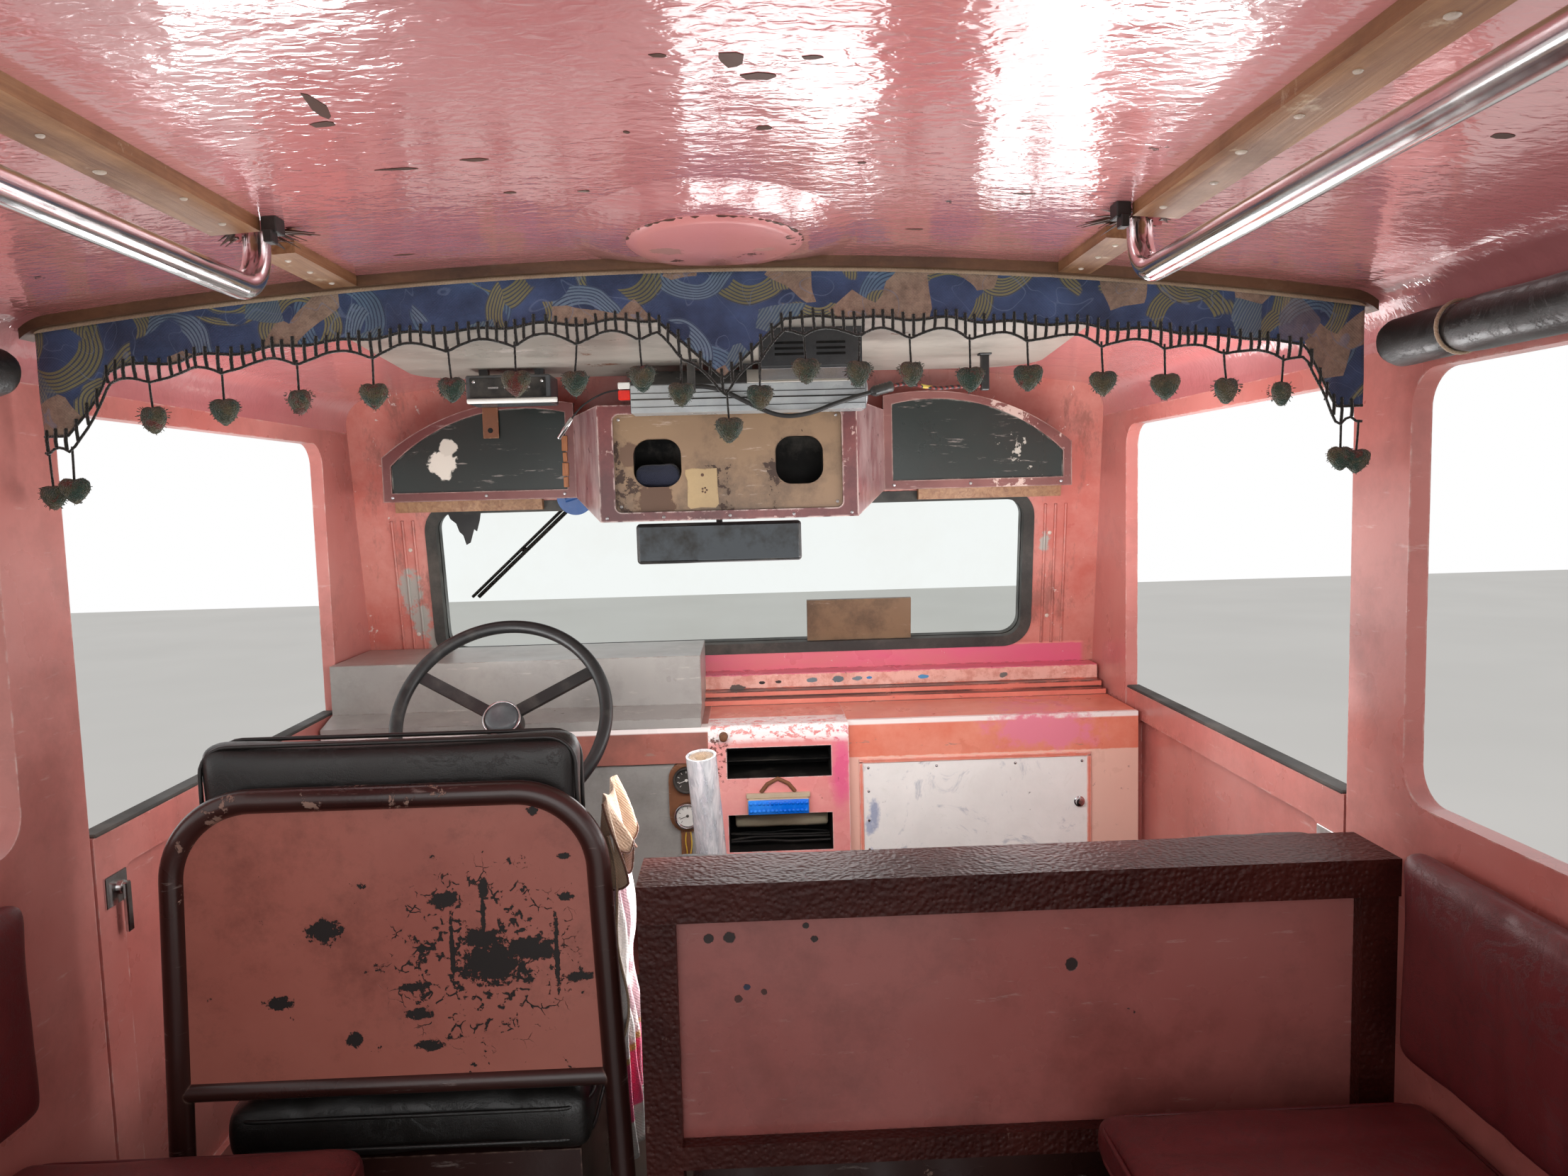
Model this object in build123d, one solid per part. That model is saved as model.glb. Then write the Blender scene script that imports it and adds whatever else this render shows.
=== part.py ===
"""Cab section of a jeepney body: the driver's cab with the first bay of the passenger saloon behind it.

Millimetres. X points to the vehicle's right, Y forwards, Z up. The origin is on the ground, under the
middle of the section. The section stands on its floor frame, cut at a body hoop behind and at the firewall.
A setback is a distance behind the firewall's rear face, and a drop is a distance below what is named.
"""
from build123d import *
import math
import os

# Overall body
LENGTH = 2040.0
BODY_WIDTH = 1690.0
WALL_T = 25.0
FRAME_H = 100.0
FLOOR_T = 12.0
CEILING_Z = 1500.0
ROOF_T = 20.0
ROOF_FALL = 60.0
ROOF_CORNER_R = 60.0
CANTRAIL_DROP = 125.0
SKIRT_Z = 20.0

REAR_Y = -LENGTH / 2
FRONT_Y = LENGTH / 2
OUTER_X = BODY_WIDTH / 2
INNER_X = OUTER_X - WALL_T
FLOOR_Z = FRAME_H + FLOOR_T
CANTRAIL_Z = CEILING_Z - CANTRAIL_DROP
BEYOND = 300.0  # how far cutting solids stand past what they cut

# Floor frame
CROSS_W = 60.0
SILL_W = 60.0
MIDDLE_CROSS_Y = 330.0
CHASSIS_X = 760.0
CHASSIS_HOLE_R = 7.0
CROSS_YS = [REAR_Y + CROSS_W / 2, -MIDDLE_CROSS_Y, MIDDLE_CROSS_Y, FRONT_Y - CROSS_W / 2]

# Firewall and windscreen frame, which leans back
FIREWALL_T = 60.0
COWL_Z = 822.0
SCREEN_RAKE = 8.0
SCREEN_FRAME_T = 40.0
GLASS_W = 1300.0
GLASS_H = 315.0
GLASS_R = 40.0
GLASS_T = 6.0
GASKET_W = 24.0
GASKET_PROUD = 4.0
GASKET_GROOVE = 9.0
SCREEN_RAIL_H = 40.0
FIREWALL_BOLT_X = 1500.0
FIREWALL_BOLT_H = 500.0
FIREWALL_BOLT_Z = 440.0
BOLT_R = 5.5

FIREWALL_Y = FRONT_Y - FIREWALL_T
RAKE = math.radians(SCREEN_RAKE)
GASKET_TOP_Z = COWL_Z + SCREEN_RAIL_H + (2 * GASKET_W + GLASS_H) * math.cos(RAKE)

# Rear hoop, where the rest of the saloon bolts on, and the drip rails
HOOP_DEPTH = 40.0
HOOP_W = 40.0
HOOP_BOLT_ZS = [440.0, 1000.0]
GUTTER_W = 14.0
GUTTER_T = 3.0
GUTTER_LIFT = 4.0
GUTTER_H = 14.0

# Body openings: the cab doorway and the saloon window
DOOR_REAR_Y = -90.0
DOOR_FRONT_SETBACK = 220.0
DOOR_SILL_Z = 150.0
DOOR_TOP_Z = 800.0
OPENING_TOP_DROP = 30.0
OPENING_R = 45.0
WINDOW_SILL_Z = 830.0
PILLAR_W = 120.0
DOOR_FRONT_Y = FIREWALL_Y - DOOR_FRONT_SETBACK
WINDOW_FRONT_Y = DOOR_REAR_Y - PILLAR_W
OPENING_TOP_Z = CANTRAIL_Z - OPENING_TOP_DROP

# Half doors and their hinges
DOOR_GAP = 6.0
DOOR_T = 25.0
DOOR_BORDER = 55.0
DOOR_POCKET = 12.0
HINGE_R = 6.0
HINGE_LEAF_T = 3.0
HINGE_LEAF_L = 60.0
HINGE_H = 90.0
HINGE_INSET = 90.0
HINGE_GAP = 1.0
HINGE_Y = DOOR_FRONT_Y - DOOR_GAP / 2
HINGE_X = OUTER_X + HINGE_R
HINGE_ZS = [DOOR_SILL_Z + HINGE_INSET, DOOR_TOP_Z - HINGE_INSET]

# Driver's seat
SEAT_X = -420.0
SEAT_TUBE_D = 30.0
SEAT_BACK_Y = -165.0
SEAT_TOP_Z = 880.0
SEAT_TOP_W = 510.0
SEAT_FOOT_W = 566.0
SEAT_CORNER_R = 100.0
SEAT_BAR_Z = 500.0
SEAT_BAR_D = 24.0
SEAT_PANEL_T = 6.0
SEAT_PAD_W = 470.0
SEAT_PAD_T = 66.0
SEAT_PAD_TOP_Z = 930.0
SEAT_Z = 470.0
SEAT_DEPTH = 430.0
CUSHION_T = 90.0
PAD_GAP = 3.0
PAD_R = 18.0
BASE_INSET = 20.0
FRILL_T = 22.0
FRILL_W = 150.0
FRILL_TOP_DROP = 80.0
FRILL_H = 478.0
FRILL_R = 6.0

# Front passengers' seat, whose back is the partition
SEAT_TO_PARTITION = 25.0
BENCH_X = SEAT_X + SEAT_FOOT_W / 2 + SEAT_TO_PARTITION
PART_REAR_Y = -213.0
PART_CAP_Z = 757.0
PART_CAP_H = 47.0
PART_CAP_L = 105.0
PART_BAR = 45.0
PART_BAR_INSET = 5.0
PART_FOOT_Z = 396.0
PART_FOOT_H = 30.0
PART_PANEL_T = 6.0
PASS_SEAT_Z = 500.0
PASS_PAD_T = 55.0
PASS_PAD_DROP = 8.0
PASS_INSET = 27.0

# Saloon benches along the sides, and the rolled rain curtains over their windows
SIDE_SEAT_Z = 500.0
SIDE_SEAT_W = 400.0
SIDE_SEAT_T = 75.0
SIDE_BACK_T = 45.0
SIDE_BACK_H = 250.0
SIDE_BACK_GAP = 40.0
SIDE_BASE_INSET = 30.0
BENCH_TO_PARTITION = 52.0
WALL_CLEAR = 0.3
CURTAIN_D = 62.0

# Ceiling wood, grab rails and the round cover
WOOD_T = 12.0
BATTEN_X = 430.0
BATTEN_W = 45.0
FRONT_BATTEN_W = 38.0
STRIP_W = 26.0
STRIP_END_GAP = 20.0
STRIP_AHEAD = 53.0  # from the partition's rear to the valance
RAIL_D = 25.4
RAIL_DROP = 45.0
RAIL_BEND_R = 45.0
RAIL_END_BEHIND = 225.0  # from the valance to the rail's upright end
HANGER_D = 16.0
TEAR_L = 84.0
TEAR_W = 66.0
TEAR_SKIN = 7.0
TEAR_SHAPE = [  # shares of the tear's width and length
    (-0.50, -0.30), (-0.16, -0.50), (0.12, -0.36), (0.50, -0.46), (0.36, 0.02), (0.50, 0.34), (0.06, 0.50),
    (-0.38, 0.34),
]
COVER_X = 8.0
COVER_W = 188.0
COVER_L = 225.0
COVER_BEHIND = 110.0  # from the valance to the cover's middle
COVER_H = 22.0
COVER_EDGE_R = 5.0
VALANCE_Y = PART_REAR_Y + STRIP_AHEAD
COVER_Y = VALANCE_Y - COVER_BEHIND
RAIL_END_Y = VALANCE_Y - RAIL_END_BEHIND

# Valance under the strip, with its fringe and hearts
VALANCE_X = 10.0
CLOTH_T = 4.0
BAND_H = 59.0
VEE_HALF_W = 75.0
VEE_DROP = 69.0
TAIL_W = 75.0
TAIL_FOOT_W = 30.0
TAIL_DROP = 190.0
VALANCE_END_GAP = 30.0
FRINGE_H = 19.0
STRING_T = 2.4
HEART_R = 15.0
HEART_TIP = 20.0
HEART_DROP = 45.0
HEART_PITCH = 80.0
VEE_HEARTS = [-98.0, -49.0, 0.0, 49.0, 98.0]
VEE_REACH = 173.0

# Tray and appliances under the cab ceiling
TRAY_X = 8.0
TRAY_REAR_W = 1040.0
TRAY_FRONT_W = 1200.0
TRAY_FRONT_SETBACK = 300.0
TRAY_DROP = 42.0
TRAY_R = 110.0
TRAY_RIM_R = 6.0
TRAY_Z = CEILING_Z - TRAY_DROP
TRAY_REAR_Y = DOOR_REAR_Y
TRAY_FRONT_Y = FIREWALL_Y - TRAY_FRONT_SETBACK
VENT_BOX_X = 132.0
VENT_BOX_W = 148.0
VENT_BOX_L = 150.0
VENT_BOX_H = 58.0
VENT_BOX_AHEAD = 190.0  # from the tray's rear edge
LAMP_BOX_X = -385.0
LAMP_BOX_W = 150.0
LAMP_BOX_L = 80.0
LAMP_BOX_H = 50.0
LAMP_BOX_SETBACK = 480.0
BOX_R = 4.0
STAY_H = 13.0
STAY_W = 16.0

# Header over the windscreen: a box with splayed sides between two wings
HEADER_X = 2.0
HEADER_SETBACK = 440.0
WING_SETBACK = 200.0
HEADER_FACE_W = 476.0
HEADER_BACK_W = 636.0
HEADER_TOP_DROP = 110.0
HEADER_H = 213.0
HEADER_WALL = 12.0
BOARD_MARGIN_X = 28.0
BOARD_MARGIN_Z = 17.0
BOARD_T = 9.0
BOARD_RECESS = 7.0
BOARD_R = 12.0
SPEAKER_W = 88.0
SPEAKER_R = 30.0
SPEAKER_X = 131.0
WING_T = 15.0
WING_OUTER_X = 713.0
WING_MID_X = 586.0
WING_ABOVE_GASKET = 3.5
WING_OUTER_DROP = 184.0
WING_MID_DROP = 108.0
WING_INNER_DROP = 82.0
WING_BORDER = 18.0
WING_BOARD_T = 10.0
SHELF_T = 12.0
HEADER_FACE_Y = FIREWALL_Y - HEADER_SETBACK
WING_Y = FIREWALL_Y - WING_SETBACK
HEADER_TOP_Z = CEILING_Z - HEADER_TOP_DROP
HEADER_BASE_Z = HEADER_TOP_Z - HEADER_H
WING_BASE_Z = GASKET_TOP_Z + WING_ABOVE_GASKET

# Player bar under the tray, ahead of which the header's face stands, and the mirror under the header
PLAYER_X = 42.0
PLAYER_W = 416.0
PLAYER_DEPTH = 70.0
PLAYER_H = 75.0
PLAYER_BEVEL_W = 50.0
PLAYER_BEVEL_H = 28.0
MIRROR_X = -20.0
MIRROR_W = 310.0
MIRROR_H = 76.0
MIRROR_T = 18.0
MIRROR_R = 8.0
MIRROR_DROP = 5.0
MIRROR_SETBACK = 412.0
MIRROR_ARM_T = 12.0
MIRROR_ARM_L = 40.0
PLAYER_TOP_Z = TRAY_Z - STAY_H
PLAYER_REAR_Y = HEADER_FACE_Y - PLAYER_DEPTH

# Batten over the glass, the wiper outside and its motor inside
SCREEN_BATTEN_OUTER_X = 725.0
SCREEN_BATTEN_INNER_X = 410.0
SCREEN_BATTEN_H = 23.0
SCREEN_BATTEN_T = 20.0
SCREEN_BATTEN_GAP = 2.0
WIPER_X = -340.0
WIPER_LIFT = 8.0  # above the gasket's top edge
WIPER_SHAFT_R = 7.0
WIPER_SHAFT_L = 26.0
WIPER_STANDOFF = 22.0
WIPER_TIP_X = -600.0
WIPER_TIP_DROP = 45.0  # below the middle of the glass
WIPER_ARM_D = 7.0
WIPER_BLADE_D = 9.0
WIPER_BLADE_ASIDE = 14.0
WIPER_BLADE_START = 60.0
WIPER_CLIP_AT = 190.0
MOTOR_R = 40.0
MOTOR_T = 8.0
MOTOR_GAP = 6.0
MOTOR_LEVER_L = 42.0
MOTOR_LEVER_W = 12.0
MOTOR_NOTCH = 50.0

# Dashboard
LEDGE_X = -70.0
LEDGE_STEPS = [  # how far each step stands out from the firewall, and its height
    (60.0, 32.0),
    (90.0, 13.0),
    (120.0, 11.0),
]
DASH_TOP_Z = COWL_Z - sum(height for _, height in LEDGE_STEPS)
DASH_END_GAP = 8.0
DASH_X = INNER_X - DASH_END_GAP
DASH_H = 336.0
CONSOLE_X = -57.0
CONSOLE_W = 279.0
CONSOLE_SETBACK = 335.0
CONSOLE_EDGE_R = 12.0
SLOT_X = 83.0
SLOT_W = 208.0
SLOT_DEPTH = 110.0
SLOTS = [  # drop of the slot's middle below the dash top, and its height
    (75.0, 62.0),
    (218.0, 76.0),
]
LAMP_X = 79.0
LAMP_W = 123.0
LAMP_H = 31.0
LAMP_T = 20.0
LAMP_DROP = 161.0
LAMP_R = 4.0
SIDE_SETBACK = 315.0
SIDE_PANEL_T = 30.0
GLOVE_X = 244.0
GLOVE_W = 470.0
GLOVE_DROP = 84.0
GLOVE_H = 214.0
GLOVE_T = 8.0
GLOVE_PROUD = 2.0
BAND_DROP = 71.0
DRIVER_PANEL_PROUD = 10.0
BINNACLE_H = 134.0
BINNACLE_SETBACK = 270.0
BINNACLE_LIP_H = 19.0
BINNACLE_FOOT_H = 35.0
BINNACLE_FRONT_GAP = 40.0
GAUGE_X = -102.0
GAUGE_DROPS = [104.0, 176.0]
GAUGE_R = 28.0
GAUGE_T = 24.0
GAUGE_PLATE_W = 70.0
GAUGE_PLATE_T = 6.0
GAUGE_PLATE_MARGIN = 18.0
SIGN_X = 281.0
SIGN_W = 237.0
SIGN_H = 94.0
SIGN_T = 10.0
CONSOLE_FACE_Y = FIREWALL_Y - CONSOLE_SETBACK
CONSOLE_RIGHT = CONSOLE_X + CONSOLE_W
SIDE_FACE_Y = FIREWALL_Y - SIDE_SETBACK
PANEL_Y = SIDE_FACE_Y - DRIVER_PANEL_PROUD
BAND_BASE_Z = DASH_TOP_Z - BAND_DROP
DASH_BASE_Z = DASH_TOP_Z - DASH_H

# Steering
WHEEL_SETBACK = 500.0
WHEEL_ABOVE_COWL = 8.0
WHEEL_D = 400.0
WHEEL_RIM_D = 24.0
COLUMN_ANGLE = 35.0
COLUMN_D = 42.0
COLUMN_HOLE_GAP = 2.0
HUB_D = 70.0
HUB_L = 34.0
HUB_GAP = 2.0
SHAFT_R = 9.9
SHAFT_CLEAR = 0.1
SHAFT_L = 22.0
SHAFT_END_GAP = 1.0
SPOKE_W = 22.0
SPOKE_T = 9.0
SPOKE_ANGLES = [-90.0, 30.0, 150.0]
WHEEL_Y = FIREWALL_Y - WHEEL_SETBACK
WHEEL_Z = COWL_Z + WHEEL_ABOVE_COWL

# Pedals and gear lever
PEDALS = [  # place beside the seat's middle, and width
    (-120.0, 55.0),
    (0.0, 55.0),
    (120.0, 45.0),
]
PEDAL_SETBACK = 130.0
PEDAL_T = 12.0
PEDAL_Z = 215.0
PEDAL_H = 75.0
PEDAL_ARM_W = 14.0
PEDAL_ARM_T = 15.0
PEDAL_ARM_Z = 400.0
PEDAL_ARM_H = 20.0
GEAR_X = -130.0
GEAR_SETBACK = 440.0
GEAR_LEAN = 70.0
GEAR_TOP_Z = 525.0
GEAR_BOOT_R = 70.0
GEAR_BOOT_TOP_R = 30.0
GEAR_BOOT_H = 40.0
GEAR_D = 14.0
GEAR_KNOB_R = 24.0

# Rolled sunshade that stands beside the passengers' cushion
SHADE_D = 51.0
SHADE_WALL = 4.0
SHADE_HOLLOW = 90.0
SHADE_TOP_Z = 790.0
SHADE_TOP_X = -55.0
SHADE_FOOT_X = -10.0
SHADE_FOOT_AHEAD = 103.0  # from the cushion's front
SHADE_TOP_BEHIND = 27.0

# Leads under the tray, with their clips. X and Z of each point, in the plane just behind the player
CABLE_D = 8.0
CABLE_POINTS = [
    (-50.0, 1412.0), (-16.0, 1412.0), (40.0, 1382.0), (97.0, 1355.0), (150.0, 1360.0), (203.0, 1381.0),
    (257.0, 1395.0),
]
WIRES_D = 7.0
CONNECTOR_L = 41.0
WIRES_STRAIGHT = 24.0
WIRES_BEYOND = [(370.0, 1398.0), (412.0, 1402.0), (452.0, 1402.0)]
LEAD_D = 3.0
LEAD_POINTS = [(-188.0, 1412.0), (-206.0, 1412.0), (-236.0, 1399.0), (-262.0, 1381.0), (-274.0, 1364.0)]
CABLE_BEHIND = 14.0
LEAD_AHEAD = 25.0
ARC_SHARE = 0.45  # of the shorter run at each corner
CLIP_T = 14.0
CONNECTOR_D = 20.0
SLEEVE_D = 9.0
SLEEVE_L = 44.0
CABLE_Y = PLAYER_REAR_Y - CABLE_BEHIND
LEAD_Y = PLAYER_REAR_Y + LEAD_AHEAD

nodes = {}


def block(x_low, x_high, y_low, y_high, z_low, z_high):
    """A box between two corners."""
    size = (x_high - x_low, y_high - y_low, z_high - z_low)
    middle = ((x_low + x_high) / 2, (y_low + y_high) / 2, (z_low + z_high) / 2)
    return Pos(*middle) * Box(*size)


def rounded_block(x_low, x_high, y_low, y_high, z_low, z_high, radius):
    """A box with all its edges rounded."""
    solid = block(x_low, x_high, y_low, y_high, z_low, z_high)
    return fillet(solid.edges(), radius)


def prism_y(sketch, y_low, y_high):
    """A drawing in X and Z, drawn out along Y."""
    plane = Plane(origin=(0, y_high, 0), x_dir=(1, 0, 0), z_dir=(0, -1, 0))
    return extrude(plane * sketch, y_high - y_low)


def prism_x(sketch, x_low, x_high):
    """A drawing in Y and Z, drawn out along X."""
    plane = Plane(origin=(x_low, 0, 0), x_dir=(0, 1, 0), z_dir=(1, 0, 0))
    return extrude(plane * sketch, x_high - x_low)


def prism_z(sketch, z_low, z_high):
    """A drawing in X and Y, drawn out along Z."""
    return extrude(Plane.XY.offset(z_low) * sketch, z_high - z_low)


def outline(points):
    """A flat shape with straight sides."""
    return make_face(Polyline(*points, close=True))


def bar(start, end, diameter):
    """A round bar between two points."""
    direction = Vector(*end) - Vector(*start)
    plane = Plane(origin=start, z_dir=direction)
    return extrude(plane * Circle(diameter / 2), direction.length)


def mirrored(solid):
    """The solid and its mirror image on the other side of the vehicle."""
    return Compound(children=[solid, mirror(solid, about=Plane.YZ)])


def body_section(half_width, crown_z, bottom_z, corner_r):
    """The arched cross-section of the body in X and Z."""
    edge_z = crown_z - ROOF_FALL
    arch = ThreePointArc((half_width, edge_z), (0, crown_z), (-half_width, edge_z))
    sides = Polyline(
        (-half_width, edge_z), (-half_width, bottom_z), (half_width, bottom_z), (half_width, edge_z)
    )
    face = make_face(Curve() + [arch, sides])
    corners = [v for v in face.vertices() if v.Y > bottom_z + 1]
    return fillet(corners, corner_r)


def inner_section(lowered=0.0):
    """The space inside the body, or that space lowered from the ceiling."""
    return body_section(INNER_X, CEILING_Z - lowered, 0.0 - lowered, ROOF_CORNER_R)


def ceiling_z(x):
    """Height of the ceiling at a distance from the middle, short of the rounded corners."""
    radius = (INNER_X**2 + ROOF_FALL**2) / (2 * ROOF_FALL)
    return CEILING_Z - (radius - math.sqrt(radius**2 - x**2))


def ceiling_layer(top_drop, thickness, x_low, x_high, y_low, y_high):
    """A strip that follows the ceiling, a given drop under it."""
    upper = prism_y(inner_section(top_drop), y_low, y_high)
    lower = prism_y(inner_section(top_drop + thickness), y_low, y_high)
    limits = block(x_low, x_high, y_low, y_high, CEILING_Z - BEYOND, CEILING_Z + BEYOND)
    return (upper - lower) & limits


def screen_y(z):
    """Y of the windscreen frame's rear face at a height."""
    return FIREWALL_Y - (z - COWL_Z) * math.tan(RAKE)


def front_cutter():
    """Everything ahead of the firewall's and the windscreen frame's rear faces."""
    high = CEILING_Z + BEYOND
    far = FRONT_Y + BEYOND
    side = outline([
        (FIREWALL_Y, -BEYOND), (FIREWALL_Y, COWL_Z), (screen_y(high), high), (far, high), (far, -BEYOND),
    ])
    return prism_x(side, -OUTER_X - BEYOND, OUTER_X + BEYOND)


def screen_plane():
    """Plane in the middle of the windscreen frame's thickness, at the middle of the glass."""
    up = SCREEN_RAIL_H / math.cos(RAKE) + GASKET_W + GLASS_H / 2
    normal = Vector(0, -math.cos(RAKE), -math.sin(RAKE))
    slope = Vector(0, -math.sin(RAKE), math.cos(RAKE))
    centre = Vector(0, FIREWALL_Y, COWL_Z) + slope * up - normal * (SCREEN_FRAME_T / 2)
    return Plane(origin=centre, x_dir=(1, 0, 0), z_dir=normal)


def screen_up():
    """How the windscreen plane's own second axis runs: +1 up the slope or -1 down it."""
    return 1.0 if screen_plane().y_dir.Z > 0 else -1.0


def screen_point(x, up, towards_driver):
    """A point by its place across and up the glass from its middle, and its distance behind that plane."""
    return screen_plane().from_local_coords((x, up * screen_up(), towards_driver))


def screen_shape(margin, half_thickness):
    """A rounded slab in the windscreen's plane, larger than the visible glass by a margin."""
    shape = RectangleRounded(GLASS_W + 2 * margin, GLASS_H + 2 * margin, GLASS_R + margin)
    return extrude(screen_plane() * shape, half_thickness, both=True)


def make_floor():
    """Floor frame with its sills and cross-members, and the floor sheet on it."""
    frame = block(-INNER_X, -INNER_X + SILL_W, REAR_Y, FIREWALL_Y, 0, FRAME_H)
    frame += block(INNER_X - SILL_W, INNER_X, REAR_Y, FIREWALL_Y, 0, FRAME_H)
    for y in CROSS_YS:
        front = min(y + CROSS_W / 2, FIREWALL_Y)
        frame += block(-INNER_X, INNER_X, front - CROSS_W, front, 0, FRAME_H)
    for x in (-CHASSIS_X / 2, CHASSIS_X / 2):
        for y in CROSS_YS[1:3]:
            frame -= Pos(x, y, FRAME_H / 2) * Cylinder(CHASSIS_HOLE_R, FRAME_H)
    nodes["floor_frame"] = frame
    nodes["floor_pan"] = block(-INNER_X, INNER_X, REAR_Y, FIREWALL_Y, FRAME_H, FLOOR_Z)


def side_opening(y_low, y_high, z_low, z_high, radius):
    """A rounded opening through the right-hand wall."""
    middle = ((y_low + y_high) / 2, (z_low + z_high) / 2)
    shape = Pos(*middle) * RectangleRounded(y_high - y_low, z_high - z_low, radius)
    return prism_x(shape, INNER_X - BEYOND, OUTER_X + BEYOND)


def hinge_half(z, towards, upper):
    """One leaf and its half of the barrel. Towards is +1 for the pillar's leaf and -1 for the door's."""
    low = z + HINGE_GAP / 2 if upper else z - HINGE_H / 2
    high = z + HINGE_H / 2 if upper else z - HINGE_GAP / 2
    barrel = Pos(HINGE_X, HINGE_Y, (low + high) / 2) * Cylinder(HINGE_R, high - low)
    ends = sorted([HINGE_Y, HINGE_Y + towards * (DOOR_GAP + HINGE_LEAF_L)])
    leaf = block(OUTER_X, OUTER_X + HINGE_LEAF_T, *ends, low, high)
    return barrel + leaf


def make_walls():
    """Side walls with the doorway and the saloon window."""
    wall = block(INNER_X, OUTER_X, REAR_Y, FRONT_Y, SKIRT_Z, CANTRAIL_Z) - front_cutter()
    wall -= side_opening(DOOR_REAR_Y, DOOR_FRONT_Y, DOOR_SILL_Z, OPENING_TOP_Z, OPENING_R)
    wall -= side_opening(REAR_Y + HOOP_DEPTH, WINDOW_FRONT_Y, WINDOW_SILL_Z, OPENING_TOP_Z, OPENING_R)
    for z in HINGE_ZS:
        wall += hinge_half(z, 1, True)
    nodes["side_wall_right"] = wall
    nodes["side_wall_left"] = mirror(wall, about=Plane.YZ)


def make_doors():
    """Half doors: a pressed frame round a recessed inner panel."""
    low, high = DOOR_SILL_Z + DOOR_GAP, DOOR_TOP_Z
    rear, front = DOOR_REAR_Y + DOOR_GAP, DOOR_FRONT_Y - DOOR_GAP
    door = block(OUTER_X - DOOR_T, OUTER_X, rear, front, low, high)
    bottom = [e for e in door.edges().filter_by(Axis.X) if e.center().Z < low + 1]
    door = fillet(bottom, OPENING_R)
    inner = OUTER_X - DOOR_T
    pocket = block(
        inner, inner + DOOR_POCKET, rear + DOOR_BORDER, front - DOOR_BORDER,
        low + DOOR_BORDER, high - DOOR_BORDER,
    )
    door -= fillet(pocket.edges().filter_by(Axis.X), DOOR_BORDER / 2)
    for z in HINGE_ZS:
        door += hinge_half(z, -1, False)
    nodes["door_right"] = door
    nodes["door_left"] = mirror(door, about=Plane.YZ)


def tear():
    """Ragged hole torn in the ceiling's lining where the right-hand grab rail goes in."""
    shape = outline([(BATTEN_X + x * TEAR_W, RAIL_END_Y + y * TEAR_L) for x, y in TEAR_SHAPE])
    return prism_z(shape, CEILING_Z - BEYOND, tear_top())


def tear_top():
    """Height of the roof skin that shows inside the torn hole."""
    return ceiling_z(BATTEN_X + TEAR_W / 2) + ROOF_T - TEAR_SKIN


def make_roof():
    """Roof shell, rear hoop and drip rails."""
    outer = body_section(OUTER_X, CEILING_Z + ROOF_T, CANTRAIL_Z, ROOF_CORNER_R + WALL_T)
    shell = prism_y(outer, REAR_Y, FRONT_Y) - prism_y(inner_section(), REAR_Y, FRONT_Y)
    shell -= tear()
    shell -= mirror(tear(), about=Plane.YZ)
    nodes["roof_panel"] = shell - front_cutter()

    hoop = prism_y(inner_section(), REAR_Y, REAR_Y + HOOP_DEPTH)
    inset_r = max(ROOF_CORNER_R - HOOP_W, HOOP_W / 4)
    inset = body_section(INNER_X - HOOP_W, CEILING_Z - HOOP_W, -HOOP_W, inset_r)
    hoop -= prism_y(inset, REAR_Y, REAR_Y + HOOP_DEPTH)
    hoop &= block(-INNER_X, INNER_X, REAR_Y, REAR_Y + HOOP_DEPTH, FLOOR_Z, CEILING_Z)
    for x in (-INNER_X + HOOP_W / 2, INNER_X - HOOP_W / 2):
        for z in HOOP_BOLT_ZS:
            hoop -= bar((x, REAR_Y, z), (x, REAR_Y + HOOP_DEPTH, z), 2 * BOLT_R)
    nodes["rear_hoop"] = hoop

    low = CANTRAIL_Z + GUTTER_LIFT
    gutter = block(OUTER_X, OUTER_X + GUTTER_W, REAR_Y, FRONT_Y, low, low + GUTTER_T)
    gutter += block(OUTER_X + GUTTER_W - GUTTER_T, OUTER_X + GUTTER_W, REAR_Y, FRONT_Y, low, low + GUTTER_H)
    gutter -= front_cutter()
    nodes["drip_rails"] = mirrored(gutter)


def make_front():
    """Firewall, windscreen frame, gasket and glass."""
    wall = block(-OUTER_X, OUTER_X, FIREWALL_Y, FRONT_Y, SKIRT_Z, COWL_Z)
    for x in (-FIREWALL_BOLT_X / 2, FIREWALL_BOLT_X / 2):
        for z in (FIREWALL_BOLT_Z - FIREWALL_BOLT_H / 2, FIREWALL_BOLT_Z + FIREWALL_BOLT_H / 2):
            wall -= bar((x, FIREWALL_Y, z), (x, FRONT_Y, z), 2 * BOLT_R)
    nodes["firewall"] = wall

    high = CEILING_Z + BEYOND
    across = SCREEN_FRAME_T / math.cos(RAKE)
    side = outline([
        (FIREWALL_Y, COWL_Z), (FIREWALL_Y + across, COWL_Z),
        (screen_y(high) + across, high), (screen_y(high), high),
    ])
    envelope = body_section(OUTER_X, CEILING_Z + ROOF_T, 0, ROOF_CORNER_R + WALL_T)
    frame = prism_x(side, -OUTER_X, OUTER_X) & prism_y(envelope, REAR_Y, FRONT_Y)
    nodes["windscreen_frame"] = frame - screen_shape(GASKET_W, SCREEN_FRAME_T)

    glass = screen_shape(GASKET_GROOVE, GLASS_T / 2)
    gasket = screen_shape(GASKET_W, SCREEN_FRAME_T / 2 + GASKET_PROUD) - screen_shape(0, SCREEN_FRAME_T)
    nodes["windscreen_glass"] = glass
    nodes["windscreen_gasket"] = gasket - glass


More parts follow.
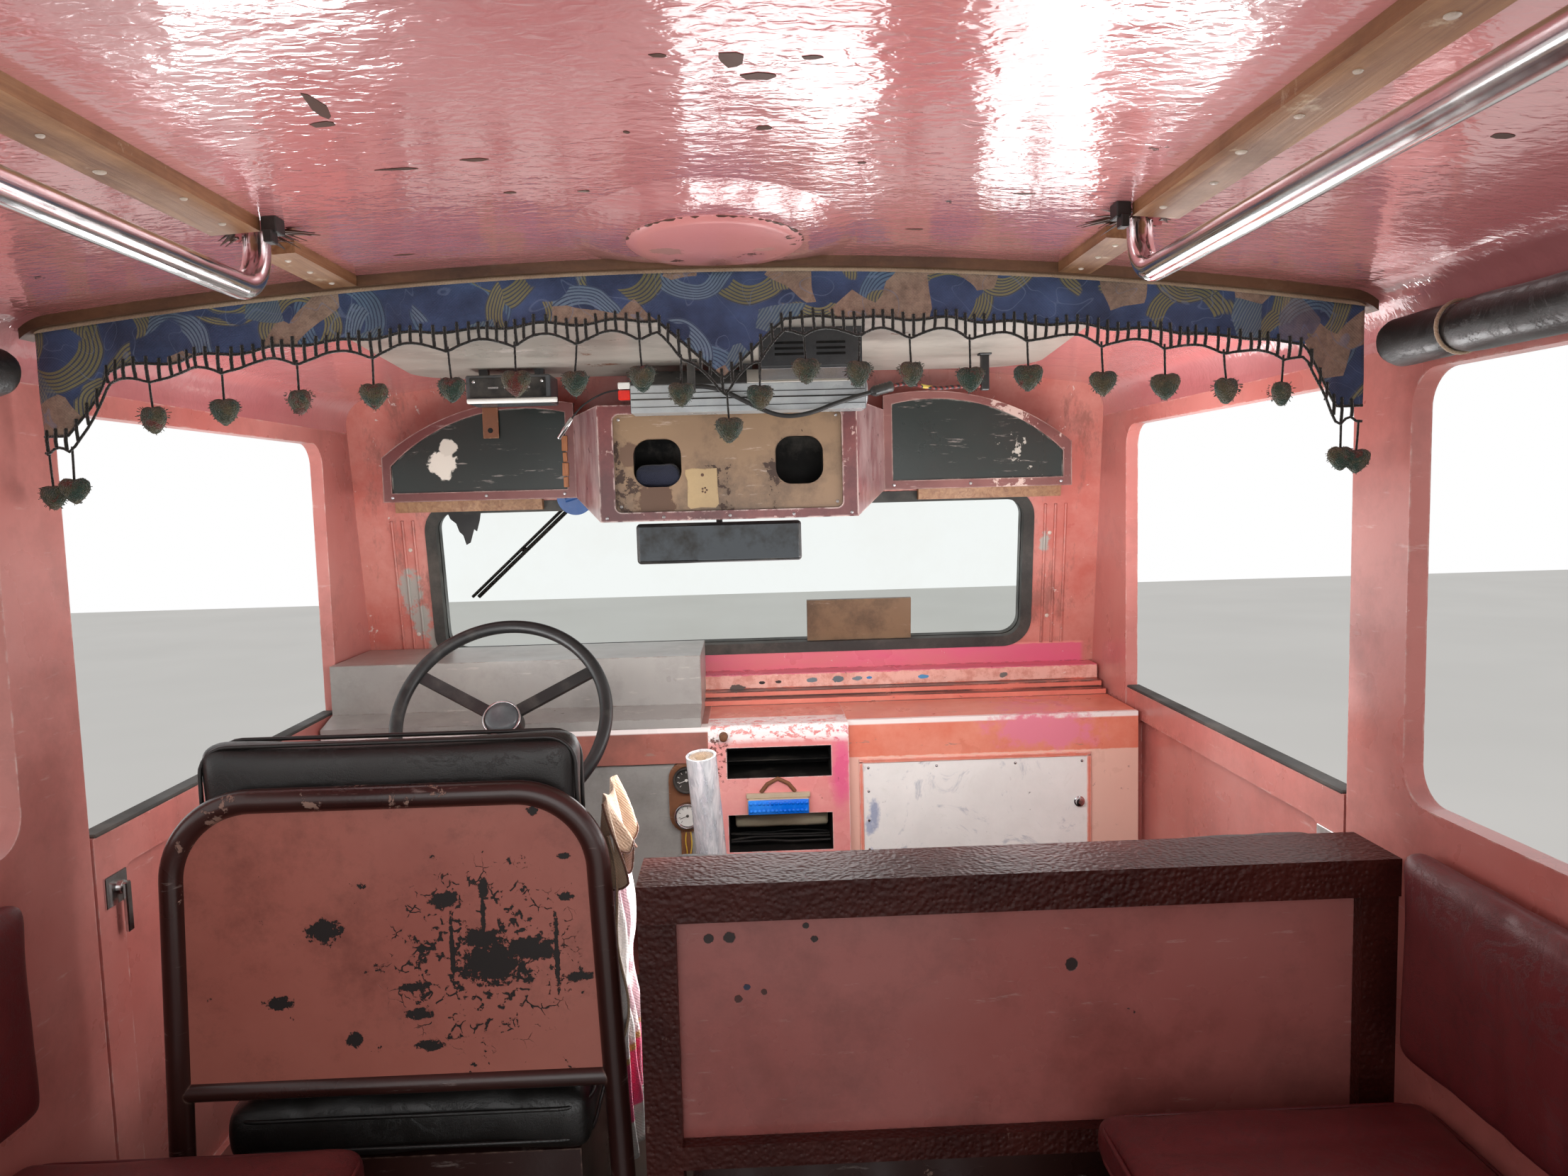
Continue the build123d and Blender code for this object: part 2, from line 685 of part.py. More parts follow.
def screen_battens():
    """Two wooden battens under the wings' shelf, behind the gasket's upper edge."""
    high = WING_BASE_Z
    low = high - SCREEN_BATTEN_H
    gap = (GASKET_PROUD + SCREEN_BATTEN_GAP) / math.cos(RAKE)
    back = gap + SCREEN_BATTEN_T
    side = outline([
        (screen_y(low) - gap, low), (screen_y(high) - gap, high), (screen_y(high) - back, high),
        (screen_y(low) - back, low),
    ])
    right = prism_x(side, SCREEN_BATTEN_INNER_X, SCREEN_BATTEN_OUTER_X)
    return [right, mirror(right, about=Plane.YZ)]


def wiper_pivot_up():
    """How far the wiper's shaft stands up the slope from the middle of the glass."""
    return GLASS_H / 2 + GASKET_W + WIPER_LIFT


def make_wiper():
    """Wiper that hangs from the top of the windscreen frame on the driver's side, outside."""
    up = wiper_pivot_up()
    face = -SCREEN_FRAME_T / 2
    outside = face - WIPER_STANDOFF
    shaft = bar(
        screen_point(WIPER_X, up, face), screen_point(WIPER_X, up, face - WIPER_SHAFT_L), 2 * WIPER_SHAFT_R
    )
    pivot, tip = Vector(WIPER_X, up), Vector(WIPER_TIP_X, -WIPER_TIP_DROP)
    lean = (tip - pivot).normalized()
    aside = Vector(WIPER_BLADE_ASIDE, 0)

    def rod(start, end, diameter):
        return bar(screen_point(start.X, start.Y, outside), screen_point(end.X, end.Y, outside), diameter)

    arm = rod(pivot, tip, WIPER_ARM_D)
    blade = rod(pivot + lean * WIPER_BLADE_START + aside, tip + aside, WIPER_BLADE_D)
    at = pivot + lean * WIPER_CLIP_AT
    nodes["wiper"] = shaft + arm + blade + rod(at, at + aside, WIPER_BLADE_D)


def make_wiper_motor():
    """Round plate of the wiper motor inside the windscreen frame, with its hand lever."""
    up = wiper_pivot_up()
    face = SCREEN_FRAME_T / 2
    back = face + MOTOR_GAP + MOTOR_T
    boss = bar(screen_point(WIPER_X, up, face), screen_point(WIPER_X, up, back), 2 * WIPER_SHAFT_R)
    plate = bar(screen_point(WIPER_X, up, face + MOTOR_GAP), screen_point(WIPER_X, up, back), 2 * MOTOR_R)
    lever = bar(
        screen_point(WIPER_X - MOTOR_LEVER_L / 2, up - MOTOR_LEVER_W / 2, back),
        screen_point(WIPER_X + MOTOR_LEVER_L / 2, up + MOTOR_LEVER_W / 2, back), MOTOR_LEVER_W,
    )
    nodes["wiper_motor"] = boss + plate + lever


def make_ceiling():
    """Battens, the round cover and the tray under the cab ceiling."""
    rear, front = VALANCE_Y - STRIP_W / 2, VALANCE_Y + STRIP_W / 2
    end = INNER_X - STRIP_END_GAP
    strip = ceiling_layer(0, WOOD_T, -end, end, rear, front)
    runs = [  # a batten's rear end, its front end and its width
        (REAR_Y + HOOP_DEPTH, RAIL_END_Y - TEAR_L / 2, BATTEN_W),
        (RAIL_END_Y + TEAR_L / 2, rear, FRONT_BATTEN_W),
    ]
    wood = [strip]
    for low, high, width in runs:
        batten = ceiling_layer(0, WOOD_T, BATTEN_X - width / 2, BATTEN_X + width / 2, low, high)
        wood += [batten, mirror(batten, about=Plane.YZ)]
    nodes["wooden_battens"] = Compound(children=wood + screen_battens())

    low = CEILING_Z - COVER_H
    disc = prism_z(Pos(COVER_X, COVER_Y) * Ellipse(COVER_W / 2, COVER_L / 2), low, CEILING_Z + ROOF_T)
    rim = [e for e in disc.edges() if e.center().Z < low + 1]
    disc = fillet(rim, COVER_EDGE_R)
    nodes["ceiling_cover"] = disc & prism_y(inner_section(), REAR_Y, rear)

    shape = outline([
        (TRAY_X - TRAY_REAR_W / 2, TRAY_REAR_Y), (TRAY_X + TRAY_REAR_W / 2, TRAY_REAR_Y),
        (TRAY_X + TRAY_FRONT_W / 2, TRAY_FRONT_Y), (TRAY_X - TRAY_FRONT_W / 2, TRAY_FRONT_Y),
    ])
    tray = prism_z(fillet(shape.vertices(), TRAY_R), TRAY_Z, CEILING_Z + ROOF_T)
    rim = [e for e in tray.edges() if e.center().Z < TRAY_Z + 1]
    nodes["ceiling_tray"] = fillet(rim, TRAY_RIM_R) & prism_y(inner_section(), REAR_Y, FRONT_Y)


def make_grab_rails():
    """Two tubes along the ceiling, turned up into it at the front and hung from the hoop behind."""
    axis_z = ceiling_z(BATTEN_X + BATTEN_W / 2) - WOOD_T - RAIL_DROP
    path = FilletPolyline(
        (BATTEN_X, REAR_Y, axis_z), (BATTEN_X, RAIL_END_Y, axis_z), (BATTEN_X, RAIL_END_Y, tear_top()),
        radius=RAIL_BEND_R,
    )
    tube = sweep(Plane(origin=(BATTEN_X, REAR_Y, axis_z), z_dir=(0, 1, 0)) * Circle(RAIL_D / 2), path=path)
    hanger_y = REAR_Y + HOOP_DEPTH / 2
    hanger = bar((BATTEN_X, hanger_y, axis_z), (BATTEN_X, hanger_y, CEILING_Z - HOOP_W), HANGER_D)
    nodes["grab_rails"] = mirrored(tube + (hanger - nodes["rear_hoop"]))


def header_body(inset):
    """The header box with its splayed sides and its sloping underside, or the hollow inside it."""
    face, back = HEADER_FACE_W / 2 - inset, HEADER_BACK_W / 2 - inset
    rear, front = HEADER_FACE_Y + inset, WING_Y + WING_T - inset
    plan = outline([
        (HEADER_X - face, rear), (HEADER_X + face, rear), (HEADER_X + back, WING_Y), (HEADER_X + back, front),
        (HEADER_X - back, front), (HEADER_X - back, WING_Y),
    ])
    side = outline([
        (rear, HEADER_BASE_Z + inset), (WING_Y, WING_BASE_Z + inset), (front, WING_BASE_Z + inset),
        (front, HEADER_TOP_Z - inset), (rear, HEADER_TOP_Z - inset),
    ])
    reach = HEADER_BACK_W + BEYOND
    return prism_z(plan, HEADER_BASE_Z, HEADER_TOP_Z) & prism_x(side, -reach, reach)


def wing_shape(inset):
    """Front view of the right-hand wing, whose top follows the roof, or of its board."""
    inner_x = HEADER_X + HEADER_BACK_W / 2 + inset
    outer_x = WING_OUTER_X - inset
    low = WING_BASE_Z + inset
    outer_z = CEILING_Z - WING_OUTER_DROP - inset
    inner_z = CEILING_Z - WING_INNER_DROP - inset
    arch = ThreePointArc(
        (outer_x, outer_z), (WING_MID_X, CEILING_Z - WING_MID_DROP - inset), (inner_x, inner_z)
    )
    rest = Polyline((inner_x, inner_z), (inner_x, low), (outer_x, low), (outer_x, outer_z))
    return make_face(Curve() + [arch, rest])


def board_outline():
    """The opening in the header's face, which the speaker board fills."""
    width = HEADER_FACE_W - 2 * BOARD_MARGIN_X
    height = HEADER_H - 2 * BOARD_MARGIN_Z
    return Pos(HEADER_X, HEADER_TOP_Z - HEADER_H / 2) * RectangleRounded(width, height, BOARD_R)


def make_header():
    """Header box with its speaker board, between the wings with their boards and shelf."""
    face_t = BOARD_RECESS + BOARD_T
    box = header_body(0) - header_body(HEADER_WALL)
    box -= prism_y(board_outline(), HEADER_FACE_Y, HEADER_FACE_Y + face_t)
    nodes["header_box"] = box

    rear = HEADER_FACE_Y + BOARD_RECESS
    board = prism_y(board_outline(), rear, rear + BOARD_T)
    hole = RectangleRounded(SPEAKER_W, SPEAKER_W, SPEAKER_R)
    for side in (-1, 1):
        middle = Pos(HEADER_X + side * SPEAKER_X, HEADER_TOP_Z - HEADER_H / 2)
        board -= prism_y(middle * hole, rear, rear + BOARD_T)
    nodes["speaker_board"] = board

    wing = prism_y(wing_shape(0), WING_Y, WING_Y + WING_T)
    wing -= prism_y(wing_shape(WING_BORDER), WING_Y, WING_Y + WING_T)
    board_rear = WING_Y + WING_T - WING_BOARD_T
    green = prism_y(wing_shape(WING_BORDER), board_rear, WING_Y + WING_T)
    other = mirror(wing, about=Plane.YZ.offset(HEADER_X))
    shelf = block(
        2 * HEADER_X - WING_OUTER_X, WING_OUTER_X, WING_Y + WING_T, FRONT_Y,
        WING_BASE_Z, WING_BASE_Z + SHELF_T,
    )
    shelf -= block(
        WIPER_X - MOTOR_NOTCH, WIPER_X + MOTOR_NOTCH, screen_y(WING_BASE_Z) - MOTOR_NOTCH, FRONT_Y,
        WING_BASE_Z, WING_BASE_Z + SHELF_T,
    )
    nodes["header_wings"] = wing + other + shelf - front_cutter()
    nodes["wing_boards"] = Compound(children=[green, mirror(green, about=Plane.YZ.offset(HEADER_X))])


def make_console():
    """Ribbed ledge along the firewall and the console with its two slots."""
    points = [(FIREWALL_Y, COWL_Z)]
    z = COWL_Z
    for reach, height in LEDGE_STEPS:
        points += [(FIREWALL_Y - reach, z), (FIREWALL_Y - reach, z - height)]
        z -= height
    points.append((FIREWALL_Y, z))
    nodes["dash_ledge"] = prism_x(outline(points), LEDGE_X, DASH_X)

    console = block(CONSOLE_X, CONSOLE_RIGHT, CONSOLE_FACE_Y, FIREWALL_Y, DASH_BASE_Z, DASH_TOP_Z)
    top = console.edges().filter_by(Axis.X).group_by(Axis.Z)[-1]
    console = fillet(top.sort_by(Axis.Y)[0], CONSOLE_EDGE_R)
    for drop, height in SLOTS:
        middle = DASH_TOP_Z - drop
        console -= block(
            SLOT_X - SLOT_W / 2, SLOT_X + SLOT_W / 2, CONSOLE_FACE_Y, CONSOLE_FACE_Y + SLOT_DEPTH,
            middle - height / 2, middle + height / 2,
        )
    nodes["dash_console"] = console


def make_dash_panels():
    """Side panel with its glove panel, driver's panel, band over it and binnacle."""
    front = SIDE_FACE_Y + SIDE_PANEL_T
    side = block(CONSOLE_RIGHT, DASH_X, SIDE_FACE_Y, front, DASH_BASE_Z, DASH_TOP_Z)
    side += block(CONSOLE_RIGHT, DASH_X, front, FIREWALL_Y, DASH_TOP_Z - SIDE_PANEL_T, DASH_TOP_Z)
    high = DASH_TOP_Z - GLOVE_DROP
    glove = block(
        GLOVE_X, GLOVE_X + GLOVE_W, SIDE_FACE_Y - GLOVE_PROUD, SIDE_FACE_Y - GLOVE_PROUD + GLOVE_T,
        high - GLOVE_H, high,
    )
    nodes["glove_panel"] = glove

    hole = column_rod(COLUMN_D / 2 + COLUMN_HOLE_GAP)
    band = block(-DASH_X, CONSOLE_X, CONSOLE_FACE_Y, FIREWALL_Y, BAND_BASE_Z, DASH_TOP_Z) - hole
    nodes["dash_sides"] = Compound(children=[side - glove, band])
    face = block(-DASH_X, CONSOLE_X, PANEL_Y, PANEL_Y + SIDE_PANEL_T, DASH_BASE_Z, BAND_BASE_Z)
    nodes["driver_panel"] = face - hole

    rear = FIREWALL_Y - BINNACLE_SETBACK
    front = FIREWALL_Y - BINNACLE_FRONT_GAP
    hood = outline([
        (CONSOLE_FACE_Y, DASH_TOP_Z), (CONSOLE_FACE_Y, DASH_TOP_Z + BINNACLE_LIP_H),
        (rear, DASH_TOP_Z + BINNACLE_FOOT_H), (rear, DASH_TOP_Z + BINNACLE_H),
        (front, DASH_TOP_Z + BINNACLE_H), (front, DASH_TOP_Z),
    ])
    nodes["binnacle"] = prism_x(hood, -DASH_X, LEDGE_X)


def make_dash_fittings():
    """Gauges on their plate, the lamp between the slots, and the blank route board on the glass."""
    gauge_zs = [DASH_TOP_Z - drop for drop in GAUGE_DROPS]
    plate = block(
        GAUGE_X - GAUGE_PLATE_W / 2, GAUGE_X + GAUGE_PLATE_W / 2, PANEL_Y - GAUGE_PLATE_T, PANEL_Y,
        gauge_zs[-1] - GAUGE_R - GAUGE_PLATE_MARGIN, BAND_BASE_Z,
    )
    for z in gauge_zs:
        plate += bar((GAUGE_X, PANEL_Y - GAUGE_T, z), (GAUGE_X, PANEL_Y, z), 2 * GAUGE_R)
    nodes["gauges"] = plate

    lamp_z = DASH_TOP_Z - LAMP_DROP
    nodes["console_lamp"] = rounded_block(
        LAMP_X - LAMP_W / 2, LAMP_X + LAMP_W / 2, CONSOLE_FACE_Y - LAMP_T, CONSOLE_FACE_Y,
        lamp_z - LAMP_H / 2, lamp_z + LAMP_H / 2, LAMP_R,
    )
    foot = -GLASS_H / 2
    middle = screen_point(SIGN_X, foot + SIGN_H / 2, GLASS_T / 2)
    board = Plane(origin=middle, x_dir=(1, 0, 0), z_dir=screen_plane().z_dir)
    nodes["route_board"] = extrude(board * Rectangle(SIGN_W, SIGN_H), SIGN_T)


def make_overhead():
    """Player bar, lamp box and vented box under the tray, and the rear-view mirror on its arm."""
    low = PLAYER_TOP_Z - PLAYER_H
    profile = outline([
        (PLAYER_REAR_Y, low), (PLAYER_REAR_Y, PLAYER_TOP_Z - PLAYER_BEVEL_H),
        (PLAYER_REAR_Y + PLAYER_BEVEL_W, PLAYER_TOP_Z), (HEADER_FACE_Y, PLAYER_TOP_Z), (HEADER_FACE_Y, low),
    ])
    player = prism_x(profile, PLAYER_X - PLAYER_W / 2, PLAYER_X + PLAYER_W / 2)
    player += block(
        PLAYER_X - STAY_W / 2, PLAYER_X + STAY_W / 2, HEADER_FACE_Y - STAY_W, HEADER_FACE_Y,
        PLAYER_TOP_Z, TRAY_Z,
    )
    lamp_y = FIREWALL_Y - LAMP_BOX_SETBACK
    lamp = rounded_block(
        LAMP_BOX_X - LAMP_BOX_W / 2, LAMP_BOX_X + LAMP_BOX_W / 2, lamp_y, lamp_y + LAMP_BOX_L,
        PLAYER_TOP_Z - LAMP_BOX_H, PLAYER_TOP_Z, BOX_R,
    )
    middle = lamp_y + LAMP_BOX_L / 2
    for side in (-1, 1):
        x = LAMP_BOX_X + side * LAMP_BOX_W / 3
        lamp += block(
            x - STAY_W / 2, x + STAY_W / 2, middle - STAY_W / 2, middle + STAY_W / 2, PLAYER_TOP_Z, TRAY_Z
        )
    vent_y = TRAY_REAR_Y + VENT_BOX_AHEAD
    vent = block(
        VENT_BOX_X - VENT_BOX_W / 2, VENT_BOX_X + VENT_BOX_W / 2, vent_y, vent_y + VENT_BOX_L,
        TRAY_Z - VENT_BOX_H, TRAY_Z,
    )
    vent = fillet(vent.edges().group_by(Axis.Z)[0], BOX_R)
    nodes["overhead_units"] = Compound(children=[player, lamp, vent])

    high = HEADER_BASE_Z - MIRROR_DROP
    rear = FIREWALL_Y - MIRROR_SETBACK
    mirror_plate = rounded_block(
        MIRROR_X - MIRROR_W / 2, MIRROR_X + MIRROR_W / 2, rear, rear + MIRROR_T,
        high - MIRROR_H, high, MIRROR_R,
    )
    left, right = MIRROR_X - MIRROR_ARM_T / 2, MIRROR_X + MIRROR_ARM_T / 2
    arm_z = high - MIRROR_H / 2
    arm_y = rear + MIRROR_T + MIRROR_ARM_L
    arm = block(left, right, rear + MIRROR_T / 2, arm_y, arm_z - MIRROR_ARM_T / 2, arm_z + MIRROR_ARM_T / 2)
    post = block(left, right, arm_y - MIRROR_ARM_T, arm_y, arm_z - MIRROR_ARM_T / 2, HEADER_TOP_Z)
    nodes["rear_view_mirror"] = mirror_plate + arm + (post - header_body(0))


def lead_tube(points, y, diameter, name):
    """Tube of a lead through points in a plane across the vehicle, with arcs as large as its runs allow."""
    line = [Vector(x, y, z) for x, z in points]
    radii = []
    for before, corner, after in zip(line, line[1:], line[2:]):
        first, second = corner - before, after - corner
        half_turn = math.radians(first.get_angle(second)) / 2
        radii.append(ARC_SHARE * min(first.length, second.length) / math.tan(half_turn))
    print(name, "radii", [round(radius) for radius in radii])
    path = FilletPolyline(*line, radius=radii)
    start = Plane(origin=line[0], z_dir=line[1] - line[0])
    return sweep(start * Circle(diameter / 2), path=path)


def clip(x_low, z):
    """A block that hangs from the tray and holds the end of a lead."""
    half = CLIP_T / 2
    return block(x_low, x_low + CLIP_T, CABLE_Y - half, CABLE_Y + half, z - half, TRAY_Z)


def make_leads():
    """Cable behind the player, the wires beyond its connector, and a short spare lead with its sleeve."""
    nodes["overhead_cable"] = lead_tube(CABLE_POINTS, CABLE_Y, CABLE_D, "overhead_cable")
    before, cable_end = [Vector(*point) for point in CABLE_POINTS[-2:]]
    ahead = (cable_end - before).normalized()
    wires_start = cable_end + ahead * CONNECTOR_L
    straight = wires_start + ahead * WIRES_STRAIGHT
    wires = [(point.X, point.Y) for point in (wires_start, straight)] + WIRES_BEYOND
    nodes["side_wires"] = lead_tube(wires, CABLE_Y, WIRES_D, "side_wires")
    nodes["spare_lead"] = lead_tube(LEAD_POINTS, LEAD_Y, LEAD_D, "spare_lead")

    connector = bar(
        (cable_end.X, CABLE_Y, cable_end.Y), (wires_start.X, CABLE_Y, wires_start.Y), CONNECTOR_D
    )
    before, mouth = [Vector(x, LEAD_Y, z) for x, z in LEAD_POINTS[-2:]]
    sleeve = bar(mouth, mouth + (mouth - before).normalized() * SLEEVE_L, SLEEVE_D)
    exit_x, exit_z = LEAD_POINTS[0]
    half = CLIP_T / 2
    player_end = PLAYER_X - PLAYER_W / 2
    holder = block(exit_x, player_end, LEAD_Y - half, LEAD_Y + half, exit_z - half, exit_z + half)
    nodes["lead_fittings"] = Compound(children=[
        clip(CABLE_POINTS[0][0] - CLIP_T, CABLE_POINTS[0][1]), clip(*WIRES_BEYOND[-1]),
        connector, sleeve, holder,
    ])


def hem_z(x):
    """Height of the valance's lower edge."""
    across = abs(x - VALANCE_X)
    vee = VEE_DROP * max(0.0, 1 - across / VEE_HALF_W)
    return ceiling_z(x) - WOOD_T - BAND_H - vee


def make_valance():
    """Cloth valance under the strip, and the hearts that hang from its fringe."""
    rear, front = VALANCE_Y - CLOTH_T / 2, VALANCE_Y + CLOTH_T / 2
    end_x = INNER_X - VALANCE_END_GAP
    cloth = ceiling_layer(WOOD_T, BAND_H, -end_x, end_x, rear, front)
    hem = hem_z(VALANCE_X + VEE_HALF_W)
    cloth += prism_y(outline([
        (VALANCE_X - VEE_HALF_W, hem), (VALANCE_X - VEE_HALF_W, hem + BAND_H / 2),
        (VALANCE_X + VEE_HALF_W, hem + BAND_H / 2), (VALANCE_X + VEE_HALF_W, hem),
        (VALANCE_X, hem_z(VALANCE_X)),
    ]), rear, front)
    tail_z = CEILING_Z - TAIL_DROP
    high = hem_z(end_x - TAIL_W) + FRINGE_H
    for side in (-1, 1):
        cloth += prism_y(outline([
            (side * end_x, high), (side * end_x, tail_z), (side * (end_x - TAIL_FOOT_W), tail_z),
            (side * (end_x - TAIL_W), high - FRINGE_H), (side * (end_x - TAIL_W), high),
        ]), rear, front)
    nodes["valance"] = cloth & prism_y(inner_section(WOOD_T), rear, front)

    fringe = (Pos(0, 0, -FRINGE_H) * nodes["valance"]) - nodes["valance"]
    spots = [(VALANCE_X + offset, hem_z(VALANCE_X + offset)) for offset in VEE_HEARTS]
    for side in (-1, 1):
        start, end = VALANCE_X + side * VEE_REACH, side * (end_x - TAIL_W)
        gaps = max(1, round(abs(end - start) / HEART_PITCH))
        spots += [(x, hem_z(x)) for x in (start + (end - start) * step / gaps for step in range(gaps))]
        spots.append((side * (end_x - TAIL_FOOT_W / 2), tail_z))
    for x, hem in spots:
        fringe += heart(x, hem - FRINGE_H)
    nodes["heart_fringe"] = fringe


def heart(x, z):
    """A stuffed heart on its string, which hangs from a height."""
    half = STRING_T / 2
    string = block(x - half, x + half, VALANCE_Y - half, VALANCE_Y + half, z - HEART_DROP, z + FRINGE_H / 4)
    tip_h = HEART_TIP - HEART_R / 2
    cone = Cone(HEART_R / 6, HEART_R * math.cos(math.radians(30)), tip_h)
    tip = Pos(x, VALANCE_Y, z - HEART_DROP - HEART_R / 2 - tip_h / 2) * cone
    return string + Pos(x, VALANCE_Y, z - HEART_DROP) * Sphere(HEART_R) + tip


def seat_path():
    """Line of the driver's seat tube, seen from behind."""
    top_z = SEAT_TOP_Z - SEAT_TUBE_D / 2
    return [
        (SEAT_X - SEAT_FOOT_W / 2, FLOOR_Z), (SEAT_X - SEAT_TOP_W / 2, top_z),
        (SEAT_X + SEAT_TOP_W / 2, top_z), (SEAT_X + SEAT_FOOT_W / 2, FLOOR_Z),
    ]


def make_driver_frame():
    """Tube frame of the driver's seat and its back panel."""
    line = [(x, SEAT_BACK_Y, z) for x, z in seat_path()]
    path = FilletPolyline(*line, radius=SEAT_CORNER_R)
    start = Plane(origin=line[0], z_dir=Vector(*line[1]) - Vector(*line[0]))
    tube = sweep(start * Circle(SEAT_TUBE_D / 2), path=path)
    lean = (SEAT_FOOT_W - SEAT_TOP_W) / 2 / (SEAT_TOP_Z - SEAT_TUBE_D / 2 - FLOOR_Z)
    half = SEAT_FOOT_W / 2 - lean * (SEAT_BAR_Z - FLOOR_Z)
    left, right = SEAT_X - half, SEAT_X + half
    tube += bar((left, SEAT_BACK_Y, SEAT_BAR_Z), (right, SEAT_BACK_Y, SEAT_BAR_Z), SEAT_BAR_D)
    tube &= block(-INNER_X, INNER_X, REAR_Y, FRONT_Y, FLOOR_Z, CEILING_Z)
    nodes["driver_seat_frame"] = tube

    edge = FilletPolyline(*seat_path(), radius=SEAT_CORNER_R)
    flat = make_face(edge + Line(seat_path()[3], seat_path()[0]))
    panel = prism_y(flat, SEAT_BACK_Y - SEAT_PANEL_T / 2, SEAT_BACK_Y + SEAT_PANEL_T / 2)
    panel &= block(-INNER_X, INNER_X, REAR_Y, FRONT_Y, SEAT_BAR_Z, CEILING_Z)
    nodes["driver_seat_panel"] = panel - tube


def driver_seat():
    """Pad, cushion and base of the driver's seat, and the frill of its cover."""
    half = SEAT_PAD_W / 2
    rear = SEAT_BACK_Y + SEAT_TUBE_D / 2 + PAD_GAP
    pad = rounded_block(
        SEAT_X - half, SEAT_X + half, rear, rear + SEAT_PAD_T, SEAT_Z + PAD_GAP, SEAT_PAD_TOP_Z, PAD_R
    )
    cushion = rounded_block(
        SEAT_X - half, SEAT_X + half, rear, rear + SEAT_DEPTH, SEAT_Z - CUSHION_T, SEAT_Z, PAD_R
    )
    base = block(
        SEAT_X - half + BASE_INSET, SEAT_X + half - BASE_INSET, rear + BASE_INSET,
        rear + SEAT_DEPTH - BASE_INSET, FLOOR_Z, SEAT_Z - CUSHION_T,
    )
    side = SEAT_X + half + PAD_GAP
    high = SEAT_PAD_TOP_Z - FRILL_TOP_DROP
    nodes["seat_frill"] = rounded_block(
        side, side + FRILL_T, rear, rear + FRILL_W, high - FRILL_H, high, FRILL_R
    )
    return pad, cushion, base


PASS_REAR_Y = PART_REAR_Y + PART_CAP_L + PAD_GAP
PASS_FRONT_Y = PASS_REAR_Y + SEAT_DEPTH


def make_partition():
    """Partition frame behind the front passengers, with its panel."""
    rear, front = PART_REAR_Y + PART_BAR_INSET, PART_REAR_Y + PART_BAR_INSET + PART_BAR
    under_cap = PART_CAP_Z - PART_CAP_H
    frame = block(BENCH_X, INNER_X, PART_REAR_Y, PART_REAR_Y + PART_CAP_L, under_cap, PART_CAP_Z)
    for low in (BENCH_X, INNER_X - PART_BAR):
        frame += block(low, low + PART_BAR, rear, front, FLOOR_Z, under_cap)
    frame += block(BENCH_X, INNER_X, rear, front, PART_FOOT_Z, PART_FOOT_Z + PART_FOOT_H)
    nodes["partition_frame"] = frame
    middle = (rear + front) / 2
    nodes["partition_panel"] = block(
        BENCH_X + PART_BAR, INNER_X - PART_BAR, middle - PART_PANEL_T / 2, middle + PART_PANEL_T / 2,
        PART_FOOT_Z + PART_FOOT_H, under_cap,
    )


def passenger_seat():
    """Pad, cushion and base of the front passengers' seat."""
    left, right = BENCH_X + PASS_INSET, INNER_X - PASS_INSET
    pad = rounded_block(
        left, right, PASS_REAR_Y, PASS_REAR_Y + PASS_PAD_T,
        PASS_SEAT_Z + PAD_GAP, PART_CAP_Z - PASS_PAD_DROP, PAD_R,
    )
    cushion = rounded_block(
        left, right, PASS_REAR_Y, PASS_FRONT_Y, PASS_SEAT_Z - CUSHION_T, PASS_SEAT_Z, PAD_R
    )
    base = block(
        left + BASE_INSET, right - BASE_INSET, PASS_REAR_Y + BASE_INSET, PASS_FRONT_Y - BASE_INSET, FLOOR_Z,
        PASS_SEAT_Z - CUSHION_T,
    )
    return pad, cushion, base


def make_side_seats():
    """Saloon benches along both sides, and the rolled rain curtains. Returns a bench base."""
    rear, front = REAR_Y + HOOP_DEPTH + PAD_GAP, PART_REAR_Y - BENCH_TO_PARTITION
    inner = INNER_X - SIDE_SEAT_W
    base = block(inner + SIDE_BASE_INSET, INNER_X, rear, front, FLOOR_Z, SIDE_SEAT_Z - SIDE_SEAT_T)
    cushion = rounded_block(
        inner, INNER_X - PAD_GAP, rear, front, SIDE_SEAT_Z - SIDE_SEAT_T, SIDE_SEAT_Z, PAD_R
    )
    low = SIDE_SEAT_Z + SIDE_BACK_GAP
    back = rounded_block(
        INNER_X - SIDE_BACK_T, INNER_X - WALL_CLEAR, rear, front, low, low + SIDE_BACK_H, PAD_R
    )
    pads = [cushion, back]
    nodes["bench_cushions"] = Compound(children=pads + [mirror(pad, about=Plane.YZ) for pad in pads])
    roll_z = OPENING_TOP_Z + CURTAIN_D / 2
    roll_x = INNER_X - CURTAIN_D / 2 - WALL_CLEAR
    curtain = bar((roll_x, rear, roll_z), (roll_x, WINDOW_FRONT_Y, roll_z), CURTAIN_D)
    nodes["rolled_curtains"] = mirrored(curtain)
    return base


def make_seats():
    """All seats, with like pieces of them together."""
    make_driver_frame()
    make_partition()
    driver, passenger = driver_seat(), passenger_seat()
    nodes["cab_seat_pads"] = Compound(children=[driver[0], passenger[0]])
    nodes["cab_seat_cushions"] = Compound(children=[driver[1], passenger[1]])
    bench = make_side_seats()
    nodes["seat_bases"] = Compound(children=[driver[2], passenger[2], bench, mirror(bench, about=Plane.YZ)])


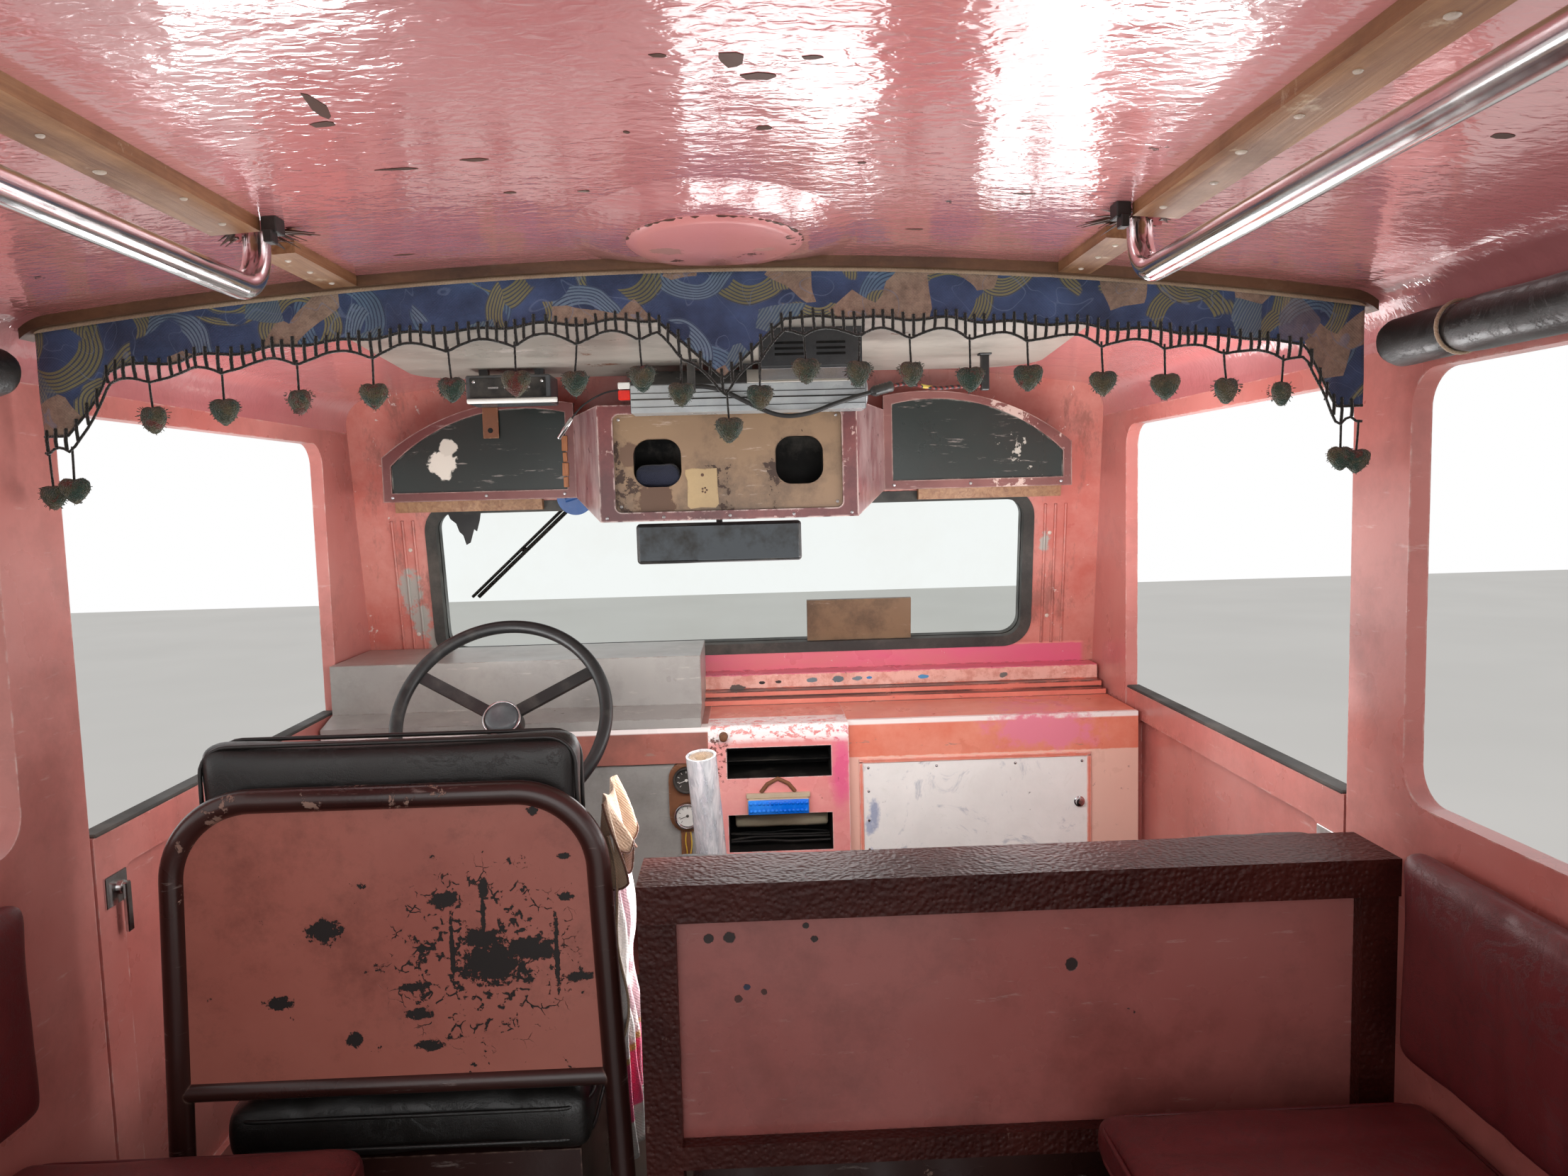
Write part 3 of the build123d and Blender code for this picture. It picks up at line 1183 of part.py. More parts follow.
def make_sunshade():
    """Rolled sunshade standing on the floor and leaning on the passengers' cushion, open at its top."""
    foot = Vector(SHADE_FOOT_X, PASS_FRONT_Y + SHADE_FOOT_AHEAD, FLOOR_Z - SHADE_D)
    top = Vector(SHADE_TOP_X, PASS_FRONT_Y - SHADE_TOP_BEHIND, SHADE_TOP_Z)
    roll = bar(foot, top, SHADE_D)
    along = (foot - top).normalized()
    roll -= bar(top, top + along * SHADE_HOLLOW, SHADE_D - 2 * SHADE_WALL)
    nodes["sunshade_roll"] = roll & block(-INNER_X, INNER_X, REAR_Y, FRONT_Y, FLOOR_Z, CEILING_Z)


def steering_frame():
    """Plane across the steering wheel, facing the driver."""
    angle = math.radians(COLUMN_ANGLE)
    return Plane(
        origin=(SEAT_X, WHEEL_Y, WHEEL_Z), x_dir=(1, 0, 0), z_dir=(0, -math.cos(angle), math.sin(angle))
    )


def column_rod(radius):
    """A rod on the steering column's axis, from under the wheel's hub to past the firewall."""
    start = steering_frame().offset(-HUB_L - HUB_GAP)
    length = WHEEL_SETBACK / math.cos(math.radians(COLUMN_ANGLE)) + BEYOND
    return extrude(start * Circle(radius), -length)


def make_steering():
    """Steering wheel, whose hub turns on the shaft in the top of its column."""
    plane = steering_frame()
    rim = plane * Torus(WHEEL_D / 2 - WHEEL_RIM_D / 2, WHEEL_RIM_D / 2)
    wheel = rim + extrude(plane.offset(-HUB_L) * Circle(HUB_D / 2), HUB_L)
    reach = WHEEL_D / 2 - WHEEL_RIM_D / 2
    for angle in SPOKE_ANGLES:
        spoke = Rot(0, 0, angle) * Pos(reach / 2, 0, -SPOKE_T / 2) * Box(reach, SPOKE_W, SPOKE_T)
        wheel += plane * spoke
    wheel -= extrude(plane.offset(-HUB_L) * Circle(SHAFT_R + SHAFT_CLEAR), SHAFT_L - HUB_GAP + SHAFT_END_GAP)
    nodes["steering_wheel"] = wheel

    cut = block(-INNER_X, INNER_X, REAR_Y, FIREWALL_Y, FLOOR_Z, CEILING_Z)
    shaft = extrude(plane.offset(-HUB_L - HUB_GAP) * Circle(SHAFT_R), SHAFT_L)
    nodes["steering_column"] = (column_rod(COLUMN_D / 2) & cut) + shaft


def make_controls():
    """Pedals on the firewall and the gear lever on the floor."""
    pads = []
    face = FIREWALL_Y - PEDAL_SETBACK
    for aside, width in PEDALS:
        x = SEAT_X + aside
        left, right = x - PEDAL_ARM_W / 2, x + PEDAL_ARM_W / 2
        top = PEDAL_ARM_Z + PEDAL_ARM_H
        arm = block(left, right, face, FIREWALL_Y, PEDAL_ARM_Z, top)
        arm += block(left, right, face, face + PEDAL_ARM_T, PEDAL_Z, top)
        high = PEDAL_Z + PEDAL_H
        pads.append(arm + block(x - width / 2, x + width / 2, face - PEDAL_T, face, PEDAL_Z, high))
    nodes["pedals"] = Compound(children=pads)

    y = FIREWALL_Y - GEAR_SETBACK
    boot = Pos(GEAR_X, y, FLOOR_Z + GEAR_BOOT_H / 2) * Cone(GEAR_BOOT_R, GEAR_BOOT_TOP_R, GEAR_BOOT_H)
    stick = bar((GEAR_X, y, FLOOR_Z + GEAR_BOOT_H / 2), (GEAR_X, y - GEAR_LEAN, GEAR_TOP_Z), GEAR_D)
    nodes["gear_lever"] = boot + stick + Pos(GEAR_X, y - GEAR_LEAN, GEAR_TOP_Z) * Sphere(GEAR_KNOB_R)


def main():
    """Builds every piece and writes one STEP file for each."""
    make_floor()
    make_walls()
    make_doors()
    make_roof()
    make_front()
    make_wiper()
    make_wiper_motor()
    make_ceiling()
    make_grab_rails()
    make_header()
    make_console()
    make_dash_panels()
    make_dash_fittings()
    make_overhead()
    make_leads()
    make_valance()
    make_seats()
    make_sunshade()
    make_steering()
    make_controls()
    os.makedirs("parts", exist_ok=True)
    for name, shape in nodes.items():
        export_step(shape, f"parts/{name}.step")


main()
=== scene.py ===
import bmesh
import bpy
import math
import random
from itertools import product
from mathutils import Matrix, Vector, noise


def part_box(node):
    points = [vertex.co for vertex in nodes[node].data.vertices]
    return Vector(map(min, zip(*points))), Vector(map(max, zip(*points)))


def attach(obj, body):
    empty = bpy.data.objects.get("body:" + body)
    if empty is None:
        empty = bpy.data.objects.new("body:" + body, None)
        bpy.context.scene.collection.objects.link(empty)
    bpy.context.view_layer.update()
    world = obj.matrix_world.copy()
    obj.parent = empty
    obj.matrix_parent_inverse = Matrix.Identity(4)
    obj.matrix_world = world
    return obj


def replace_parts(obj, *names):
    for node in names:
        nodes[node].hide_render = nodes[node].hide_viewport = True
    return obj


# Looks of the jeepney cab section, in metres: X to the vehicle's right, Y forwards, Z up.
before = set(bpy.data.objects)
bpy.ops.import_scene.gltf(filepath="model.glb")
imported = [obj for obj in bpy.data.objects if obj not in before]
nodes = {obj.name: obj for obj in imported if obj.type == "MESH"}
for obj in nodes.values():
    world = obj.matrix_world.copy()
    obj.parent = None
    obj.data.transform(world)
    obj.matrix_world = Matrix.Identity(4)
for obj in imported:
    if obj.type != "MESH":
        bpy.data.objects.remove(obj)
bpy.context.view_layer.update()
SEED = 7
dice = random.Random(SEED)
noise.seed_set(SEED)
BACK, AHEAD, DOWN, RIGHT = (0, -1, 0), (0, 1, 0), (0, 0, -1), (1, 0, 0)
SIDES = (("left", -1), ("right", 1))

# Photograph's frame and viewpoint
PHOTO_W = 2212
FOCAL_PX = 1500.0
SENSOR = 36.0
CAMERA_AT = Vector((0.035, -1.450, 1.217))
CAMERA_YAW = math.atan(48.0 / FOCAL_PX)
CAMERA_PITCH = math.atan(129.5 / FOCAL_PX)
CAMERA_ROLL = math.radians(1.5)


def make_camera():
    """Camera at the photograph's place, turned and tilted as it was."""
    data = bpy.data.cameras.new("camera")
    data.sensor_width = SENSOR
    data.sensor_fit = "HORIZONTAL"
    data.lens = FOCAL_PX * SENSOR / PHOTO_W
    data.clip_start = 0.02
    camera = bpy.data.objects.new("camera", data)
    bpy.context.scene.collection.objects.link(camera)
    ahead = Vector((
        math.sin(CAMERA_YAW) * math.cos(CAMERA_PITCH), math.cos(CAMERA_YAW) * math.cos(CAMERA_PITCH),
        -math.sin(CAMERA_PITCH),
    ))
    level = Vector((math.cos(CAMERA_YAW), -math.sin(CAMERA_YAW), 0.0))
    upright = level.cross(ahead)
    right = level * math.cos(CAMERA_ROLL) - upright * math.sin(CAMERA_ROLL)
    up = level * math.sin(CAMERA_ROLL) + upright * math.cos(CAMERA_ROLL)
    camera.matrix_world = Matrix.Translation(CAMERA_AT) @ Matrix((right, up, -ahead)).transposed().to_4x4()
    bpy.context.scene.camera = camera


make_camera()


# Materials
def srgb(code):
    """Linear colour of a six-digit colour code."""
    parts = [int(code[i:i + 2], 16) / 255 for i in (0, 2, 4)]
    return tuple(c / 12.92 if c < 0.04045 else ((c + 0.055) / 1.055) ** 2.4 for c in parts) + (1.0,)


class Surface:
    """A node material that is built up call by call, on the piece's own coordinates."""

    def __init__(self, name, rough=0.5, metal=0.0, **sockets):
        self.material = bpy.data.materials.new(name)
        self.material.use_nodes = True
        self.tree = self.material.node_tree
        self.shader = self.tree.nodes["Principled BSDF"]
        self.put(self.shader.inputs["Roughness"], rough)
        self.put(self.shader.inputs["Metallic"], metal)
        for key, value in sockets.items():
            self.put(self.shader.inputs[key.replace("_", " ")], value)
        self.place = self.node("TexCoord", {}, "Object")

    def put(self, socket, value):
        """Links a socket or sets its value."""
        if isinstance(value, bpy.types.NodeSocket):
            self.tree.links.new(value, socket)
        else:
            socket.default_value = value

    def node(self, kind, inputs, out=0, **settings):
        """Adds a node and gives one of its outputs."""
        made = self.tree.nodes.new("ShaderNode" + kind)
        for key, value in settings.items():
            setattr(made, key, value)
        for key, value in inputs.items():
            self.put(made.inputs[key], value)
        return made.outputs[out]

    def noise(self, scale, detail=4.0, rough=0.55, warp=0.0, at=None, out=0):
        values = {"Vector": at or self.place, "Scale": scale, "Detail": detail, "Roughness": rough}
        return self.node("TexNoise", {**values, "Distortion": warp}, out)

    def stretch(self, x, y, z, turn=(0.0, 0.0, 0.0), at=None):
        return self.node("Mapping", {"Vector": at or self.place, "Scale": (x, y, z), "Rotation": turn})

    def step(self, value, low, high, to_low=0.0, to_high=1.0):
        values = {"Value": value, "From Min": low, "From Max": high}
        return self.node("MapRange", {**values, "To Min": to_low, "To Max": to_high})

    def math(self, how, a, b=0.0):
        return self.node("Math", {0: a, 1: b}, operation=how)

    def mix(self, amount, a, b):
        """Blend of two colours, each a socket or a colour code."""
        a, b = (srgb(colour) if isinstance(colour, str) else colour for colour in (a, b))
        return self.node("Mix", {0: amount, 6: a, 7: b}, 2, data_type="RGBA")

    def speckle(self, low, high, *grain, most=1.0, **more):
        """Rises from 0 to most where a noise passes from low to high."""
        return self.step(self.noise(*grain, **more), low, high, 0.0, most)

    def gloss(self, low, high, scale=8.0, detail=5.0):
        """Roughness that drifts between two values."""
        return self.step(self.noise(scale, detail), 0.3, 0.7, low, high)

    def axis(self, name):
        """Place along X, Y or Z."""
        return self.node("SeparateXYZ", {"Vector": self.place}, name)

    def times(self, a, b):
        return self.math("MULTIPLY", a, b)

    def plus(self, a, b):
        return self.math("ADD", a, b)

    def minus(self, a, b):
        return self.math("SUBTRACT", a, b)

    def larger(self, a, b):
        return self.math("MAXIMUM", a, b)

    def edges(self, radius):
        """1 along the piece's edges and 0 on its flats."""
        bevel = self.node("Bevel", {"Radius": radius}, samples=4)
        normal = self.node("NewGeometry", {}, "Normal")
        dot = self.node("VectorMath", {0: bevel, 1: normal}, "Value", operation="DOT_PRODUCT")
        return self.step(dot, 0.995, 0.9)

    def spot(self, centre, size, ragged=0.5, soft=0.06, grain=38.0, squash=(1.0, 1.0, 1.0)):
        """1 inside a ragged patch round a point. Size is its radius."""
        away = self.node("VectorMath", {0: self.place, 1: centre}, operation="SUBTRACT")
        away = self.node("VectorMath", {0: away, 1: squash}, operation="MULTIPLY")
        away = self.node("VectorMath", {0: away}, "Value", operation="LENGTH")
        rough = self.times(self.minus(self.noise(grain, 8.0, 0.7), 0.5), size * 4 * ragged)
        reach = self.plus(away, rough)
        return self.step(reach, size * (1 + soft), size * (1 - soft))

    def finish(self, colour, bump=None, depth=0.001, strength=0.6, rough=None):
        """Links the colour, and the roughness and bump where they vary."""
        self.put(self.shader.inputs["Base Color"], colour)
        if rough is not None:
            self.put(self.shader.inputs["Roughness"], rough)
        if bump is not None:
            values = {"Height": bump, "Distance": depth, "Strength": strength}
            tilt = self.node("Bump", values)
            self.put(self.shader.inputs["Normal"], tilt)
            self.put(self.shader.inputs["Coat Normal"], tilt)
        return self.material

    def chipped(self, colour, flaw, strength, rough):
        """Finish for enamel whose flaws lie a little lower."""
        return self.finish(colour, self.times(flaw, -1.0), 0.0012, strength, rough)


def paint(name, main, tone, chip, chips=0.3, worn=0.5, rough=0.35, dirt=0.3, grain=20.0, peel=0.15, spots=()):
    """Enamel with cloudy tones, grime, chips down to another colour and worn edges.

    Spots are extra patches: centre, radius and colour.
    """
    s = Surface(name, rough, Coat_Weight=0.15, Coat_Roughness=0.15)
    colour = s.mix(s.speckle(0.36, 0.64, 2.6, 5.0), main, tone)
    colour = s.mix(s.speckle(0.48, 0.74, 7.0, 9.0, 0.72, most=dirt), colour, "2B2019")
    scratch = s.noise(11.0, 6.0, 0.7, at=s.stretch(1.0, 1.0, 7.0))
    colour = s.mix(s.step(scratch, 0.62, 0.7, 0.0, 0.25), colour, "E8D8D0")
    fine = s.noise(grain, 10.0, 0.72, 0.3)
    clump = s.times(s.minus(s.noise(3.4, 3.0), 0.5), 0.9)
    level = 0.80 - 0.22 * chips
    flaw = s.step(s.plus(fine, clump), level, level + 0.012)
    if worn > 0:
        rub = s.times(s.edges(0.004), s.speckle(0.62 - 0.3 * worn, 0.66, grain * 1.7, 6.0, 0.7))
        flaw = s.larger(flaw, rub)
    colour = s.mix(flaw, colour, chip)
    for centre, radius, shade in spots:
        patch = s.spot(centre, radius)
        colour = s.mix(patch, colour, shade)
        flaw = s.larger(flaw, s.times(patch, 0.6))
    ripple = s.times(s.noise(160.0, 2.0), peel)
    height = s.minus(ripple, s.times(flaw, 0.55))
    shine = s.plus(s.gloss(rough * 0.75, rough * 1.3, 5.0, 5.0), s.times(flaw, 0.35))
    return s.finish(colour, height, 0.0016, 0.5, shine)


def ceiling_paint():
    """Thick glossy enamel brushed over sheet, with runs, ripples and brown chips."""
    s = Surface("ceiling_enamel", 0.2, Coat_Weight=1.0, Coat_Roughness=0.05, Coat_IOR=1.95)
    colour = s.mix(s.speckle(0.34, 0.66, 1.7, 4.0), "BE7476", "CE8888")
    colour = s.mix(s.speckle(0.5, 0.75, 5.0, 8.0, 0.7, most=0.28), colour, "8E4A48")
    fine = s.noise(16.0, 10.0, 0.68, 0.4)
    clump = s.times(s.minus(s.noise(2.2, 2.0), 0.5), 0.7)
    flaw = s.step(s.plus(fine, clump), 0.79, 0.80)
    colour = s.mix(flaw, colour, "4A2A20")
    orange = s.noise(110.0, 2.0, 0.5, 0.6, at=s.stretch(0.55, 1.0, 1.0))
    wave = s.noise(13.0, 3.0, 0.5, 0.3, at=s.stretch(0.8, 1.0, 1.0))
    height = s.plus(s.times(orange, 0.55), s.times(wave, 2.0))
    height = s.minus(height, s.times(flaw, 0.8))
    return s.finish(colour, height, 0.0022, 0.5, s.gloss(0.12, 0.26, 3.0, 4.0))


def wood(name, main, dark, along, spots=(), stained=None):
    """Wood with its grain along one axis. Stained is a range in Y that is darker."""
    s = Surface(name, 0.45, Coat_Weight=0.1)
    scales = [26.0, 26.0, 26.0]
    scales["XYZ".index(along)] = 1.6
    grain = s.noise(3.0, 8.0, 0.65, 1.2, at=s.stretch(*scales))
    colour = s.mix(s.step(grain, 0.34, 0.66), main, dark)
    stain = s.noise(6.0, 6.0, 0.7)
    colour = s.mix(s.step(stain, 0.5, 0.72, 0.0, 0.55), colour, "4A3426")
    pale = s.speckle(0.62, 0.7, 15.0, 6.0, 0.7, most=0.6)
    colour = s.mix(pale, colour, "D9C7AA")
    for centre, radius, shade in spots:
        colour = s.mix(s.spot(centre, radius), colour, shade)
    if stained:
        deep = s.axis("Y")
        band = s.times(s.step(deep, stained[0] - 0.001, stained[0]), s.step(deep, stained[1] + 0.001, stained[1]))
        colour = s.mix(s.times(band, 0.85), colour,
                       s.mix(s.speckle(0.4, 0.62, 9.0, 7.0, 0.7, at=s.stretch(0.3, 1.0, 1.0)), "6A4C36", "2E1F18"))
    return s.finish(colour, grain, 0.0012, 0.5, s.step(stain, 0.3, 0.7, 0.35, 0.6))


def steel(name, main, tarnish, rough=0.16, along="Y"):
    """Polished steel with fine draw lines and some tarnish."""
    s = Surface(name, rough, 1.0)
    scales = [150.0, 150.0, 150.0]
    scales["XYZ".index(along)] = 3.0
    lines = s.noise(2.0, 4.0, at=s.stretch(*scales))
    dull = s.noise(9.0, 8.0, 0.7)
    colour = s.mix(s.step(dull, 0.5, 0.72), main, tarnish)
    return s.finish(colour, lines, 0.0003, 0.25, s.step(dull, 0.4, 0.75, rough * 0.7, rough * 2.6))


def plastic(name, main, tone, rough=0.4, grain=420.0, dust=0.25):
    """Moulded plastic or rubber with a fine grain and dust."""
    s = Surface(name, rough)
    colour = s.mix(s.speckle(0.4, 0.7, 12.0, 6.0, 0.7), main, tone)
    colour = s.mix(s.speckle(0.5, 0.75, 5.0, 8.0, 0.7, most=dust), colour, "8C8378")
    return s.finish(colour, s.noise(grain, 2.0), 0.0003, 0.4, s.gloss(rough * 0.8, rough * 1.3))


def vinyl(name, main, tone, rough=0.42, crack="000000", cracks=0.3):
    """Leathercloth with pebble grain, creases and rubbed places."""
    s = Surface(name, rough, Coat_Weight=0.1, Coat_Roughness=0.3)
    colour = s.mix(s.speckle(0.35, 0.7, 4.0, 6.0, 0.7), main, tone)
    pebble = s.node("TexVoronoi", {"Vector": s.place, "Scale": 520.0}, "Distance")
    crease = s.noise(12.0, 9.0, 0.75, 1.5)
    lines = s.step(s.math("ABSOLUTE", s.minus(crease, 0.5)), 0.0, 0.02)
    split = s.times(s.minus(1.0, lines), cracks)
    colour = s.mix(split, colour, crack)
    height = s.plus(s.times(pebble, 0.35), s.times(lines, 0.3))
    return s.finish(colour, height, 0.0006, 0.5, s.gloss(rough * 0.75, rough * 1.25, 9.0, 4.0))


def cloth(name, main, tone):
    """Plain woven cloth, soiled a little."""
    s = Surface(name, 0.85, Sheen_Weight=0.3)
    colour = s.mix(s.speckle(0.36, 0.68, 7.0, 6.0, 0.7), main, tone)
    return s.finish(colour, woven(s, 900.0), 0.0005, 0.5)


def woven(s, weave):
    """Height of a plain weave, from threads in three directions."""
    parts = s.axis("X")
    holder = parts.node
    waves = [s.math("SINE", s.times(holder.outputs[i], weave * 2.0)) for i in range(3)]
    return s.plus(s.times(waves[0], waves[2]), s.times(waves[1], 0.5))


def printed_cloth():
    """Valance cloth: blue ground with beige shards, hatched shards, striped arcs and thin curls."""
    s = Surface("valance_print", 0.8, Sheen_Weight=0.2)
    parts = s.axis("X")
    flat = s.node("CombineXYZ", {"X": parts, "Y": parts.node.outputs["Z"]})
    drift = s.node("VectorMath", {0: s.noise(9.0, 2.0, at=flat, out=1), 1: (0.5, 0.5, 0.5)}, operation="SUBTRACT")
    bent = s.node("VectorMath", {0: flat, 1: s.node("VectorMath", {0: drift, "Scale": 0.03}, operation="SCALE")},
                  operation="ADD")
    colour = s.mix(s.speckle(0.35, 0.65, 14.0, 4.0, at=flat), "2C3A58", "485C84")

    def ribbons(colour, size, offset, shades):
        """Bundles of thin striped arcs, cut off at both ends."""
        moved = s.node("VectorMath", {0: bent, 1: (offset, offset * 0.37, 0.0)}, operation="ADD")
        ring = s.node("TexVoronoi", {"Vector": moved, "Scale": size, "Randomness": 0.9}, "Distance",
                      voronoi_dimensions="2D")
        which = s.node("SeparateColor", {"Color": ring.node.outputs["Color"]}, 0)
        band = s.times(s.step(ring, 0.24, 0.245), s.step(ring, 0.43, 0.425))
        band = s.times(band, s.speckle(0.44, 0.45, 11.0, 1.0, at=moved))
        ribbon = s.mix(s.step(which, 0.5, 0.51), shades[0], shades[1])
        ribbon = s.mix(s.step(s.math("SINE", s.times(ring, 205.0)), -0.2, -0.7, 0.0, 0.85), ribbon,
                       "2E3C5C")
        return s.mix(band, colour, ribbon)

    colour = ribbons(colour, 7.5, 0.0, ("7C7A58", "5E7890"))
    colour = ribbons(colour, 8.5, 0.31, ("6E8498", "84805E"))
    shards = s.node("TexVoronoi", {"Vector": bent, "Scale": 23.0, "Randomness": 1.0}, "Color",
                    voronoi_dimensions="2D")
    pick = s.node("SeparateColor", {"Color": shards}, 0)
    hatch = s.math("SINE", s.times(s.node("SeparateXYZ", {
        "Vector": s.stretch(1.0, 1.0, 1.0, (0.0, 0.0, 0.6), bent)}, "X"), 1900.0))
    hatched = s.mix(s.step(hatch, -0.6, 0.6), "4A5E76", "6E8088")
    colour = s.mix(s.step(pick, 0.84, 0.845), colour, hatched)
    peach = s.mix(s.speckle(0.4, 0.62, 90.0, 5.0, 0.8), "A08A78", "847062")
    colour = s.mix(s.step(pick, 0.235, 0.23), colour, peach)
    curl = s.math("ABSOLUTE", s.minus(s.noise(9.0, 1.0, 0.5, 2.2, at=flat), 0.5))
    colour = s.mix(s.step(curl, 0.007, 0.003, 0.0, 0.4), colour, "7486A4")
    colour = s.mix(s.speckle(0.5, 0.72, 7.0, 7.0, 0.7, most=0.4), colour, "231E1B")
    return s.finish(colour, woven(s, 900.0), 0.0005, 0.5)


def glass(name, tint):
    """Clear glass with faint dust."""
    s = Surface(name, Transmission_Weight=1.0, IOR=1.02)
    dust = s.noise(6.0, 8.0, 0.7)
    colour = s.mix(s.step(dust, 0.45, 0.8, 0.0, 0.25), tint, "E6E4DC")
    return s.finish(colour, None, rough=s.step(dust, 0.4, 0.8, 0.01, 0.05))


def foil(name):
    """Bright rolled film with crinkles along it, whose white and grey bands along the crinkles are painted highlights
    and shade, with a blue spot of painted reflection.
    """
    s = Surface(name, 0.32, 0.4)
    crinkle = s.noise(22.0, 5.0, 0.6, 0.8, at=s.stretch(5.0, 5.0, 0.8))
    # White and grey bands along the crinkles: painted highlights and painted shade.
    colour = s.mix(s.step(crinkle, 0.35, 0.65), "FAFAFC", "C4C8CE")
    # Blue spot: painted reflection.
    colour = s.mix(s.spot((-0.02, 0.41, 0.47), 0.03), colour, "7C8CC8")
    return s.finish(colour, crinkle, 0.0035, 0.7, s.step(crinkle, 0.3, 0.7, 0.12, 0.3))


def yarn(name, main, tone):
    """Crocheted yarn."""
    s = Surface(name, 0.9, Sheen_Weight=0.5)
    cells = s.node("TexVoronoi", {"Vector": s.place, "Scale": 430.0}, "Distance")
    colour = s.mix(s.step(cells, 0.1, 0.7), main, tone)
    colour = s.mix(s.speckle(0.5, 0.7, 40.0, 3.0, most=0.5), colour, "0C0B0A")
    return s.finish(colour, s.minus(1.0, cells), 0.0016, 0.8)


def fuzzy():
    """Fluffy heart yarn: olive with green and dark red patches and pale tips."""
    s = Surface("heart_yarn", 0.9, Sheen_Weight=0.25)
    cells = s.node("TexVoronoi", {"Vector": s.place, "Scale": 520.0}, "Distance")
    colour = s.mix(s.speckle(0.4, 0.6, 45.0, 3.0), "5C563C", "2C4A3C")
    colour = s.mix(s.speckle(0.59, 0.66, 38.0, 4.0, 0.6, 0.5), colour, "6A3226")
    colour = s.mix(s.speckle(0.60, 0.78, 210.0, 3.0, 0.7, most=0.7), colour, "A29C78")
    return s.finish(colour, s.minus(s.noise(300.0, 4.0, 0.7), cells), 0.003, 1.0)


def seat_back():
    """Salmon sheet with a burst of black chips, a net of cracks round it and separate scars."""
    s = Surface("seat_back_enamel", 0.36, Coat_Weight=0.15, Coat_Roughness=0.2)
    height = s.axis("Z")
    colour = s.mix(s.speckle(0.35, 0.65, 3.0, 6.0, 0.7), "AA6256", "BC7466")
    colour = s.mix(s.step(height, 0.70, 0.42, 0.0, 0.5), colour, "C88070")
    colour = s.mix(s.speckle(0.5, 0.75, 9.0, 9.0, 0.75, most=0.5), colour, "40201C")
    near = s.node("VectorMath", {0: s.place, 1: (-0.31, -0.168, 0.66)}, operation="DISTANCE", out="Value")
    bent = s.node("VectorMath", {0: s.place, 1: s.node("VectorMath", {
        0: s.noise(40.0, 3.0, out=1), "Scale": 0.02}, operation="SCALE")}, operation="ADD")
    net = s.node("TexVoronoi", {"Vector": bent, "Scale": 58.0}, "Distance", feature="DISTANCE_TO_EDGE")
    width = s.step(near, 0.02, 0.14, 0.12, -0.015)
    broken = s.speckle(0.52, 0.54, 48.0, 5.0, 0.65)
    flaw = s.times(s.step(s.minus(net, width), 0.02, 0.0), broken)
    flaw = s.times(flaw, s.step(near, 0.145, 0.11))
    chips = s.step(s.plus(s.noise(30.0, 8.0, 0.7), s.step(near, 0.2, 0.0, 0.0, 0.10)), 0.66, 0.665)
    flaw = s.larger(flaw, chips)
    for x, z, radius, shape in (
        (-0.297, 0.652, 0.032, (0.85, 1.0, 1.2)), (-0.308, 0.684, 0.018, (0.7, 1.0, 1.5)),
        (-0.250, 0.668, 0.020, (0.6, 1.0, 1.4)), (-0.350, 0.733, 0.012, (0.7, 1.0, 1.3)),
        (-0.304, 0.746, 0.009, (1.6, 1.0, 0.7)), (-0.193, 0.630, 0.011, (0.6, 1.0, 2.0)),
        (-0.203, 0.733, 0.007, (0.8, 1.0, 1.4)), (-0.205, 0.784, 0.006, (0.7, 1.0, 1.6)),
        (-0.390, 0.590, 0.011, (0.7, 1.0, 1.6)), (-0.378, 0.549, 0.010, (0.6, 1.0, 1.5)),
        (-0.238, 0.842, 0.006, (1.0, 1.0, 1.0)), (-0.398, 0.624, 0.008, (0.6, 1.0, 1.6)),
        (-0.305, 0.715, 0.024, (9.0, 1.0, 0.6)), (-0.345, 0.672, 0.026, (9.0, 1.0, 0.6)),
        (-0.217, 0.660, 0.030, (9.0, 1.0, 0.6)), (-0.50, 0.70, 0.02, (1.0, 1.0, 1.4)),
        (-0.56, 0.61, 0.012, (0.7, 1.0, 1.5)), (-0.47, 0.56, 0.010, (1.0, 1.0, 1.0)),
    ):
        flaw = s.larger(flaw, s.spot((x, -0.168, z), radius, 0.8, 0.04, 95.0, shape))
    colour = s.mix(flaw, colour, "150D0B")
    return s.chipped(colour, flaw, 0.6, s.step(flaw, 0.0, 1.0, 0.34, 0.7))


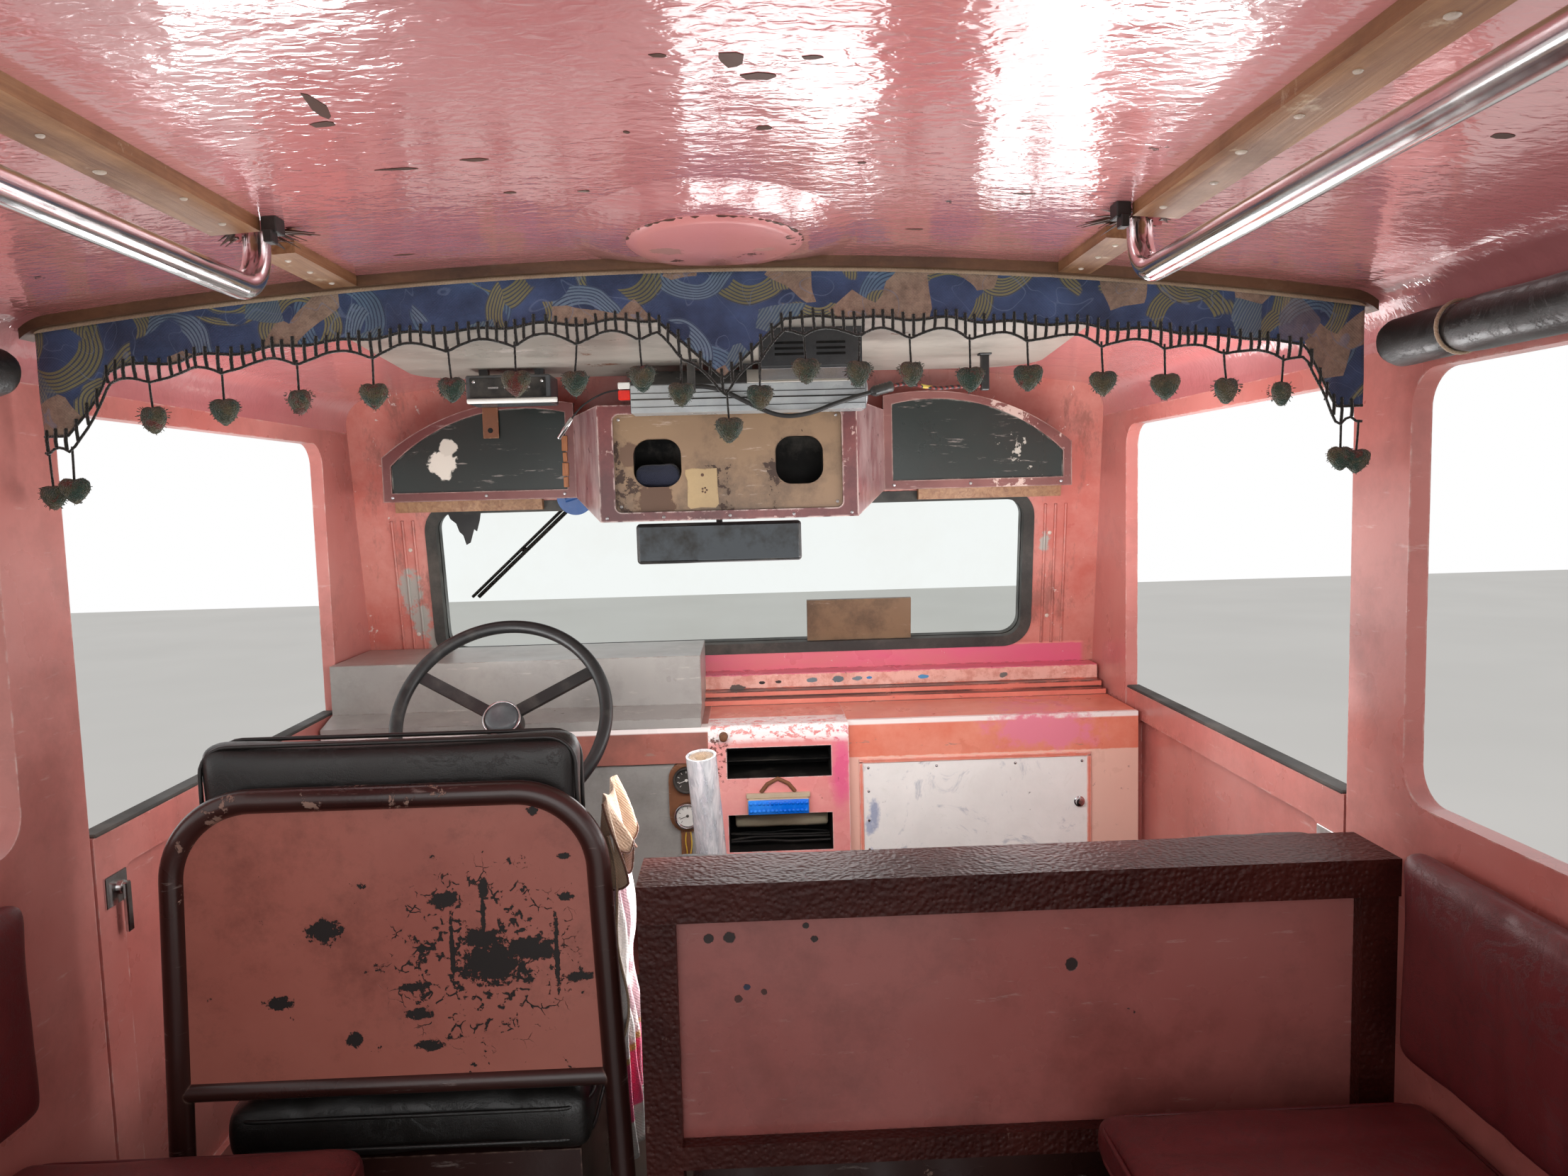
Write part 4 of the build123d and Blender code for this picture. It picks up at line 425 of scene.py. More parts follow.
def ledge_paint():
    """Dashboard ledge: hot pink on top, pale salmon below it, then salmon steps with dark grooves."""
    s = Surface("ledge_enamel", 0.32, Coat_Weight=0.2, Coat_Roughness=0.15)
    height = s.axis("Z")
    ragged = s.plus(height, s.times(s.minus(s.noise(45.0, 7.0, 0.75), 0.5), 0.012))
    colour = s.mix(s.speckle(0.4, 0.65, 6.0, 6.0, 0.7), "DE7464", "E88C78")
    pale = s.mix(s.speckle(0.46, 0.6, 30.0, 7.0, 0.7), "EFB6A8", "D99484")
    colour = s.mix(s.step(ragged, 0.791, 0.793), colour, pale)
    colour = s.mix(s.step(ragged, 0.8195, 0.8205), colour, "E07488")
    grime = s.noise(26.0, 9.0, 0.75, at=s.stretch(0.35, 1.0, 1.0))
    for groove in (0.7895, 0.7775):
        line = s.step(s.math("ABSOLUTE", s.minus(height, groove)), 0.0022, 0.0008)
        colour = s.mix(s.times(line, s.step(grime, 0.35, 0.5)), colour, "4A2C26")
    flaw = s.speckle(0.645, 0.65, 70.0, 9.0, 0.75, at=s.stretch(0.6, 1.0, 1.0))
    colour = s.mix(flaw, colour, "7E5A50")
    colour = s.mix(s.speckle(0.66, 0.67, 18.0, 9.0, 0.75, at=s.stretch(0.5, 1.0, 1.0)), colour, "F4E2DA")
    for x, z, radius, shade in (
        (0.055, 0.803, 0.0045, "1E1210"), (0.092, 0.804, 0.005, "2A1A16"), (0.168, 0.806, 0.008, "6E7A80"),
        (0.226, 0.806, 0.010, "5E6A70"), (0.268, 0.806, 0.007, "76828A"), (0.296, 0.807, 0.004, "3E82B8"),
        (0.418, 0.806, 0.007, "4E92C0"), (0.0, 0.793, 0.012, "5A4A44"), (0.60, 0.804, 0.008, "6E6A66"),
    ):
        colour = s.mix(s.spot((x, 0.90, z), radius, 0.6, 0.05, 60.0, (0.7, 0.3, 1.5)), colour, shade)
    height = s.times(s.larger(flaw, s.noise(30.0, 5.0)), -0.7)
    return s.finish(colour, height, 0.0014, 0.6, s.gloss(0.24, 0.45))


def console_paint():
    """Console front: pink, flaked white along its lip, with a hot pink streak by the upper slot."""
    s = Surface("console_enamel", 0.3, Coat_Weight=0.25, Coat_Roughness=0.12)
    height = s.axis("Z")
    colour = s.mix(s.speckle(0.4, 0.65, 7.0, 6.0, 0.7), "E08A88", "EAA29C")
    colour = s.mix(s.step(height, 0.505, 0.495, 0.0, 0.8), colour, "DE8468")
    streak = s.spot((0.206, 0.625, 0.67), 0.030, 0.5, 0.5, 30.0, (1.6, 0.3, 0.42))
    colour = s.mix(s.times(streak, 0.75), colour, "E2568C")
    lip = s.step(s.plus(height, s.times(s.noise(14.0, 4.0), 0.02)), 0.739, 0.752)
    flakes = s.speckle(0.44, 0.47, 75.0, 8.0, 0.72, 0.6, at=s.stretch(0.7, 1.0, 1.0))
    colour = s.mix(s.times(lip, flakes), colour, "F8F0EE")
    deep = s.axis("Y")
    step = s.mix(s.speckle(0.45, 0.6, 20.0, 8.0, 0.7), "DE7A66", "E89480")
    colour = s.mix(s.step(deep, 0.694, 0.696), colour, "F4EAE6")
    colour = s.mix(s.step(s.plus(deep, s.times(s.noise(50.0, 5.0), 0.006)), 0.708, 0.710), colour, step)
    colour = s.mix(s.step(deep, 0.828, 0.833), colour, "5A342C")
    flaw = s.speckle(0.665, 0.67, 58.0, 9.0, 0.74)
    corner = s.spot((-0.04, 0.625, 0.70), 0.035, 0.9, 0.3, 60.0, (1.2, 0.3, 0.8))
    flaw = s.larger(flaw, s.times(corner, s.speckle(0.54, 0.56, 90.0, 6.0, 0.7)))
    rub = s.times(s.edges(0.003), s.speckle(0.42, 0.5, 60.0, 6.0, 0.7))
    colour = s.mix(rub, colour, "EADCD6")
    colour = s.mix(flaw, colour, "74443C")
    return s.chipped(colour, flaw, 0.6, s.gloss(0.2, 0.4))


def side_paint():
    """Panels beside the console: salmon, painted darker left of the console as painted shade, with pale worn edges and
    grey scrapes.
    """
    s = Surface("side_enamel", 0.3, Coat_Weight=0.2, Coat_Roughness=0.15)
    parts = s.axis("X")
    deep, height = parts.node.outputs["Y"], parts.node.outputs["Z"]
    colour = s.mix(s.speckle(0.4, 0.62, 5.0, 6.0, 0.7), "DC7C64", "E69680")
    # Left of the console the salmon is painted darker: painted shade on the driver's side.
    left = s.step(parts, -0.05, -0.06)
    colour = s.mix(left, colour, s.mix(s.speckle(0.4, 0.6, 7.0, 6.0, 0.7), "A8685C", "8C5A50"))
    fray = s.times(s.minus(s.noise(50.0, 6.0, 0.7), 0.5), 0.008)
    colour = s.mix(s.step(s.plus(height, fray), 0.692, 0.690, 0.0, 0.8), colour, "EAC8B8")
    edge = s.times(s.step(s.plus(deep, fray), 0.660, 0.656), s.step(height, 0.755, 0.758))
    colour = s.mix(edge, colour, "F2E8E4")
    colour = s.mix(s.step(deep, 0.828, 0.833), colour, "5A342C")
    scrape = s.noise(16.0, 9.0, 0.75, at=s.stretch(0.25, 1.0, 1.3))
    colour = s.mix(s.step(scrape, 0.63, 0.64, 0.0, 0.8), colour, "9C8278")
    flaw = s.speckle(0.66, 0.665, 44.0, 9.0, 0.74)
    colour = s.mix(flaw, colour, "7A4A40")
    colour = s.mix(s.spot((0.62, 0.645, 0.735), 0.05, 0.8, 0.3, 30.0, (0.5, 0.2, 1.4)), colour, "E28496")
    return s.chipped(colour, flaw, 0.5, s.gloss(0.22, 0.42))


def header_paint():
    """Header box: dark maroon round the board, with splayed sides worn to mauve and white."""
    s = Surface("header_enamel", 0.34, Coat_Weight=0.15, Coat_Roughness=0.2)
    aside = s.node("SeparateXYZ", {"Vector": s.node("NewGeometry", {}, "True Normal")}, "X")
    aside = s.step(s.math("ABSOLUTE", aside), 0.25, 0.3)
    face = s.mix(s.speckle(0.4, 0.65, 6.0, 6.0, 0.7), "4C1F20", "6E3836")
    side = s.mix(s.speckle(0.4, 0.6, 9.0, 7.0, 0.7, at=s.stretch(1.0, 1.0, 0.5)), "7C5052", "A28A88")
    colour = s.mix(aside, face, side)
    rub = s.times(s.edges(0.005), s.speckle(0.42, 0.5, 30.0, 6.0, 0.7))
    colour = s.mix(rub, colour, "C4AEA6")
    flaw = s.speckle(0.62, 0.63, 20.0, 9.0, 0.72)
    colour = s.mix(flaw, colour, s.mix(aside, "A88A82", "4A2422"))
    colour = s.mix(s.speckle(0.5, 0.74, 7.0, 9.0, 0.72, most=0.5), colour, "2B1A16")
    return s.chipped(colour, flaw, 0.5, s.step(flaw, 0.0, 1.0, 0.3, 0.55))


def screen_paint():
    """Windscreen surround: salmon posts, with a hot pink sill below the glass."""
    s = Surface("pillar_enamel", 0.32, Coat_Weight=0.15, Coat_Roughness=0.15)
    parts = s.axis("X")
    height = parts.node.outputs["Z"]
    colour = s.mix(s.speckle(0.4, 0.62, 5.0, 6.0, 0.7), "C06A5E", "D08C80")
    colour = s.mix(s.speckle(0.52, 0.62, 12.0, 8.0, 0.75, most=0.7, at=s.stretch(1.0, 1.0, 0.4)), colour, "8C5A50")
    ahead = s.node("SeparateXYZ", {"Vector": s.node("NewGeometry", {}, "True Normal")}, "Y")
    inner = s.step(ahead, 0.5, 0.3)
    sill = s.times(s.step(height, 0.870, 0.866), s.step(s.math("ABSOLUTE", parts), 0.80, 0.79))
    sill = s.times(sill, inner)
    shade = s.mix(s.speckle(0.4, 0.6, 5.0, 5.0, 0.7, at=s.stretch(0.4, 1.0, 1.0)), "E06E8C", "DC7E86")
    colour = s.mix(sill, colour, shade)
    top = s.step(s.plus(height, s.times(s.noise(40.0, 6.0, 0.7), 0.008)), 0.868, 0.870)
    colour = s.mix(s.times(sill, top), colour, "E2A08E")
    flaw = s.speckle(0.64, 0.645, 22.0, 9.0, 0.74, 0.4)
    colour = s.mix(flaw, colour, "DECCC4")
    rub = s.times(s.edges(0.004), s.speckle(0.46, 0.54, 40.0, 6.0, 0.7))
    colour = s.mix(rub, colour, "5A3028")
    for x, z, radius in ((-0.717, 1.030, 0.030), (-0.700, 0.965, 0.026), (-0.675, 0.920, 0.018), (0.70, 1.10, 0.014)):
        colour = s.mix(s.spot((x, 0.93, z), radius, 0.8, 0.2, 50.0, (1.3, 0.15, 0.7)), colour, "A8A49C")
    return s.chipped(colour, flaw, 0.5, s.gloss(0.25, 0.45))


def glove_paint():
    """Glove panel: light grey with bluish smears and scuffs."""
    s = Surface("glove_enamel", 0.4, Coat_Weight=0.1)
    colour = s.mix(s.speckle(0.35, 0.65, 5.0, 6.0, 0.7), "E6E4E0", "F2F0EC")
    swirl = s.noise(9.0, 7.0, 0.7, 2.5)
    colour = s.mix(s.step(swirl, 0.56, 0.66, 0.0, 0.5), colour, "8C97A6")
    colour = s.mix(s.step(swirl, 0.40, 0.34, 0.0, 0.6), colour, "E4E2DC")
    for x, z, radius, shade in ((0.272, 0.573, 0.016, "8794B4"), (0.264, 0.482, 0.010, "7E8CBC"),
                                (0.283, 0.476, 0.010, "8A96C0"), (0.262, 0.55, 0.010, "94A0BC")):
        blur = s.spot((x, 0.643, z), radius, 0.7, 0.4, 60.0, (1.6, 0.3, 0.6))
        colour = s.mix(s.times(blur, 0.8), colour, shade)
    colour = s.mix(s.speckle(0.67, 0.68, 50.0, 9.0, 0.75), colour, "6E6A64")
    return s.finish(colour, swirl, 0.0004, 0.4, s.step(swirl, 0.3, 0.7, 0.3, 0.55))


looks = {
    "ceiling": ceiling_paint(),
    "body": paint("body_enamel", "C07068", "CC867E", "E3CFC6", 0.25, 0.5, 0.3),
    "pillar": screen_paint(),
    "outside": paint("outside_enamel", "B0605A", "BC7068", "5A2E28", 0.1, 0.3, 0.22, 0.15),
    "frame": paint("frame_black", "1E1B1A", "2B2624", "6A3B24", 0.35, 0.5, 0.6),
    "floor": paint("floor_sheet", "5A5048", "6A6058", "2A2420", 0.5, 0.6, 0.5, 0.5),
    "tray": paint("tray_enamel", "8C857C", "A09990", "6A4A3A", 0.25, 0.6, 0.35, 0.5),
    "maroon": paint("header_enamel", "5A2C2A", "8A5C56", "BCA49A", 0.5, 0.9, 0.34, 0.35, 16.0),
    "header": header_paint(),
    "green": paint("wing_enamel", "181F1C", "232B28", "A9A49A", 0.22, 0.4, 0.3, 0.35, 14.0, 0.15, [
        ((-0.585, 0.765, 1.30), 0.028, "C9C2B6"), ((-0.575, 0.765, 1.335), 0.018, "BDB6AA"),
    ]),
    "board": paint("speaker_board_stain", "6E543E", "7E644A", "34231A", 0.5, 0.5, 0.5, 0.9, 14.0, 0.1, [
        ((-0.135, 0.53, 1.215), 0.035, "4E3626"), ((-0.18, 0.53, 1.30), 0.02, "5A4232"),
    ]),
    "side": side_paint(),
    "dash": paint("dash_enamel", "DC7E6A", "E49480", "F0E4DC", 0.3, 1.0, 0.28, 0.25, 24.0),
    "grey": paint("binnacle_enamel", "96928E", "A6A29C", "6E5A52", 0.2, 0.5, 0.35, 0.3),
    "glove": glove_paint(),
    "console": console_paint(),
    "ledge": ledge_paint(),
    "panel": paint("driver_panel_enamel", "8C8A86", "9C9994", "8A7468", 0.3, 0.6, 0.42, 0.4),
    "brown": paint("seat_frame_enamel", "2E1714", "402420", "9A7C6E", 0.3, 0.7, 0.3, 0.3, 26.0),
    "seat_back": seat_back(),
    "partition": paint("partition_enamel", "A8605A", "B4706A", "2A1412", 0.2, 0.6, 0.28, 0.4, 22.0, 0.15, [
        ((-0.028, -0.19, 0.680), 0.006, "241210"), ((-0.003, -0.19, 0.682), 0.008, "241210"),
        ((0.091, -0.19, 0.692), 0.004, "241210"), ((0.101, -0.19, 0.675), 0.005, "241210"),
        ((0.017, -0.19, 0.617), 0.005, "2C3048"), ((0.038, -0.19, 0.610), 0.004, "4A2622"),
        ((0.006, -0.19, 0.603), 0.005, "4A2622"), ((0.42, -0.19, 0.63), 0.008, "241210"),
    ]),
    "steel": steel("rail_steel", "F4F4F6", "C4C0BC", 0.14),
    "trim": steel("trim_steel", "C9C9CB", "8F8A84", 0.25),
    "wood": wood("batten_wood", "A67C56", "7E5234", "Y", stained=(-0.174, -0.146)),
    "black": plastic("black_plastic", "151515", "222222", 0.4),
    "metal": plastic("black_metal", "1C1B1A", "2C2A28", 0.45, 200.0),
    "rubber": plastic("gasket_rubber", "343432", "454440", 0.7, 300.0, 0.35),
    "glass": glass("screen_glass", "F4F8F6"),
    "blue": plastic("blue_motor", "1E4E8C", "2C62A6", 0.35),
    "vinyl": vinyl("black_vinyl", "161514", "24211F"),
    "bench": vinyl("bench_vinyl", "5A1E22", "6E2A2C"),
    "valance": printed_cloth(),
    "yarn": yarn("fringe_yarn", "10120F", "1E221C"),
    "heart": fuzzy(),
    "foil": foil("rolled_film"),
    "cord": plastic("cord_black", "101010", "1B1B1B", 0.45, 600.0, 0.15),
    "beige": plastic("beige_plastic", "B7A58C", "C4B49C", 0.45),
}


def dress(look, *names):
    """Gives CAD nodes a material."""
    for name in names:
        nodes[name].data.materials.clear()
        nodes[name].data.materials.append(looks[look])


for key, names in {
    "ceiling": "roof_panel ceiling_cover", "body": "rear_hoop side_wall_left side_wall_right door_left door_right",
    "pillar": "windscreen_frame", "outside": "firewall", "frame": "floor_frame", "floor": "floor_pan",
    "tray": "ceiling_tray", "header": "header_box", "maroon": "header_wings", "green": "wing_boards",
    "board": "speaker_board route_board", "ledge": "dash_ledge", "console": "dash_console", "side": "dash_sides",
    "glove": "glove_panel", "grey": "binnacle", "panel": "driver_panel", "brown": "driver_seat_frame seat_bases",
    "seat_back": "driver_seat_panel", "partition": "partition_panel", "steel": "grab_rails", "trim": "drip_rails",
    "wood": "wooden_battens", "black": "rear_view_mirror steering_wheel lead_fittings gauges",
    "metal": "wiper steering_column pedals gear_lever", "rubber": "windscreen_gasket", "glass": "windscreen_glass",
    "blue": "wiper_motor console_lamp", "vinyl": "cab_seat_pads cab_seat_cushions rolled_curtains",
    "bench": "bench_cushions", "valance": "valance seat_frill", "yarn": "heart_fringe", "foil": "sunshade_roll",
    "cord": "overhead_cable side_wires spare_lead",
}.items():
    dress(key, *names.split())


def settle(made, look, body="cab", smooth=True):
    """Gives a new piece its material, its shading and the body that it rides on."""
    if made.name not in bpy.context.scene.collection.objects:
        bpy.context.scene.collection.objects.link(made)
    made.data.materials.append(looks[look])
    if smooth and made.type == "MESH":
        made.data.polygons.foreach_set("use_smooth", [True] * len(made.data.polygons))
    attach(made, body)
    return made


def mesh_piece(name, points, faces, look, body="cab", smooth=True):
    """Piece from its points and faces."""
    mesh = bpy.data.meshes.new(name)
    mesh.from_pydata([tuple(p) for p in points], [], faces)
    mesh.update()
    return settle(bpy.data.objects.new(name, mesh), look, body, smooth)


def line_piece(name, paths, radius, look, nurbs=False, closed=False, sides=2):
    """Round cords along paths, as one curve object."""
    data = bpy.data.curves.new(name, "CURVE")
    data.dimensions = "3D"
    data.bevel_depth = radius
    data.bevel_resolution = sides
    data.use_fill_caps = True
    data.resolution_u = 10
    for path in paths:
        spline = data.splines.new("NURBS" if nurbs else "POLY")
        spline.points.add(len(path) - 1)
        for point, at in zip(spline.points, path):
            point.co = (*at, 1.0)
        if nurbs:
            spline.order_u = 3
            spline.use_endpoint_u = True
        spline.use_cyclic_u = closed
        spline.use_smooth = True
    return settle(bpy.data.objects.new(name, data), look)


def sheet_piece(name, across, down, place, look, thick=0.0014):
    """Sheet of cells, where place gives the point at each share across and down."""
    points = [place(i / across, j / down) for i in range(across + 1) for j in range(down + 1)]
    step = down + 1
    faces = [
        (i * step + j, i * step + j + 1, (i + 1) * step + j + 1, (i + 1) * step + j)
        for i in range(across) for j in range(down)
    ]
    made = mesh_piece(name, points, faces, look)
    solid = made.modifiers.new("thickness", "SOLIDIFY")
    solid.thickness = thick
    solid.offset = 0.0
    return made


def box_shell(counts):
    """Shares and faces of a box whose sides are divided into cells."""
    index, shares, faces = {}, [], []

    def at(key):
        if key not in index:
            index[key] = len(shares)
            shares.append(tuple(k / c for k, c in zip(key, counts)))
        return index[key]

    for axis in range(3):
        a, b = (axis + 1) % 3, (axis + 2) % 3
        for end in (0, counts[axis]):
            for i in range(counts[a]):
                for j in range(counts[b]):
                    cell = []
                    for di, dj in ((0, 0), (1, 0), (1, 1), (0, 1)):
                        key = [0, 0, 0]
                        key[axis], key[a], key[b] = end, i + di, j + dj
                        cell.append(at(tuple(key)))
                    faces.append(cell if end else cell[::-1])
    return shares, faces


def pad_piece(name, low, high, look, up=2, radius=0.028, crown=0.012, pinch=0.008, channels=0, along=0,
              flat_low=True, wrinkle=0.0022, cell=0.016, fill=0.6):
    """Stuffed pad in a box: crowned, with its sides drawn in, rounded edges, sewn channels and creases."""
    low, high = Vector(low), Vector(high)
    high[up] -= crown * 0.7
    if not flat_low:
        low[up] += crown * 0.7
    size = high - low
    counts = [max(4, round(size[i] / cell)) for i in range(3)]
    shares, faces = box_shell(counts)
    sides = [i for i in range(3) if i != up]
    points = []
    for share in shares:
        p = Vector([low[i] + size[i] * share[i] for i in range(3)])
        core = Vector([min(max(p[i], low[i] + radius), high[i] - radius) for i in range(3)])
        if (p - core).length > 0:
            p = core + (p - core).normalized() * radius
        s = [2 * share[i] - 1 for i in range(3)]
        swell = (1 - s[sides[0]] ** 4) * (1 - s[sides[1]] ** 4)
        if s[up] > 0 or not flat_low:
            p[up] += s[up] * crown * swell
            if channels:
                beat = (share[along] * channels) % 1.0
                groove = math.exp(-((min(beat, 1 - beat) / channels * size[along]) / 0.006) ** 2)
                if 0.5 / channels < share[along] < 1 - 0.5 / channels:
                    p[up] -= s[up] * groove * 0.007
        for i in sides:
            other = sides[1 - sides.index(i)]
            p[i] -= s[i] * abs(s[i]) * pinch * (1 - s[other] ** 2)
        p += noise.noise_vector(p * 9.0) * wrinkle * 1.6 + noise.noise_vector(p * 26.0) * wrinkle * 0.6
        points.append(p)
    made = mesh_piece(name, points, faces, look)
    smooth = made.modifiers.new("smooth", "SUBSURF")
    smooth.levels = smooth.render_levels = 1
    return made


def ring_path(low, high, height, up=2, radius=0.03, inset=0.0, steps=6):
    """Rounded rectangle round a box, at a height along one axis."""
    a, b = [i for i in range(3) if i != up]
    path = []
    for ca, cb, start in ((1, 1, 0), (0, 1, 90), (0, 0, 180), (1, 0, 270)):
        middle_a = (high[a] - inset - radius) if ca else (low[a] + inset + radius)
        middle_b = (high[b] - inset - radius) if cb else (low[b] + inset + radius)
        for k in range(steps + 1):
            angle = math.radians(start + 90 * k / steps)
            point = [0.0, 0.0, 0.0]
            point[up] = height
            point[a] = middle_a + radius * math.cos(angle)
            point[b] = middle_b + radius * math.sin(angle)
            path.append(point)
    return path


# Shared sizes: half widths of the body inside and outside, roof arch, ceiling, rails and wheel
INSIDE, OUTSIDE = 0.82, 0.845
ARCH_RISE = 0.06
CEILING_TOP, ROOF_TOP = 1.5, 1.520
RAIL_X, RAIL_END_Y = 0.43, -0.385
WHEEL_X, WHEEL_Y, WHEEL_Z = -0.42, 0.46, 0.83
WING_Y, WING_LOW = 0.760, 1.2250
GAUGE_X = -0.102


def arch_radius(half):
    """Radius of the roof's arch over a half width."""
    return (half ** 2 + ARCH_RISE ** 2) / (2 * ARCH_RISE)


def ceiling_z(x):
    """Height of the arched ceiling."""
    radius = arch_radius(INSIDE)
    return CEILING_TOP - (radius - math.sqrt(radius ** 2 - x ** 2))


# Leads under the cab ceiling, on the points of their routes
CABLE_Y = 0.436
LEAD_Y = 0.475
CABLE = [(-0.050, 1.412), (-0.016, 1.412), (0.040, 1.382), (0.097, 1.355), (0.150, 1.360), (0.203, 1.381),
         (0.257, 1.395)]
WIRES = [(0.2967, 1.4053), (0.3199, 1.4113), (0.370, 1.398), (0.412, 1.402), (0.452, 1.402)]
LEAD = [(-0.188, 1.412), (-0.206, 1.412), (-0.236, 1.399), (-0.262, 1.381), (-0.274, 1.364)]


def make_leads():
    """Cable, bundle of wires and spare lead, each as one smooth curve."""
    for node, route, y, diameter, length, end, look, pieces in (
        ("overhead_cable", CABLE, CABLE_Y, 0.008, 0.3245, "connector", "cord", ["cable_connector"]),
        ("side_wires", WIRES, CABLE_Y, 0.007, 0.1571, "object", "wires", []),
        ("spare_lead", LEAD, LEAD_Y, 0.003, 0.1026, "connector", "cord", ["lead_sleeve"]),
    ):
        points = [(x, y, z) for x, z in route]
        made = line_piece(node + "_cord", [points], diameter / 2, look, nurbs=True, sides=5)
        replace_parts(made, node)
        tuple(points[0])


def bundle():
    """Several thin coloured wires twisted together."""
    s = Surface("wire_bundle", 0.45)
    twist = s.node("TexWave", {"Vector": s.stretch(1.0, 1.0, 0.6), "Scale": 60.0, "Distortion": 1.5,
                               "Detail": 2.0}, 1, bands_direction="DIAGONAL")
    colour = s.mix(s.step(twist, 0.4, 0.5), "17171A", "6E2420")
    colour = s.mix(s.speckle(0.58, 0.62, 45.0, 2.0), colour, "B9A24A")
    return s.finish(colour, twist, 0.001, 0.8)


def skirt_cloth():
    """Seat cover cloth: mauve and white, with a gold edge, a hot pink band and a white foot."""
    s = Surface("cover_cloth", 0.75, Sheen_Weight=0.4)
    height = s.axis("Z")
    cells = s.noise(16.0, 4.0, 0.6, 1.0, at=s.stretch(1.0, 1.0, 0.4))
    colour = s.mix(s.step(cells, 0.47, 0.53), "BE9AA2", "F6F0EC")
    colour = s.mix(s.step(height, 0.504, 0.500), colour, "B88A44")
    colour = s.mix(s.step(height, 0.494, 0.491), colour, "E6487C")
    colour = s.mix(s.step(height, 0.416, 0.413), colour, "D8D6D0")
    colour = s.mix(s.speckle(0.52, 0.75, 8.0, 6.0, 0.7, most=0.5), colour, "6A5A50")
    return s.finish(colour, woven(s, 800.0), 0.0005, 0.5)


looks["wires"] = bundle()
looks["skirt"] = skirt_cloth()
looks["ruffle"] = cloth("ruffle_cloth", "B09A80", "8A6E58")
looks["stitch"] = cloth("brown_stitching", "5E3A24", "4A2C1C")


# Valance with its crocheted edge and hearts
VALANCE_Y = -0.160
VALANCE_END = 0.790
TAIL_IN = 0.715
TAIL_FOOT_IN = 0.760
TAIL_Z = 1.310
VEE_X, VEE_HALF, VEE_DROP = 0.010, 0.075, 0.069
BAND_H = 0.059
STRIP_T = 0.012
FRINGE_H = 0.019
HEARTS_AT = [
    -0.757, -0.664, -0.577, -0.489, -0.403, -0.314, -0.235, -0.163, -0.088, -0.039, 0.014, 0.055, 0.108, 0.174,
    0.235, 0.307, 0.378, 0.468, 0.542, 0.617, 0.692, 0.767,
]


def hem_z(x):
    """Lower edge of the valance."""
    far = abs(x)
    plain = ceiling_z(min(far, TAIL_IN)) - STRIP_T - BAND_H
    if far <= TAIL_IN:
        lift = 0.004 * math.sin(math.pi * (x * 12.5)) ** 2
        return plain - VEE_DROP * max(0.0, 1 - abs(x - VEE_X) / VEE_HALF) + (lift if abs(x - VEE_X) > VEE_HALF else 0.0)
    share = min(1.0, (far - TAIL_IN) / (TAIL_FOOT_IN - TAIL_IN))
    return plain + (TAIL_Z - plain) * share ** 0.8


def valance_y(x, down):
    """How far the cloth stands forward or back, in soft gathers that grow downwards."""
    fold = math.sin(x * 58.0 + 2.0 * math.sin(x * 9.0)) * (0.0015 + 0.004 * down)
    return VALANCE_Y + fold + noise.noise(Vector((x * 14.0, down * 1.5, 4.0))) * 0.004


def fringe_drop(x):
    """Depth of the ladder edge, which arches up between the hearts."""
    spots = [-0.786] + HEARTS_AT + [0.786]
    for a, b in zip(spots, spots[1:]):
        if a <= x <= b:
            return FRINGE_H + 0.004 - 0.010 * math.sin(math.pi * (x - a) / (b - a)) ** 0.7
    return FRINGE_H


def make_valance():
    """Printed cloth under the strip, with a hem, beige piping and a crocheted ladder edge."""
    def place(u, v):
        x = (2 * u - 1) * VALANCE_END
        top = ceiling_z(x) - STRIP_T
        return x, valance_y(x, v), top + (hem_z(x) - top) * v

    cloth_piece = sheet_piece("valance_cloth", 420, 12, place, "valance")
    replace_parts(cloth_piece, "valance")
    xs = [(-1 + i / 130) * VALANCE_END for i in range(261)]
    piping = line_piece("valance_piping", [[(x, VALANCE_Y - 0.003, ceiling_z(x) - STRIP_T - 0.002) for x in xs]],
                        0.0026, "ruffle")
    upper = [(x, valance_y(x, 1.0) - 0.0005, hem_z(x) - 0.001) for x in xs]
    lower = [(x, y + 0.001 * math.sin(x * 210), z - fringe_drop(x)) for x, y, z in upper]
    rungs = []
    x = -VALANCE_END + 0.004
    while x < VALANCE_END:
        lean = dice.uniform(-0.0016, 0.0016)
        y, z = valance_y(x, 1.0), hem_z(x)
        rungs.append([(x, y - 0.001, z + dice.uniform(0.006, 0.010)), (x + lean / 2, y - 0.002, z - 0.006),
                      (x + lean, y, z - fringe_drop(x))])
        x += dice.uniform(0.0108, 0.0138)
    cords = line_piece("fringe_cords", [upper, lower], 0.0017, "yarn")
    ladder = line_piece("fringe_ladder", rungs, 0.0021, "yarn", sides=1)
    hearts = make_hearts()
    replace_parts(hearts[0], "heart_fringe")


def heart_mesh(centre, size, turn, points, faces):
    """Adds one stuffed heart to a mesh."""
    rows, columns = 14, 20
    start = len(points)
    spin = Matrix.Rotation(turn, 3, "Z")
    for i in range(rows + 1):
        polar = math.pi * i / rows
        for j in range(columns):
            around = 2 * math.pi * j / columns
            x = math.sin(polar) * math.cos(around)
            y = math.sin(polar) * math.sin(around)
            z = math.cos(polar) * 0.90 + 0.42 * abs(x) - 0.22
            p = Vector((x * (1.02 - 0.10 * max(0.0, -z)), y * 0.66, z))
            p += noise.noise_vector(p * 3.0 + Vector(centre) * 40) * 0.05
            points.append(Vector(centre) + spin @ p * size)
    for i in range(rows):
        for j in range(columns):
            k = (j + 1) % columns
            low_row, high_row = start + i * columns, start + (i + 1) * columns
            faces.append((low_row + j, high_row + j, high_row + k, low_row + k))


